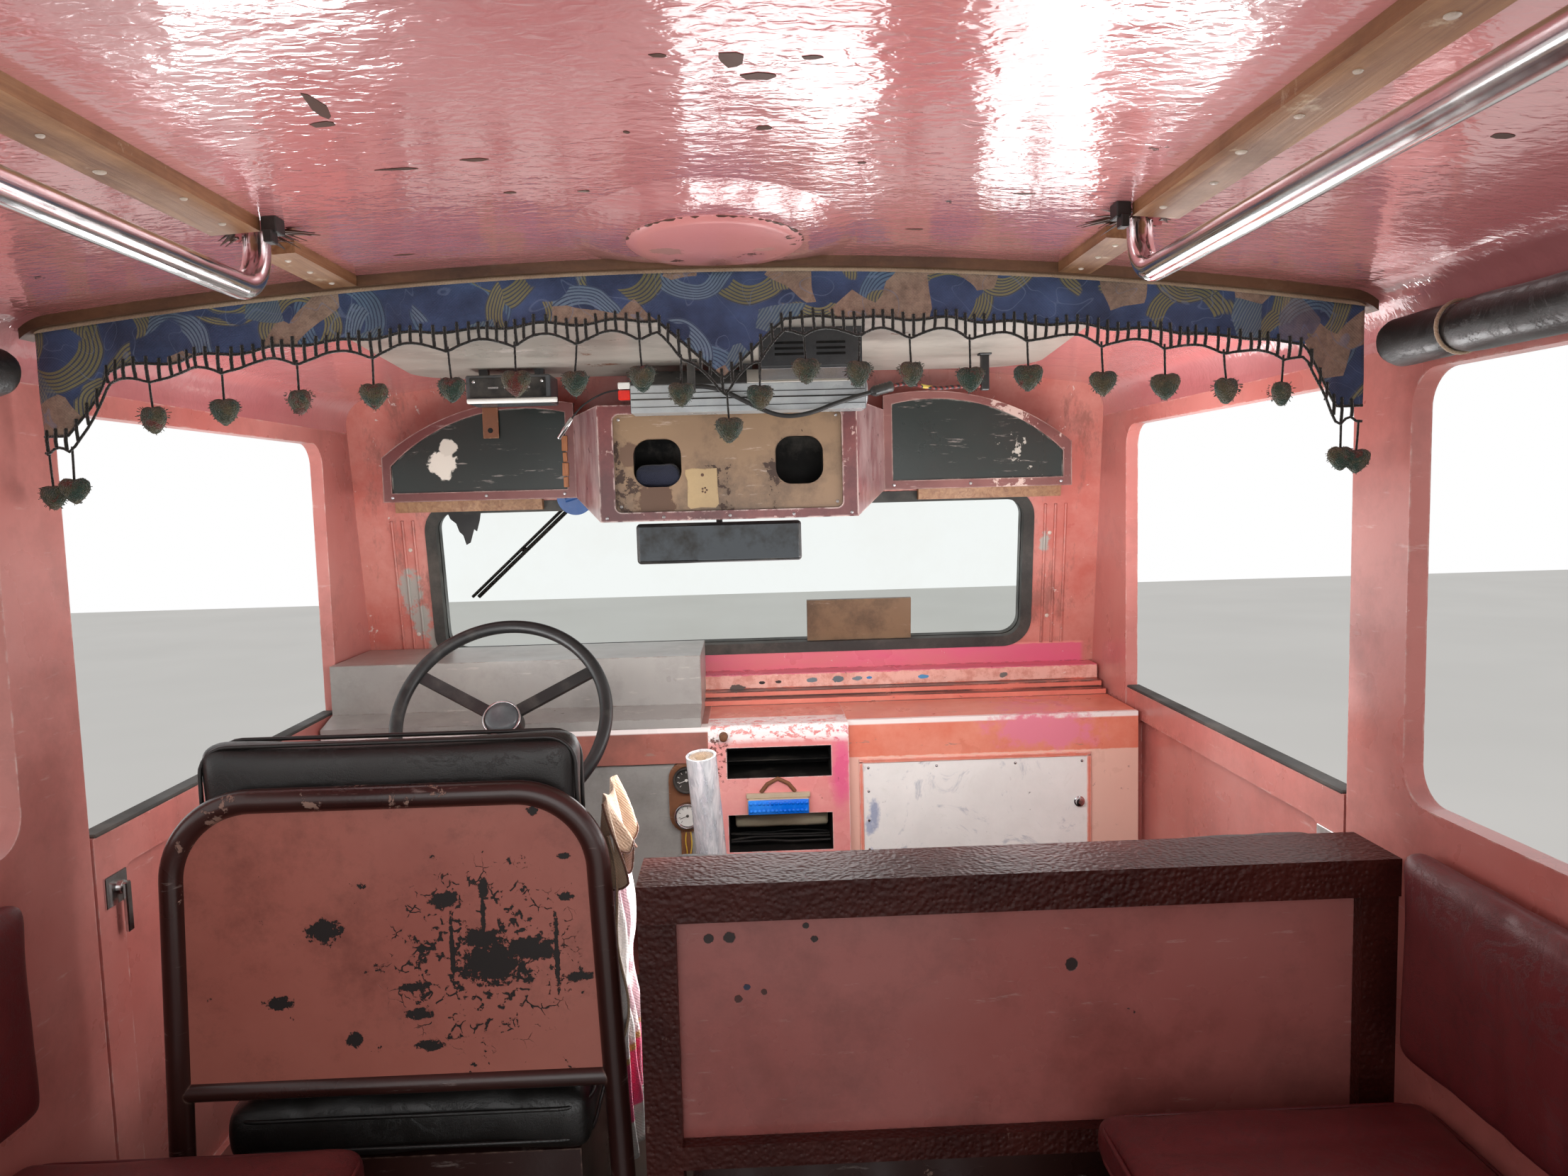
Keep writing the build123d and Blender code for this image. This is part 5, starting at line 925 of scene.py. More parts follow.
def make_hearts():
    """Small stuffed hearts on strings below the crocheted edge."""
    points, faces, strings, hairs = [], [], [], []
    spots = [(x, hem_z(x)) for x in HEARTS_AT] + [(-0.786, TAIL_Z - 0.004), (0.786, TAIL_Z - 0.004)]
    for x, z in spots:
        drop = dice.uniform(0.041, 0.049)
        sway = dice.uniform(-0.004, 0.004)
        size = dice.uniform(0.0152, 0.0172)
        y = valance_y(x, 1.0)
        centre = (x + sway, y, z - FRINGE_H - drop)
        heart_mesh(centre, size, dice.uniform(-0.7, 0.7), points, faces)
        for k in range(90):
            out = Vector((dice.gauss(0, 1), dice.gauss(0, 1), dice.gauss(0, 1))).normalized()
            root = Vector(centre) + Vector((out.x, out.y * 0.66, out.z * 0.8 + 0.5 * abs(out.x) - 0.28)) * size * 0.96
            bend = Vector((dice.uniform(-1, 1), dice.uniform(-1, 1), dice.uniform(-1, 0.4))) * 0.0012
            hairs.append([root, root + out * 0.0014 + bend * 0.5, root + out * 0.0028 + bend])
        strings.append([(x, y, z - FRINGE_H + 0.002), (x + sway * 0.4, y, z - FRINGE_H - drop * 0.4),
                        (x + sway, y, centre[2] + size * 0.5)])
    hearts = mesh_piece("stuffed_hearts", points, faces, "heart")
    return [hearts, line_piece("heart_strings", strings, 0.0014, "yarn", sides=1),
            line_piece("heart_fluff", hairs, 0.0004, "heart", sides=0)]


make_valance()


# Seats
def make_seats():
    """Pads and cushions with welts, in the space of their solids."""
    driver = ((-0.655, -0.147, 0.473), (-0.185, -0.081, 0.930))
    pad = pad_piece("driver_pad", *driver, "vinyl", up=1, radius=0.026, crown=0.008, pinch=0.004, channels=5,
                    wrinkle=0.0016)
    pad_piece("passenger_pad", (-0.085, -0.105, 0.503), (0.793, -0.050, 0.749), "vinyl", up=1, radius=0.02,
              crown=0.008, pinch=0.004, channels=9, wrinkle=0.0015)
    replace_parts(pad, "cab_seat_pads")
    welts = [ring_path(*driver, y, 1, 0.035, 0.004) for y in (-0.137, -0.095)]
    cushions = []
    for name, low, high, channels in (
        ("driver_cushion", (-0.655, -0.147, 0.380), (-0.185, 0.283, 0.470), 5),
        ("passenger_cushion", (-0.085, -0.105, 0.410), (0.793, 0.325, 0.500), 9),
    ):
        cushions.append(pad_piece(name, low, high, "vinyl", channels=channels))
        welts += [ring_path(low, high, z, 2, 0.04, 0.004) for z in (low[2] + 0.022, high[2] - 0.026)]
    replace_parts(cushions[0], "cab_seat_cushions")
    benches = []
    rear, front = -0.977, -0.265
    for side, mark in SIDES:
        xs = sorted([mark * 0.420, mark * 0.817])
        low, high = (xs[0], rear, 0.425), (xs[1], front, 0.500)
        benches.append(pad_piece("bench_cushion_" + side, low, high, "bench", radius=0.026, channels=8, along=1))
        welts += [ring_path(low, high, z, 2, 0.035, 0.004) for z in (0.445, 0.478)]
        xs = sorted([mark * 0.775, mark * 0.8197])
        low, high = (xs[0], rear, 0.540), (xs[1], front, 0.790)
        benches.append(pad_piece("bench_back_" + side, low, high, "bench", up=0, radius=0.018, crown=0.006,
                                 pinch=0.004, channels=8, along=1, flat_low=False, wrinkle=0.0012))
    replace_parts(benches[0], "bench_cushions")
    line_piece("seat_welts", welts[:6], 0.0028, "vinyl", closed=True)
    line_piece("bench_welts", welts[6:], 0.0028, "bench", closed=True)


def make_frill():
    """Gathered cover that hangs beside the driver's seat, with a ruffle over it."""
    def skirt(u, v):
        y = -0.147 + 0.150 * u
        fold = math.sin(u * 24.0 + 2.5 * math.sin(v * 5.0)) * (0.006 + 0.007 * v)
        lean = noise.noise(Vector((u * 3.0, v * 5.0, 1.0))) * 0.008
        return -0.151 + 0.008 * v + fold + lean, y + 0.005 * math.sin(v * 19.0 + u * 6.0), 0.800 - 0.440 * v

    def ruffle(u, v):
        y = -0.149 + 0.154 * u
        fold = math.sin(u * 17.0 + 2.0 * v + 1.2 * math.sin(u * 9.0)) * (0.003 + 0.017 * v)
        drop = 0.086 + 0.020 * math.sin(u * 13.0 + 1.0) + 0.010 * math.sin(u * 31.0)
        return -0.156 + 0.010 * v + fold, y, 0.842 + 0.006 * math.sin(u * 11.0) - drop * v

    lower = sheet_piece("cover_skirt", 90, 60, skirt, "skirt")
    upper = sheet_piece("cover_ruffle", 90, 14, ruffle, "ruffle")
    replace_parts(lower, "seat_frill")
    edge = line_piece("cover_edge", [[skirt(0.0, k / 60) for k in range(61)]], 0.0018, "ruffle")
    stitch = line_piece("ruffle_edge", [[ruffle(0.0, k / 14) for k in range(15)],
                                        [ruffle(k / 90, 1.0) for k in range(91)]], 0.0016, "stitch")


def make_curtains():
    """Rain curtains rolled up over the saloon windows, tied with straps."""
    rows, columns = 90, 28
    middle_x, middle_z, strap_r = 0.7887, 1.376, 0.0275
    straps_at = (-0.85, -0.60, -0.34)
    for side, mark in SIDES:
        points, faces, ties = [], [], []
        for i in range(rows + 1):
            y = -0.975 + 0.763 * i / rows
            near = min(i, rows - i)
            for j in range(columns):
                angle = 2 * math.pi * j / columns
                size = 0.0255 + 0.0042 * j / columns + 0.0015 * noise.noise(Vector((y * 14.0, angle, mark)))
                size *= (0.0, 0.55, 0.9)[near] if near < 3 else 1.0
                size *= 1 - 0.12 * max(math.exp(-((y - t) / 0.012) ** 2) for t in straps_at)
                points.append((mark * middle_x + mark * size * math.cos(angle), y, middle_z + size * math.sin(angle)))
        for i in range(rows):
            for j in range(columns):
                k = (j + 1) % columns
                faces.append((i * columns + j, i * columns + k, (i + 1) * columns + k, (i + 1) * columns + j))
        roll = mesh_piece("curtain_roll_" + side, points, faces, "vinyl")
        if mark < 0:
            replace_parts(roll, "rolled_curtains")
        for y in straps_at:
            ties.append([(mark * middle_x + strap_r * math.cos(a), y, middle_z + strap_r * math.sin(a))
                         for a in (2 * math.pi * k / 24 for k in range(24))])
        line_piece("curtain_straps_" + side, ties, 0.0022, "ruffle", closed=True, sides=1)


make_seats()
make_frill()
make_curtains()


# Small fittings
def hull(points):
    """Points and faces of the closed convex solid round some points."""
    shell = bmesh.new()
    for point in points:
        shell.verts.new(point)
    bmesh.ops.convex_hull(shell, input=shell.verts)
    bmesh.ops.delete(shell, geom=[v for v in shell.verts if not v.link_faces], context="VERTS")
    shell.verts.index_update()
    made = [v.co.copy() for v in shell.verts], [[v.index for v in f.verts] for f in shell.faces]
    shell.free()
    return made


class Build:
    """Collects closed solids for one piece."""

    def __init__(self):
        self.points, self.faces = [], []

    def add(self, points, faces):
        start = len(self.points)
        self.points += [Vector(p) for p in points]
        self.faces += [tuple(start + k for k in face) for face in faces]
        return self

    def box(self, low, high, edge=0.0008, tilt=None):
        """Box with chamfered edges. Tilt is an axis and degrees, about the box's middle."""
        low, high = Vector(map(min, low, high)), Vector(map(max, low, high))
        middle = (low + high) / 2
        spin = Matrix.Rotation(math.radians(tilt[1]), 3, tilt[0]) if tilt else Matrix.Identity(3)
        corners = []
        for k in range(8):
            signs = [1 if k >> i & 1 else -1 for i in range(3)]
            corner = Vector([high[i] if signs[i] > 0 else low[i] for i in range(3)])
            for axis in range(3):
                moved = Vector([corner[i] - (0 if i == axis else signs[i] * edge) for i in range(3)])
                corners.append(middle + spin @ (moved - middle))
        return self.add(*hull(corners))

    def turned(self, start, axis, profile, sides=20):
        """Solid turned about an axis, from distances along it and radii."""
        start, axis = Vector(start), Vector(axis).normalized()
        a = axis.orthogonal().normalized()
        b = axis.cross(a)
        points, faces = [], []
        for along, radius in profile:
            for k in range(sides):
                angle = 2 * math.pi * k / sides
                points.append(start + axis * along + (a * math.cos(angle) + b * math.sin(angle)) * radius)
        for i in range(len(profile) - 1):
            for k in range(sides):
                n = (k + 1) % sides
                faces.append((i * sides + k, i * sides + n, (i + 1) * sides + n, (i + 1) * sides + k))
        faces.append(tuple(range(sides))[::-1])
        faces.append(tuple((len(profile) - 1) * sides + k for k in range(sides)))
        return self.add(points, faces)

    def screw(self, at, axis, radius=0.004):
        """Domed head."""
        return self.turned(at, axis, [(-0.001, radius), (0.0006, radius), (0.0016, radius * 0.7),
                                      (0.002, radius * 0.15)], 12)

    def slab(self, outline, y_low, y_high):
        """Flat plate across the vehicle from its outline in X and Z."""
        count = len(outline)
        points = [(x, y, z) for y in (y_low, y_high) for x, z in outline]
        faces = [tuple(range(count)), tuple(range(count, 2 * count))[::-1]]
        faces += [(k, k + count, (k + 1) % count + count, (k + 1) % count) for k in range(count)]
        return self.add(points, faces)

    def shade_lining(self, low, high, thick, back):
        """Thin walls round a hole that is open behind, and its front wall."""
        edge = 0.0002
        self.box(low, (high[0], high[1], low[2] + thick), edge)
        self.box((low[0], low[1], high[2] - thick), high, edge)
        self.box(low, (low[0] + thick, high[1], high[2]), edge)
        self.box((high[0] - thick, low[1], low[2]), high, edge)
        return self.box((low[0], high[1] - back, low[2]), high, edge)

    def piece(self, name, look, body="cab", smooth=False):
        """Makes the piece, with its faces turned outwards."""
        made = mesh_piece(name, self.points, self.faces, look, body, smooth)
        shell = bmesh.new()
        shell.from_mesh(made.data)
        bmesh.ops.recalc_face_normals(shell, faces=shell.faces)
        shell.to_mesh(made.data)
        shell.free()
        return made


def speckled(name, main, tone, gloss):
    """Hammered enamel with small bright bumps."""
    s = Surface(name, gloss, Specular_IOR_Level=0.25)
    lumps = s.node("TexVoronoi", {"Vector": s.place, "Scale": 170.0}, "Distance", feature="SMOOTH_F1")
    colour = s.mix(s.speckle(0.4, 0.65, 5.0, 8.0, 0.7), main, tone)
    flaw = s.speckle(0.66, 0.68, 26.0, 9.0, 0.72)
    colour = s.mix(s.times(flaw, 0.7), colour, "7E6258")
    return s.finish(colour, s.plus(lumps, s.times(s.noise(60.0, 4.0), 0.8)), 0.0022, 0.8)


looks.update({
    "hammered": speckled("partition_frame_enamel", "34100C", "481E18", 0.42),
    # Appliance grey also paints the shaded left half of the player's top.
    "appliance": plastic("appliance_grey_and_painted_shade", "3A3C3E", "4A4C4E", 0.22, 500.0, 0.2),
    # Near black: painted shade inside holes, slots, grooves and gaps, and also the lamp box's own black front.
    "dark": plastic("black_and_painted_shade", "0B0B0B", "161412", 0.8, 200.0, 0.3),
    # White plastic also paints the highlighted right half of the player's top.
    "white": plastic("white_plastic_and_painted_highlight", "CFCDC8", "DAD8D2", 0.4, 500.0, 0.2),
    "red": plastic("red_lens", "B81A12", "D42A1A", 0.2, 500.0, 0.1),
    "yellow": plastic("yellow_plastic", "C9A21E", "D8B437", 0.4, 500.0, 0.2),
    "lens": plastic("blue_lens", "0A6CE0", "3C9CFF", 0.12, 120.0, 0.02),
    "chrome": steel("bezel_chrome", "D6D6D8", "9A948C", 0.12, "Z"),
    "rust": paint("rusty_strap", "6A4028", "7E5236", "A48A70", 0.4, 0.4, 0.7, 0.5, 40.0),
    "splinter": wood("torn_lining", "5A3A2C", "2E1C16", "X"),
    # Mirror in dark grey instead of bright silver: a painted dark reflection.
    "mirror": steel("mirror_painted_dark_reflection", "3A3C3E", "26221E", 0.04, "X"),
    "rag": cloth("navy_rag", "14182A", "1E2438"),
    "nail": paint("nail_heads", "C9BBAA", "D6CCC0", "6A5040", 0.3, 0.0, 0.4, 0.3, 60.0),
    # Dark brown flakes, also used for the painted shadow along the cover's rear rim.
    "flake_and_shadow": paint("flaked_spots_and_rim_shadow", "3E2218", "52301F", "24140E", 0.3, 0.0, 0.7, 0.4, 60.0),
    "duct": plastic("beige_duct", "A89C84", "BCB098", 0.5, 200.0, 0.5),
    "hose": plastic("black_hose", "101010", "1C1A18", 0.5, 300.0, 0.3),
})
dress("hammered", "partition_frame")
dress("appliance", "overhead_units")


def make_lead_fittings():
    """Clips under the tray, ribbed connector, and the silver sleeve of the spare lead."""
    cable_end, wires_start = (Vector((x, CABLE_Y, z)) for x, z in (CABLE[-1], WIRES[0]))
    ahead = (wires_start - cable_end).normalized()
    start = cable_end - ahead * 0.001
    profile = [(0.0, 0.0045), (0.003, 0.0075), (0.008, 0.0095)]
    for k in range(5):
        profile += [(0.009 + 0.005 * k, 0.0100), (0.0115 + 0.005 * k, 0.0088)]
    profile += [(0.036, 0.0098), (0.040, 0.0092), (0.043, 0.0045)]
    Build().turned(start, ahead, profile).piece("cable_connector", "black", smooth=True)
    clips = Build()
    for x, z in ((-0.064, 1.412), (0.452, 1.402)):
        clips.box((x, CABLE_Y - 0.007, z - 0.008), (x + 0.014, CABLE_Y + 0.007, 1.458), 0.0015)
        clips.box((x - 0.004, CABLE_Y - 0.011, 1.455), (x + 0.018, CABLE_Y + 0.011, 1.4585), 0.001)
    clips.box((-0.188, LEAD_Y - 0.006, 1.4055), (-0.166, LEAD_Y + 0.006, 1.4185), 0.0015)
    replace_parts(clips.piece("cable_clips", "black"), "lead_fittings")
    a, b = (Vector((x, LEAD_Y, z)) for x, z in LEAD[-2:])
    lean = (b - a).normalized()
    Build().turned(b - lean * 0.002, lean, [
        (0.0, 0.0018), (0.002, 0.0042), (0.030, 0.0044), (0.031, 0.0036), (0.043, 0.0036), (0.045, 0.0022),
    ]).piece("lead_sleeve", "chrome", smooth=True)


def make_cover():
    """Thin round cover over the middle of the roof, with a dark ragged line behind its rear edge that is the rim's
    painted shadow.
    """
    low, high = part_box("ceiling_cover")
    middle = Vector(((low[0] + high[0]) / 2, -0.27))
    half = (high[0] - low[0]) / 2
    deep = middle.y - low[1]
    face = low[2] + 0.010
    rings = [(0.0, 0.0), (0.5, 0.0), (0.85, 0.0), (0.97, 0.0005), (1.0, 0.003), (1.015, 0.0035)]
    rings += [(1.03 + 0.09 * k, 0.0035 + 0.0085 * (1 - math.cos(math.pi * k / 10)) / 2) for k in range(11)]
    points, faces = [], []
    sides = 72
    for layer in (0, 1):
        for share, up in rings:
            for k in range(sides):
                angle = 2 * math.pi * k / sides
                x = middle.x + half * share * math.cos(angle)
                y = min(middle.y + deep * share * math.sin(angle), -0.1745)
                roof = ceiling_z(x) + 0.001
                points.append((x, y, roof if layer else min(roof - 0.0002, face + up)))
    count = len(rings)
    for i in range(count - 1):
        for k in range(sides):
            n = (k + 1) % sides
            a, b = i * sides, (i + 1) * sides
            faces.append((a + k, a + n, b + n, b + k))
            a, b = a + count * sides, b + count * sides
            faces.append((a + k, b + k, b + n, a + n))
    for k in range(sides):
        n = (k + 1) % sides
        a, b = (count - 1) * sides, (2 * count - 1) * sides
        faces.append((a + k, a + n, b + n, b + k))
    made = Build().add(points, faces).piece("roof_cover", "cover", smooth=True)
    made.data.materials.append(looks["ceiling"])
    for flat in made.data.polygons:
        away = flat.center.to_2d() - middle
        flat.material_index = 1 if (away.x / half) ** 2 + (away.y / deep) ** 2 > 1.03 else 0
    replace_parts(made, "ceiling_cover")
    # Dark ragged line round the rear half of the rim: painted shadow of the rim.
    crack = []
    for k in range(60):
        angle = math.radians(185 + 170 * k / 59)
        share = 1.005 + dice.uniform(-0.006, 0.006)
        crack.append((middle.x + half * share * math.cos(angle), middle.y + deep * share * math.sin(angle),
                      face + 0.0052 + dice.uniform(-0.0012, 0.0012)))
    line_piece("cover_rim_shadow", [crack], 0.0024, "flake_and_shadow", sides=1)


looks["cover"] = paint("cover_enamel", "C67C7C", "CE8884", "4A2A20", 0.34, 0.3, 0.3, 0.2, 34.0, 0.3, [
    ((0.060, -0.25, 1.478), 0.016, "B48078"), ((-0.045, -0.25, 1.478), 0.018, "A87870"),
])
make_cover()
make_lead_fittings()
make_leads()


def make_ceiling_details():
    """Nails in the battens, flaked spots, and the torn lining round the ends of the rails."""
    nails = Build()
    for side in (-1, 1):
        for k in range(7):
            x, y = side * (RAIL_X + dice.uniform(-0.012, 0.012)), -0.93 + 0.078 * k
            nails.screw((x, y, ceiling_z(x) - 0.0119), DOWN, dice.uniform(0.003, 0.0048))
        for y in (-0.315, -0.26, -0.20):
            nails.screw((side * RAIL_X, y, ceiling_z(RAIL_X) - 0.0119), DOWN, 0.0032)
    nails.piece("batten_nails", "nail")
    flakes = Build()
    for x, y, wide, long in (
        (0.032, -0.734, 0.010, 0.012), (0.052, -0.706, 0.013, 0.006), (0.085, -0.737, 0.007, 0.004),
        (-0.014, -0.742, 0.006, 0.004), (0.056, -0.605, 0.006, 0.005), (-0.255, -0.678, 0.006, 0.022),
        (-0.264, -0.644, 0.010, 0.006), (-0.18, -0.548, 0.012, 0.004), (-0.106, -0.448, 0.006, 0.004),
        (-0.172, -0.453, 0.007, 0.004), (-0.246, -0.535, 0.018, 0.003), (0.30, -0.44, 0.012, 0.003),
        (-0.61, -0.55, 0.014, 0.005), (0.60, -0.66, 0.012, 0.006), (0.22, -0.30, 0.01, 0.003),
        (-0.33, -0.25, 0.012, 0.003), (0.14, -0.52, 0.004, 0.003), (-0.05, -0.60, 0.003, 0.003),
    ):
        rim = []
        for k in range(11):
            angle = 2 * math.pi * k / 11
            size = dice.uniform(0.55, 1.15)
            px, py = x + wide * size * math.cos(angle), y + long * size * math.sin(angle)
            rim += [(px, py, ceiling_z(px) - 0.0006), (px, py, ceiling_z(px) + 0.001)]
        flakes.add(*hull(rim))
    flakes.piece("ceiling_flakes", "flake_and_shadow")
    shards = Build()
    for side in (-1, 1):
        for k in range(26):
            angle = math.radians(dice.uniform(100, 260) if k < 17 else dice.uniform(-80, 80))
            reach = dice.uniform(0.030, 0.062) if k < 17 else dice.uniform(0.024, 0.036)
            root = Vector((side * (RAIL_X + 0.020 * math.cos(angle)), RAIL_END_Y + 0.026 * math.sin(angle), 0))
            tip = Vector((side * (RAIL_X + reach * math.cos(angle)), RAIL_END_Y + reach * 0.8 * math.sin(angle), 0))
            root.z = ceiling_z(abs(root.x)) - dice.uniform(0.0, 0.004)
            tip.z = ceiling_z(abs(tip.x)) - dice.uniform(0.002, 0.013)
            across = (tip - root).cross(Vector((0, 0, 1))).normalized() * dice.uniform(0.002, 0.006)
            thick = Vector((0, 0, dice.uniform(0.001, 0.002)))
            shards.add(*hull([root + across, root - across, root + across + thick, root - across + thick,
                              tip, tip + thick * 0.5 + across * 0.15]))
    shards.piece("torn_splinters", "splinter")
    clips = Build()
    for side in (-1, 1):
        x = side * 0.398
        clips.box((x - 0.007, -0.432, ceiling_z(0.40) - 0.014), (x + 0.007, -0.412, ceiling_z(0.40) + 0.001), 0.001)
        clips.box((x - 0.004, -0.436, ceiling_z(0.40) - 0.024), (x + 0.004, -0.422, ceiling_z(0.40) - 0.012), 0.001)
    clips.piece("rail_clips", "black")


def make_header_details():
    """Patch and screws on the speaker board, rag in a hole, bracket with a hole of painted shade, torn visor, player,
    and the mirror's face, painted dark as its reflection.
    """
    patch = [(-0.078, 1.270), (-0.066, 1.273), (-0.045, 1.271), (-0.020, 1.272), (-0.0195, 1.236), (-0.018, 1.206),
             (-0.024, 1.199), (-0.050, 1.2005), (-0.070, 1.198), (-0.076, 1.203), (-0.0745, 1.25), (-0.079, 1.262)]
    Build().slab(patch, 0.5262, 0.5275).piece("board_patch", "patch")
    marks = Build()
    for angle in range(0, 360, 72):
        x, z = -0.044 + 0.0042 * math.cos(math.radians(angle)), 1.232 + 0.0042 * math.sin(math.radians(angle))
        marks.turned((x, 0.5266, z), BACK, [(0.0, 0.0024), (0.0009, 0.0016)], 8)
    marks.turned((-0.047, 0.5266, 1.260), BACK, [(0.0, 0.0032), (0.0006, 0.003)], 12)
    marks.piece("board_marks", "flake_and_shadow")
    screws = Build()
    for x in (-0.224, -0.12, 0.002, 0.12, 0.228):
        screws.screw((x, 0.520, 1.1845), BACK, 0.003)
    for x in (-0.198, 0.202):
        for z in (1.205, 1.364):
            screws.screw((x, 0.527, z), BACK, 0.003)
    for x in (-0.69, -0.50, -0.34, 0.34, 0.50, 0.69):
        screws.screw((x, WING_Y, WING_LOW + 0.009), BACK, 0.0035)
    screws.piece("header_screws", "trim")
    pad_piece("speaker_rag", (-0.172, 0.541, 1.236), (-0.086, 0.575, 1.285), "rag", radius=0.012, crown=0.006,
              pinch=0.004, wrinkle=0.006, cell=0.006, fill=0.3)
    strap = Build().box((-0.500, 0.7575, 1.350), (-0.468, WING_Y, 1.414), 0.0006)
    strap.box((-0.500, 0.7575, 1.4115), (-0.468, 0.775, 1.4140), 0.0006).piece("roof_strap", "rust")
    # Black disc on the strap: painted shade of a hole.
    Build().turned((-0.485, 0.7576, 1.366), BACK, [(0.0, 0.0055), (0.0005, 0.0052)], 16).piece(
        "strap_hole_shade", "dark")
    torn = [(-0.620, 1.206), (-0.545, 1.204), (-0.549, 1.182), (-0.556, 1.158), (-0.562, 1.163), (-0.571, 1.134),
            (-0.580, 1.129), (-0.586, 1.150), (-0.594, 1.158), (-0.600, 1.176), (-0.612, 1.186)]
    Build().slab(torn, 0.8905, 0.8925).piece("torn_visor", "hose")
    make_player()
    for name, look, z_low, z_high, edge in (
        ("player_end_cap", "white", 1.4120, 1.4235, 0.0012), ("player_end_lens", "red", 1.3930, 1.4100, 0.0015),
    ):
        Build().box((-0.187, 0.4495, z_low), (-0.1655, 0.468, z_high), edge).piece(name, look)
    Build().turned((-0.457, 0.4770, 1.3990), RIGHT, [
        (0.0, 0.0036), (0.001, 0.0046), (0.158, 0.0046), (0.159, 0.0036)], 16).piece("lamp_strip", "white", smooth=True)
    Build().box((-0.452, 0.4785, 1.4060), (-0.318, 0.4802, 1.4395), 0.0006).piece("lamp_box_front", "dark")
    marks = Build()
    for x in (-0.445, -0.325):
        marks.screw((x, 0.4785, 1.4330), BACK, 0.003)
    for k in range(3):
        marks.box((-0.42 + 0.028 * k, 0.4778, 1.4205), (-0.402 + 0.028 * k, 0.4788, 1.4240), 0.0004)
    marks.piece("lamp_box_marks", "chrome")
    # Black strips on the vent box: painted shade of its slots.
    slot_shade = Build()
    for x in (0.080, 0.140):
        for k in range(3):
            slot_shade.box((x, 0.0992, 1.4185 + 0.008 * k), (x + 0.042, 0.1002, 1.4220 + 0.008 * k), 0.0003)
    slot_shade.piece("vent_slot_shade", "dark")
    # Mirror face, painted dark: painted reflection.
    Build().box((-0.169, 0.5468, 1.1015), (0.129, 0.5484, 1.1665), 0.0008).piece("mirror_plate", "mirror")


def make_player():
    """Silver shell of the player bar with black strips of painted shade in its grooves, and its top painted dark grey
    on the left as shade and white on the right as a highlight.
    """
    shell = Build().box((-0.165, 0.4486, 1.3694), (0.249, 0.4504, 1.4170), 0.0006)
    shell.box((-0.165, 0.4486, 1.3692), (0.249, 0.519, 1.3702), 0.0003)
    shell.turned((0.2495, 0.485, 1.4), RIGHT, [(0.0, 0.024), (0.004, 0.023), (0.006, 0.018)], 24)
    shell.piece("player_shell", "silver_case")
    # Black strips: painted shade in the bar's grooves.
    groove_shade = Build()
    for z, deep in ((1.3925, 0.0012), (1.4030, 0.0006), (1.3790, 0.0005)):
        groove_shade.box((-0.1645, 0.4478, z - deep), (0.2485, 0.4490, z + deep), 0.0002)
    groove_shade.piece("player_groove_shade", "dark")
    # Top in two halves: the dark grey left half is painted shade, and the white right half is a painted highlight.
    for name, left, right, look in (
        ("player_top_painted_shade", -0.165, 0.038, "appliance"), ("player_top_painted_highlight", 0.040, 0.236, "white"),
    ):
        rise = [(x, 0.4490 + 0.0505 * k, 1.4172 + 0.0283 * k + up)
                for x in (left, right) for k in (0, 1) for up in (0.0, 0.0012)]
        Build().add(*hull([Vector(p) for p in rise])).piece(name, look)
    # Black walls round the speaker holes: painted shade inside the header box.
    shade_lining = Build()
    for x in (-0.129, 0.133):
        shade_lining.shade_lining((x - 0.047, 0.5362, 1.2365), (x + 0.047, 0.600, 1.3305), 0.001, 0.002)
    shade_lining.piece("speaker_hole_shade", "dark")


looks["silver_case"] = plastic("silver_case", "8A8E90", "9EA2A2", 0.28, 500.0, 0.25)


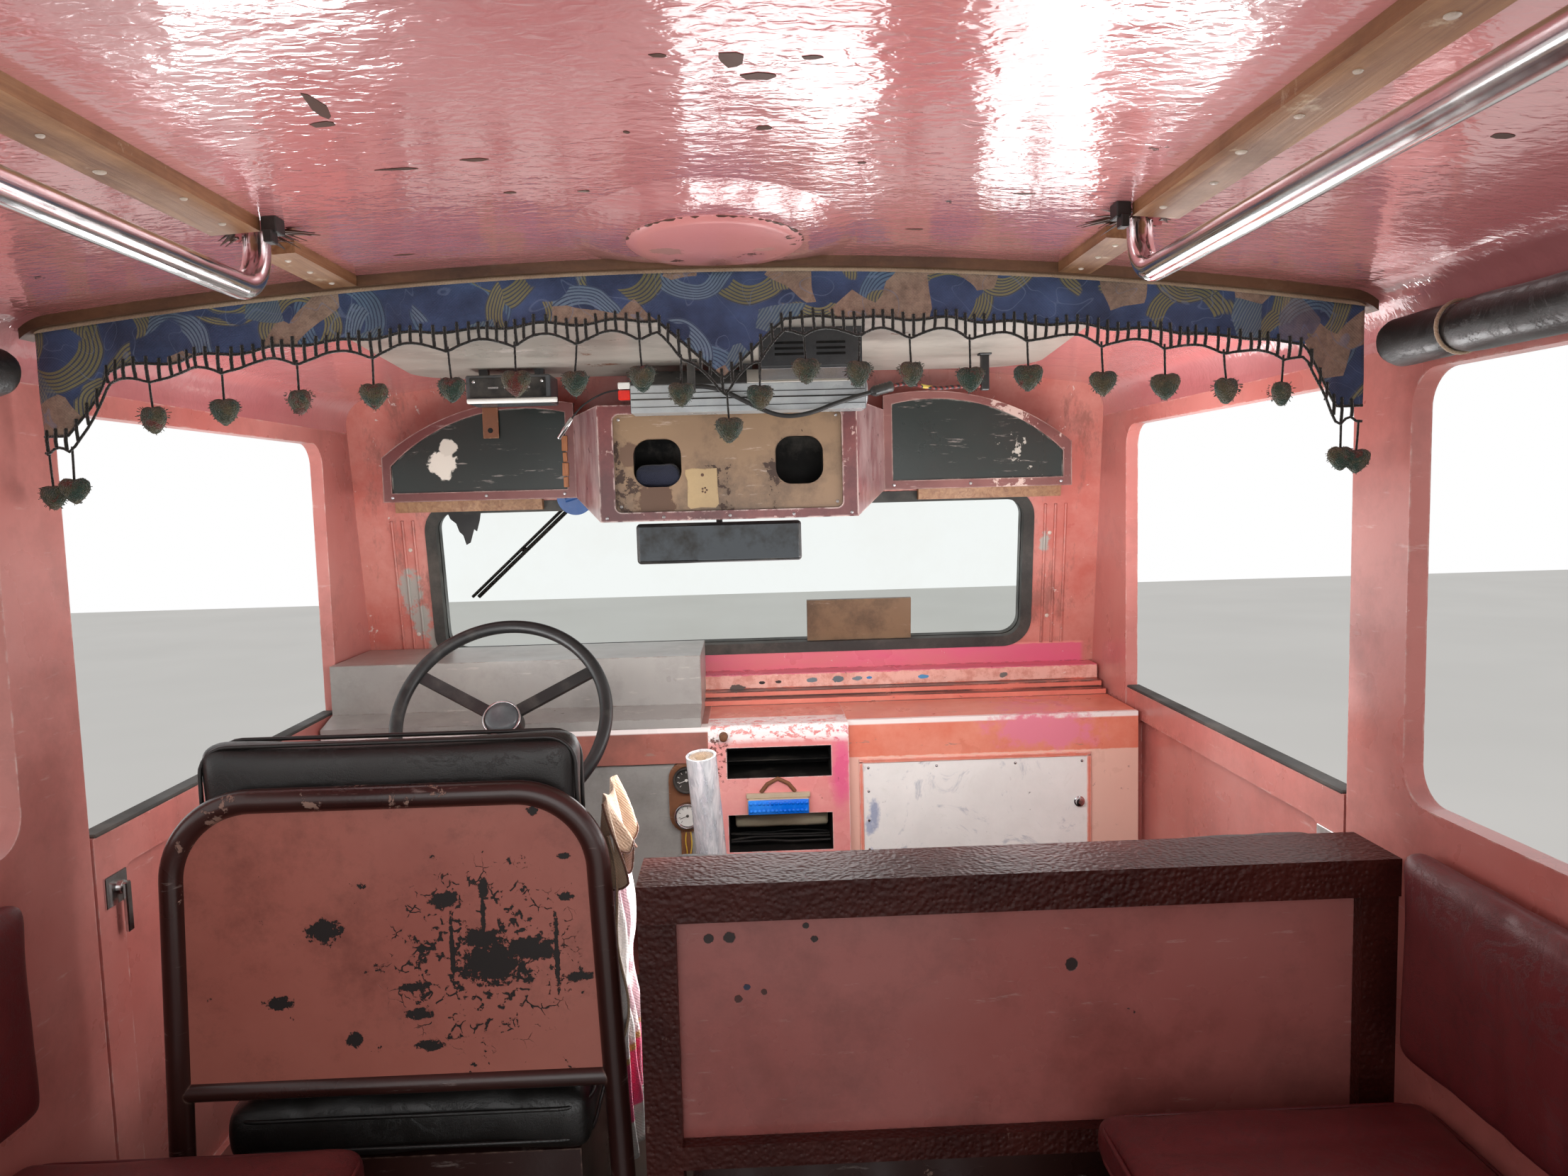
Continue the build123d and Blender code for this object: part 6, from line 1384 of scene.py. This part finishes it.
def make_dash_details():
    """Black slot walls as painted shade, duct, console lamp, knob, gauges with their wires, and glove panel trim."""
    # Black walls and a shelf line inside the two slots: painted shade.
    shade_lining = Build()
    for z_low, z_high in ((0.660, 0.722), (0.510, 0.586)):
        shade_lining.shade_lining((-0.021, 0.626, z_low), (0.187, 0.7345, z_high), 0.0012, 0.0012)
    shade_lining.box((-0.0195, 0.650, 0.6885), (0.1855, 0.733, 0.6905), 0.0004)
    shade_lining.piece("slot_shade_walls", "dark")
    Build().turned((-0.008, 0.672, 0.566), RIGHT, [
        (0.0, 0.014), (0.003, 0.0185), (0.045, 0.0192), (0.092, 0.0182), (0.14, 0.0192), (0.185, 0.0185),
        (0.188, 0.014),
    ], 28).piece("slot_duct", "duct", smooth=True)
    hoses = []
    for k in range(5):
        y, z = 0.655 + 0.013 * k, 0.518 + 0.003 * (k % 3)
        hoses.append([(x, y + dice.uniform(-0.004, 0.004), z + dice.uniform(0, 0.006))
                      for x in (-0.018, 0.02, 0.06, 0.10, 0.14, 0.184)])
    line_piece("slot_hoses", hoses, 0.0032, "hose", nurbs=True)
    body = Build().box((0.0175, 0.6095, 0.5895), (0.1405, 0.6255, 0.6205), 0.003)
    body.box((0.0155, 0.6165, 0.6205), (0.1425, 0.6255, 0.6300), 0.001)
    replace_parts(body.piece("console_lamp_body", "beige"), "console_lamp")
    glassy = Build().box((0.0190, 0.6068, 0.5905), (0.1390, 0.6100, 0.6195), 0.001)
    for k in range(14):
        for z in (0.5975, 0.6125):
            x = 0.0245 + 0.0084 * k
            dome = [(0.0, 0.0040), (0.0016, 0.0034), (0.0027, 0.0018), (0.0030, 0.0004)]
            glassy.turned((x, 0.6072, z), BACK, dome, 10)
    glassy.piece("console_lamp_lens", "lens", smooth=True)
    line_piece("lamp_strap", [[(0.045, 0.6235, 0.631), (0.058, 0.622, 0.648), (0.079, 0.6225, 0.6585),
                               (0.100, 0.622, 0.648), (0.113, 0.6235, 0.631)]], 0.0042, "rust")
    knob = Build().turned((-0.026, 0.626, 0.7465), BACK, [
        (0.0, 0.009), (0.003, 0.0088), (0.004, 0.0055), (0.009, 0.0055), (0.0105, 0.0082), (0.017, 0.0078),
        (0.019, 0.004),
    ])
    knob.piece("console_knob", "rust", smooth=True)
    make_gauges()
    trim = Build()
    z_low, z_high = 0.468, 0.682
    for x in (0.2435, 0.7065):
        trim.box((x, 0.6405, z_low), (x + 0.008, 0.6455, z_high), 0.001)
    trim.box((0.2435, 0.6405, z_high - 0.004), (0.7145, 0.6455, z_high + 0.005), 0.001)
    trim.piece("glove_trim", "dash")
    screws = Build()
    for x in (0.262, 0.40, 0.56, 0.696):
        screws.screw((x, 0.643, 0.668), BACK, 0.003)
    for z in (0.50, 0.56, 0.62):
        screws.screw((0.262, 0.643, z), BACK, 0.003)
    lock = [(0.0, 0.011), (0.003, 0.011), (0.004, 0.009), (0.009, 0.008), (0.010, 0.004)]
    screws.turned((0.690, 0.643, 0.585), BACK, lock)
    screws.piece("glove_fastenings", "chrome")


def make_gauges():
    """Two round gauges with chrome and black bezels on a worn plate, and the wires under it."""
    plate = []
    for middle, start in ((0.662, 0), (0.590, 180)):
        for k in range(13):
            angle = math.radians(start + 15 * k)
            plate.append((GAUGE_X + 0.036 * math.cos(angle), middle + 0.036 * math.sin(angle)))
    face = Build().slab(plate, 0.6285, 0.6352)
    face.box((-0.117, 0.6295, 0.480), (-0.096, 0.6352, 0.556), 0.001)
    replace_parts(face.piece("gauge_plate", "rust"), "gauges")
    for name, z, rim, dial in (("gauge_upper", 0.662, "metal", "metal"), ("gauge_lower", 0.590, "chrome", "white")):
        at = (GAUGE_X, 0.6295, z)
        ring = Build()
        ring.turned(at, BACK, [(0.0, 0.0255), (0.012, 0.0265), (0.0155, 0.026), (0.0168, 0.0238),
                                     (0.0152, 0.0215), (0.010, 0.0210), (0.0095, 0.002)], 36)
        ring.piece(name + "_bezel", rim, smooth=True)
        Build().turned((GAUGE_X, 0.6205, z), BACK, [(0.0, 0.0212), (0.0018, 0.0212), (0.0019, 0.0205)], 32).piece(
            name + "_dial", dial)
        ticks = Build()
        for k in range(9):
            angle = math.radians(-45 + 33.75 * k)
            x, zz = GAUGE_X + 0.0165 * math.cos(angle), z + 0.0165 * math.sin(angle)
            ticks.box((x - 0.002, 0.6182, zz - 0.0005), (x + 0.002, 0.6188, zz + 0.0005), 0.0001,
                      ("Y", -math.degrees(angle)))
        needle = math.radians(200)
        x, zz = GAUGE_X + 0.007 * math.cos(needle), z + 0.007 * math.sin(needle)
        ticks.box((x - 0.009, 0.6172, zz - 0.0006), (x + 0.009, 0.6178, zz + 0.0006), 0.0002, ("Y", -200))
        ticks.turned((GAUGE_X, 0.6188, z), BACK, [(0.0, 0.003), (0.002, 0.0028), (0.0024, 0.001)], 12)
        ticks.piece(name + "_scale", "white" if dial == "metal" else "metal")
    wires = [
        [(-0.106, 0.631, 0.556), (-0.109, 0.623, 0.538), (-0.104, 0.622, 0.515), (-0.108, 0.631, 0.490)],
        [(-0.098, 0.631, 0.556), (-0.094, 0.624, 0.532), (-0.100, 0.622, 0.508), (-0.098, 0.631, 0.484)],
    ]
    line_piece("gauge_wires", wires, 0.0013, "yellow", nurbs=True, sides=1)


def make_controls():
    """Horn cap and its ring, pedal rubbers, wiper lever and sunshade end."""
    lean = math.radians(35)
    axis = (0, -math.cos(lean), math.sin(lean))
    for name, look, profile in (
        ("horn_cap", "appliance", [(-0.002, 0.030), (0.003, 0.030), (0.008, 0.027), (0.011, 0.018), (0.012, 0.004)]),
        ("horn_ring", "chrome", [(0.001, 0.0345), (0.003, 0.0345), (0.0045, 0.032), (0.003, 0.0300), (0.001, 0.0300)]),
    ):
        Build().turned((WHEEL_X, WHEEL_Y, WHEEL_Z), axis, profile, 36).piece(name, look, "steering_wheel", True)
    rubbers = Build()
    for aside, width in ((-0.12, 0.055), (0.0, 0.055), (0.12, 0.045)):
        x = WHEEL_X + aside
        rubbers.box((x - width / 2 + 0.002, 0.8145, 0.217), (x + width / 2 - 0.002, 0.8185, 0.288), 0.001)
        for k in range(6):
            z = 0.222 + 0.011 * k
            rubbers.box((x - width / 2 + 0.005, 0.812, z), (x + width / 2 - 0.005, 0.815, z + 0.005), 0.0008)
    rubbers.piece("pedal_rubbers", "rubber")
    Build().box((-0.330, 0.8735, 1.2180), (-0.298, 0.8795, 1.2260), 0.002, ("Y", 12)).piece("wiper_lever", "yellow")
    foot, top = Vector((-0.010, 0.428, 0.061)), Vector((-0.055, 0.298, 0.790))
    axis = (top - foot).normalized()
    start = top - axis * 0.030
    Build().turned(start, axis, [(0.0, 0.0214), (0.027, 0.0214), (0.0278, 0.019), (0.0268, 0.0165), (0.0275, 0.0135),
                                 (0.0262, 0.0105), (0.004, 0.0095)], 36).piece("sunshade_end", "ruffle", smooth=True)


def make_front_details():
    """Fittings on the front of the firewall: ribs, edge strip, column boot, grommets and brackets."""
    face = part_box("firewall")[1][1]
    ribs = Build()
    for z in (0.30, 0.42, 0.54):
        ribs.box((-0.62, face - 0.001, z), (0.62, face + 0.009, z + 0.035), 0.005)
    for x in (-0.80, 0.77):
        ribs.box((x, face - 0.001, 0.14), (x + 0.03, face + 0.009, 0.74), 0.004)
    ribs.piece("firewall_ribs", "outside")
    strip = Build().box((-0.80, face - 0.001, 0.775), (0.80, face + 0.008, 0.797), 0.002)
    strip.turned((WHEEL_X, face - 0.001, 0.36), AHEAD, [(0.0, 0.050), (0.004, 0.050), (0.008, 0.040), (0.022, 0.033),
                                                          (0.024, 0.012)], 32)
    for x, z, radius in ((-0.16, 0.66, 0.018), (0.12, 0.64, 0.014), (0.34, 0.67, 0.022), (0.56, 0.62, 0.013)):
        strip.turned((x, face - 0.001, z), AHEAD, [(0.0, radius), (0.004, radius), (0.006, radius * 0.8),
                                                       (0.003, radius * 0.5)], 24)
    strip.piece("firewall_rubbers", "rubber")
    bolts = Build()
    for x in (-0.785, -0.52, -0.26, 0.0, 0.26, 0.52, 0.785):
        for z in (0.725, 0.170):
            bolts.screw((x, face + 0.0085 if abs(x) > 0.7 else face, z), AHEAD, 0.007)
    for x in (-0.60, 0.60):
        bolts.box((x - 0.035, face - 0.001, 0.195), (x + 0.035, face + 0.006, 0.265), 0.002)
        for dz in (0.21, 0.25):
            bolts.screw((x, face + 0.0055, dz), AHEAD, 0.007)
    bolts.piece("firewall_bolts", "metal")


def make_roof_skin():
    """Outer roof skin with rolled seams, over the arch and round its corners."""
    low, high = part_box("roof_panel")
    bend, lift, flat = 0.085, 0.0012, 40
    radius = arch_radius(OUTSIDE)
    middle_x, crown = OUTSIDE - bend, ROOF_TOP - radius
    middle_z = crown + math.sqrt((radius - bend) ** 2 - middle_x ** 2)
    lean = math.asin(middle_x / (radius - bend))

    def over(turn, out):
        """Point on the rounded corner, at an angle from the level."""
        return middle_x + (bend + out) * math.cos(turn), middle_z + (bend + out) * math.sin(turn)

    corner = [over(math.radians(6 + (84 - math.degrees(lean)) * k / 8), lift) for k in range(8)]
    arch = [((radius + lift) * math.sin(lean * t), crown + (radius + lift) * math.cos(lean * t))
            for t in (1 - 2 * k / flat for k in range(flat + 1))]
    path = corner + arch + [(-x, z) for x, z in corner[::-1]]
    count = len(path) - 1

    def place(u, v):
        x, z = path[round(u * count)]
        return x, low[1] + 0.002 + (high[1] - low[1] - 0.012) * v, z

    sheet_piece("roof_skin", count, 40, place, "roof_top", 0.0022)
    seams = []
    for k in range(5):
        y = low[1] + 0.02 + (high[1] - low[1] - 0.05) * k / 4
        seams.append([(x, y, z) for x, z in path[2:-2]])
    line_piece("roof_seams", seams, 0.0055, "roof_top")
    heads = Build()
    turn = math.radians(14)
    x, z = over(turn, lift + 0.001)
    for k in range(34):
        for mark in (-1, 1):
            heads.screw((mark * x, low[1] + 0.03 + 0.0545 * k, z), (mark * math.cos(turn), 0, math.sin(turn)), 0.0035)
    heads.piece("roof_rivets", "trim")


def make_binnacle_end():
    """Black strip of painted shade for the gap, pale strip on the end of the binnacle, and torn wood bits beside the
    left wing board.
    """
    bits = Build()
    x = -0.336
    for low_z, high_z, wide in (
        (1.247, 1.268, 0.010), (1.270, 1.297, 0.013), (1.299, 1.318, 0.009), (1.321, 1.352, 0.012),
    ):
        turn = ("Y", (wide - 0.011) * 900)
        bits.box((x - wide / 2, 0.7575, low_z), (x + wide / 2, 0.7605, high_z), 0.001, turn)
    bits.piece("torn_wood_bits", "flesh_wood")
    # The gap is a black strip standing for the shade in the binnacle's recess.
    face = 0.690
    for name, look, proud, z_low, z_high in (
        ("binnacle_gap_shade", "dark", 0.002, 0.783, 0.799), ("binnacle_strip", "white", 0.003, 0.767, 0.7825),
    ):
        Build().box((-0.20, face - proud, z_low), (-0.073, face + 0.001, z_high)).piece(name, look)


MOULDINGS_AT = (0.300, 0.745)
HINGES_AT = (0.24, 0.71)


def post_y(z):
    """Rear face of the leaning windscreen posts."""
    return 0.96 - (z - 0.822) * 0.1405


def make_body_details():
    """Mouldings, rivets, door hardware, pillar beads, floor strips and hinge screws."""
    for side, mark in SIDES:
        body = "door_" + side

        def skin(x):
            return mark * (OUTSIDE + x)

        wall = Build()
        for z in MOULDINGS_AT:
            wall.box((skin(-0.001), -1.015, z), (skin(0.005), -0.0935, z + 0.022), 0.002)
            wall.box((skin(-0.001), 0.808, z), (skin(0.005), 0.955, z + 0.022), 0.002)
        wall.piece("wall_mouldings_" + side, "trim")
        door = Build()
        for z in MOULDINGS_AT:
            door.box((skin(-0.001), -0.080, z), (skin(0.005), 0.668, z + 0.022), 0.002)
        door.piece("door_mouldings_" + side, "trim", body)
        rivets = Build()
        for k in range(31):
            y = -0.99 + 0.062 * k if k < 29 else 0.80 + 0.05 * (k - 29)
            rivets.screw((skin(0.0), y, 1.362), (mark, 0, 0), 0.0035)
        for k in range(12):
            rivets.screw((skin(0.0), -0.99 + 0.072 * k, 0.815), (mark, 0, 0), 0.0035)
            rivets.screw((skin(0.0), -0.99 + 0.072 * k, 0.060), (mark, 0, 0), 0.0035)
        for z, y, dz in product(HINGES_AT, (0.757, 0.786), (-0.028, 0.028)):
            rivets.screw((skin(0.003), y, z + dz), (mark, 0, 0), 0.0045)
        rivets.piece("wall_rivets_" + side, "trim")
        latch = Build()
        latch.box((skin(-0.028), -0.070, 0.700), (skin(-0.0245), -0.022, 0.742), 0.001)
        latch.turned((skin(-0.028), -0.040, 0.721), (-mark, 0, 0), [(0.0, 0.010), (0.006, 0.009), (0.008, 0.006)], 20)
        latch.box((skin(-0.040), -0.046, 0.660), (skin(-0.034), -0.034, 0.728), 0.0015)
        latch.box((skin(-0.001), -0.066, 0.655), (skin(0.003), 0.040, 0.690), 0.001)
        latch.box((skin(0.002), -0.060, 0.664), (skin(0.0115), -0.046, 0.681), 0.0015)
        latch.box((skin(0.0065), -0.060, 0.664), (skin(0.0125), 0.034, 0.681), 0.002)
        for z, y, dz in product(HINGES_AT, (0.688, 0.717), (-0.028, -0.012)):
            latch.screw((skin(0.003), y, z + dz), (mark, 0, 0), 0.0045)
        latch.piece("door_hardware_" + side, "chrome", body)
        Build().box((skin(-0.0262), -0.080, 0.7985), (skin(0.0012), 0.730, 0.8045), 0.002).piece(
            "door_top_strip_" + side, "rubber", body)
        beads = []
        for x in (0.745, 0.722, 0.699):
            beads.append([(mark * x, post_y(z) - 0.0005, z) for z in (0.868, 1.185)])
        line_piece("pillar_beads_" + side, beads, 0.0035, "pillar")
        heads = Build()
        for z in (0.93, 1.12):
            heads.screw((mark * 0.7105, post_y(z), z), (0, -1, -0.14), 0.0045)
        heads.piece("pillar_screws_" + side, "nail")
    make_front_details()
    make_roof_skin()
    make_binnacle_end()
    strips = Build()
    for k in range(7):
        x = -0.33 + 0.11 * k
        strips.box((x - 0.012, -0.965, 0.1115), (x + 0.012, -0.235, 0.1165), 0.0015)
    strips.piece("floor_strips", "trim")


looks["flesh_wood"] = wood("split_wood", "A8693C", "6E4024", "Z")
looks["roof_top"] = paint("roof_top_enamel", "A86A62", "B67C74", "7A5A4E", 0.25, 0.0, 0.55, 0.5, 26.0)
looks["patch"] = paint("board_patch_ply", "927A56", "A08862", "6E5238", 0.3, 0.4, 0.6, 0.25, 30.0)
make_ceiling_details()
make_header_details()
make_dash_details()
make_controls()
make_body_details()


# Floor, lamps and world
FLOOR_SIZE, FLOOR_Z = 24.0, -0.001
WORLD_BEHIND, WORLD_AHEAD = 0.22, 1.0
LEVELS = {"From Min": -0.7, "From Max": 0.5, "To Min": WORLD_BEHIND, "To Max": WORLD_AHEAD}
LAMPS = {
    # name: place, aim, width, height, watts, seen in gloss, spread
    "lamp_rear": ((0.0, -3.4, 1.5), (0, 0.2, 0.8), 3.0, 2.0, 25),
    "lamp_left": ((-2.7, -0.3, 0.75), (0, -0.4, 1.5), 3.4, 1.5, 13, True, 1.9),
    "lamp_right": ((2.7, -0.3, 0.75), (0, -0.4, 1.5), 3.4, 1.5, 13, True, 1.9),
    "lamp_front": ((0.0, 3.6, 1.1), (0, 0.0, 1.45), 2.6, 1.0, 13, True, 1.9),
    "lamp_over": ((0.0, 0.6, 4.2), (0, 0.0, 0.6), 3.0, 3.0, 16),
    "lamp_saloon": ((0.0, -0.70, 0.75), (0, -0.55, 1.5), 1.3, 0.5, 1.9, False, 1.5),
    "lamp_dash": ((0.05, -0.04, 1.06), (0.08, 0.75, 0.62), 1.3, 0.25, 7.3, False),
    "lamp_cab_left": ((-0.62, 0.25, 0.92), (-0.45, 0.32, 1.5), 0.3, 0.3, 3.2),
    "lamp_cab_right": ((0.62, 0.25, 0.92), (0.45, 0.32, 1.5), 0.4, 0.3, 5.2),
    "lamp_glare_middle": ((0.10, 0.60, 1.02), (0.08, -0.7, 1.5), 0.34, 0.40, 1.3),
    "lamp_glare_right": ((0.56, 0.56, 1.02), (0.40, -0.7, 1.5), 0.20, 0.50, 0.8),
    "lamp_seat_cover": ((-0.05, 0.02, 0.66), (-0.16, -0.12, 0.60), 0.08, 0.45, 2.2, False),
}


def make_stage():
    """Plain pale floor."""
    bpy.ops.mesh.primitive_plane_add(size=FLOOR_SIZE, location=(0, 0, FLOOR_Z))
    floor = bpy.context.object
    floor.name = "stage_floor"
    s = Surface("stage_pale", 0.8)
    colour = s.mix(s.speckle(0.3, 0.7, 0.7, 2.0), "DEDCD8", "E4E2DE")
    floor.data.materials.append(s.finish(colour))


def lamp(name, at, aim, width, height, power, glossy=True, spread=math.pi):
    """Soft area lamp aimed at a point."""
    data = bpy.data.lights.new(name, "AREA")
    data.shape = "RECTANGLE"
    data.size = width
    data.size_y = height
    data.energy = power
    data.spread = spread
    holder = bpy.data.objects.new(name, data)
    holder.location = at
    holder.rotation_euler = (Vector(aim) - Vector(at)).to_track_quat("-Z", "Y").to_euler()
    holder.visible_glossy = glossy
    holder.visible_camera = False
    holder.visible_transmission = False
    bpy.context.scene.collection.objects.link(holder)


def world_strength(tree):
    """White where it is seen, mirrored or looked at through glass; otherwise bright ahead and dim behind."""
    path = tree.nodes.new("ShaderNodeLightPath")
    seen = path.outputs["Is Camera Ray"]
    for ray in ("Is Glossy Ray", "Is Transmission Ray"):
        either = tree.nodes.new("ShaderNodeMath")
        either.operation = "MAXIMUM"
        tree.links.new(seen, either.inputs[0])
        tree.links.new(path.outputs[ray], either.inputs[1])
        seen = either.outputs[0]
    parts = tree.nodes.new("ShaderNodeSeparateXYZ")
    tree.links.new(tree.nodes.new("ShaderNodeTexCoord").outputs["Generated"], parts.inputs[0])
    ahead = tree.nodes.new("ShaderNodeMapRange")
    tree.links.new(parts.outputs["Y"], ahead.inputs["Value"])
    for name, level in LEVELS.items():
        ahead.inputs[name].default_value = level
    pick = tree.nodes.new("ShaderNodeMix")
    tree.links.new(seen, pick.inputs["Factor"])
    tree.links.new(ahead.outputs["Result"], pick.inputs["A"])
    pick.inputs["B"].default_value = 1.0
    return pick.outputs["Result"]


def make_light():
    """Pale world, and soft lamps round the section and inside it."""
    world = bpy.data.worlds.new("studio")
    bpy.context.scene.world = world
    world.use_nodes = True
    back = world.node_tree.nodes["Background"]
    world.node_tree.links.new(world_strength(world.node_tree), back.inputs["Strength"])
    back.inputs["Color"].default_value = (1.0, 1.0, 1.0, 1.0)
    for name, settings in LAMPS.items():
        lamp(name, *settings)


make_stage()
make_light()

bpy.context.scene.view_settings.view_transform = "Standard"
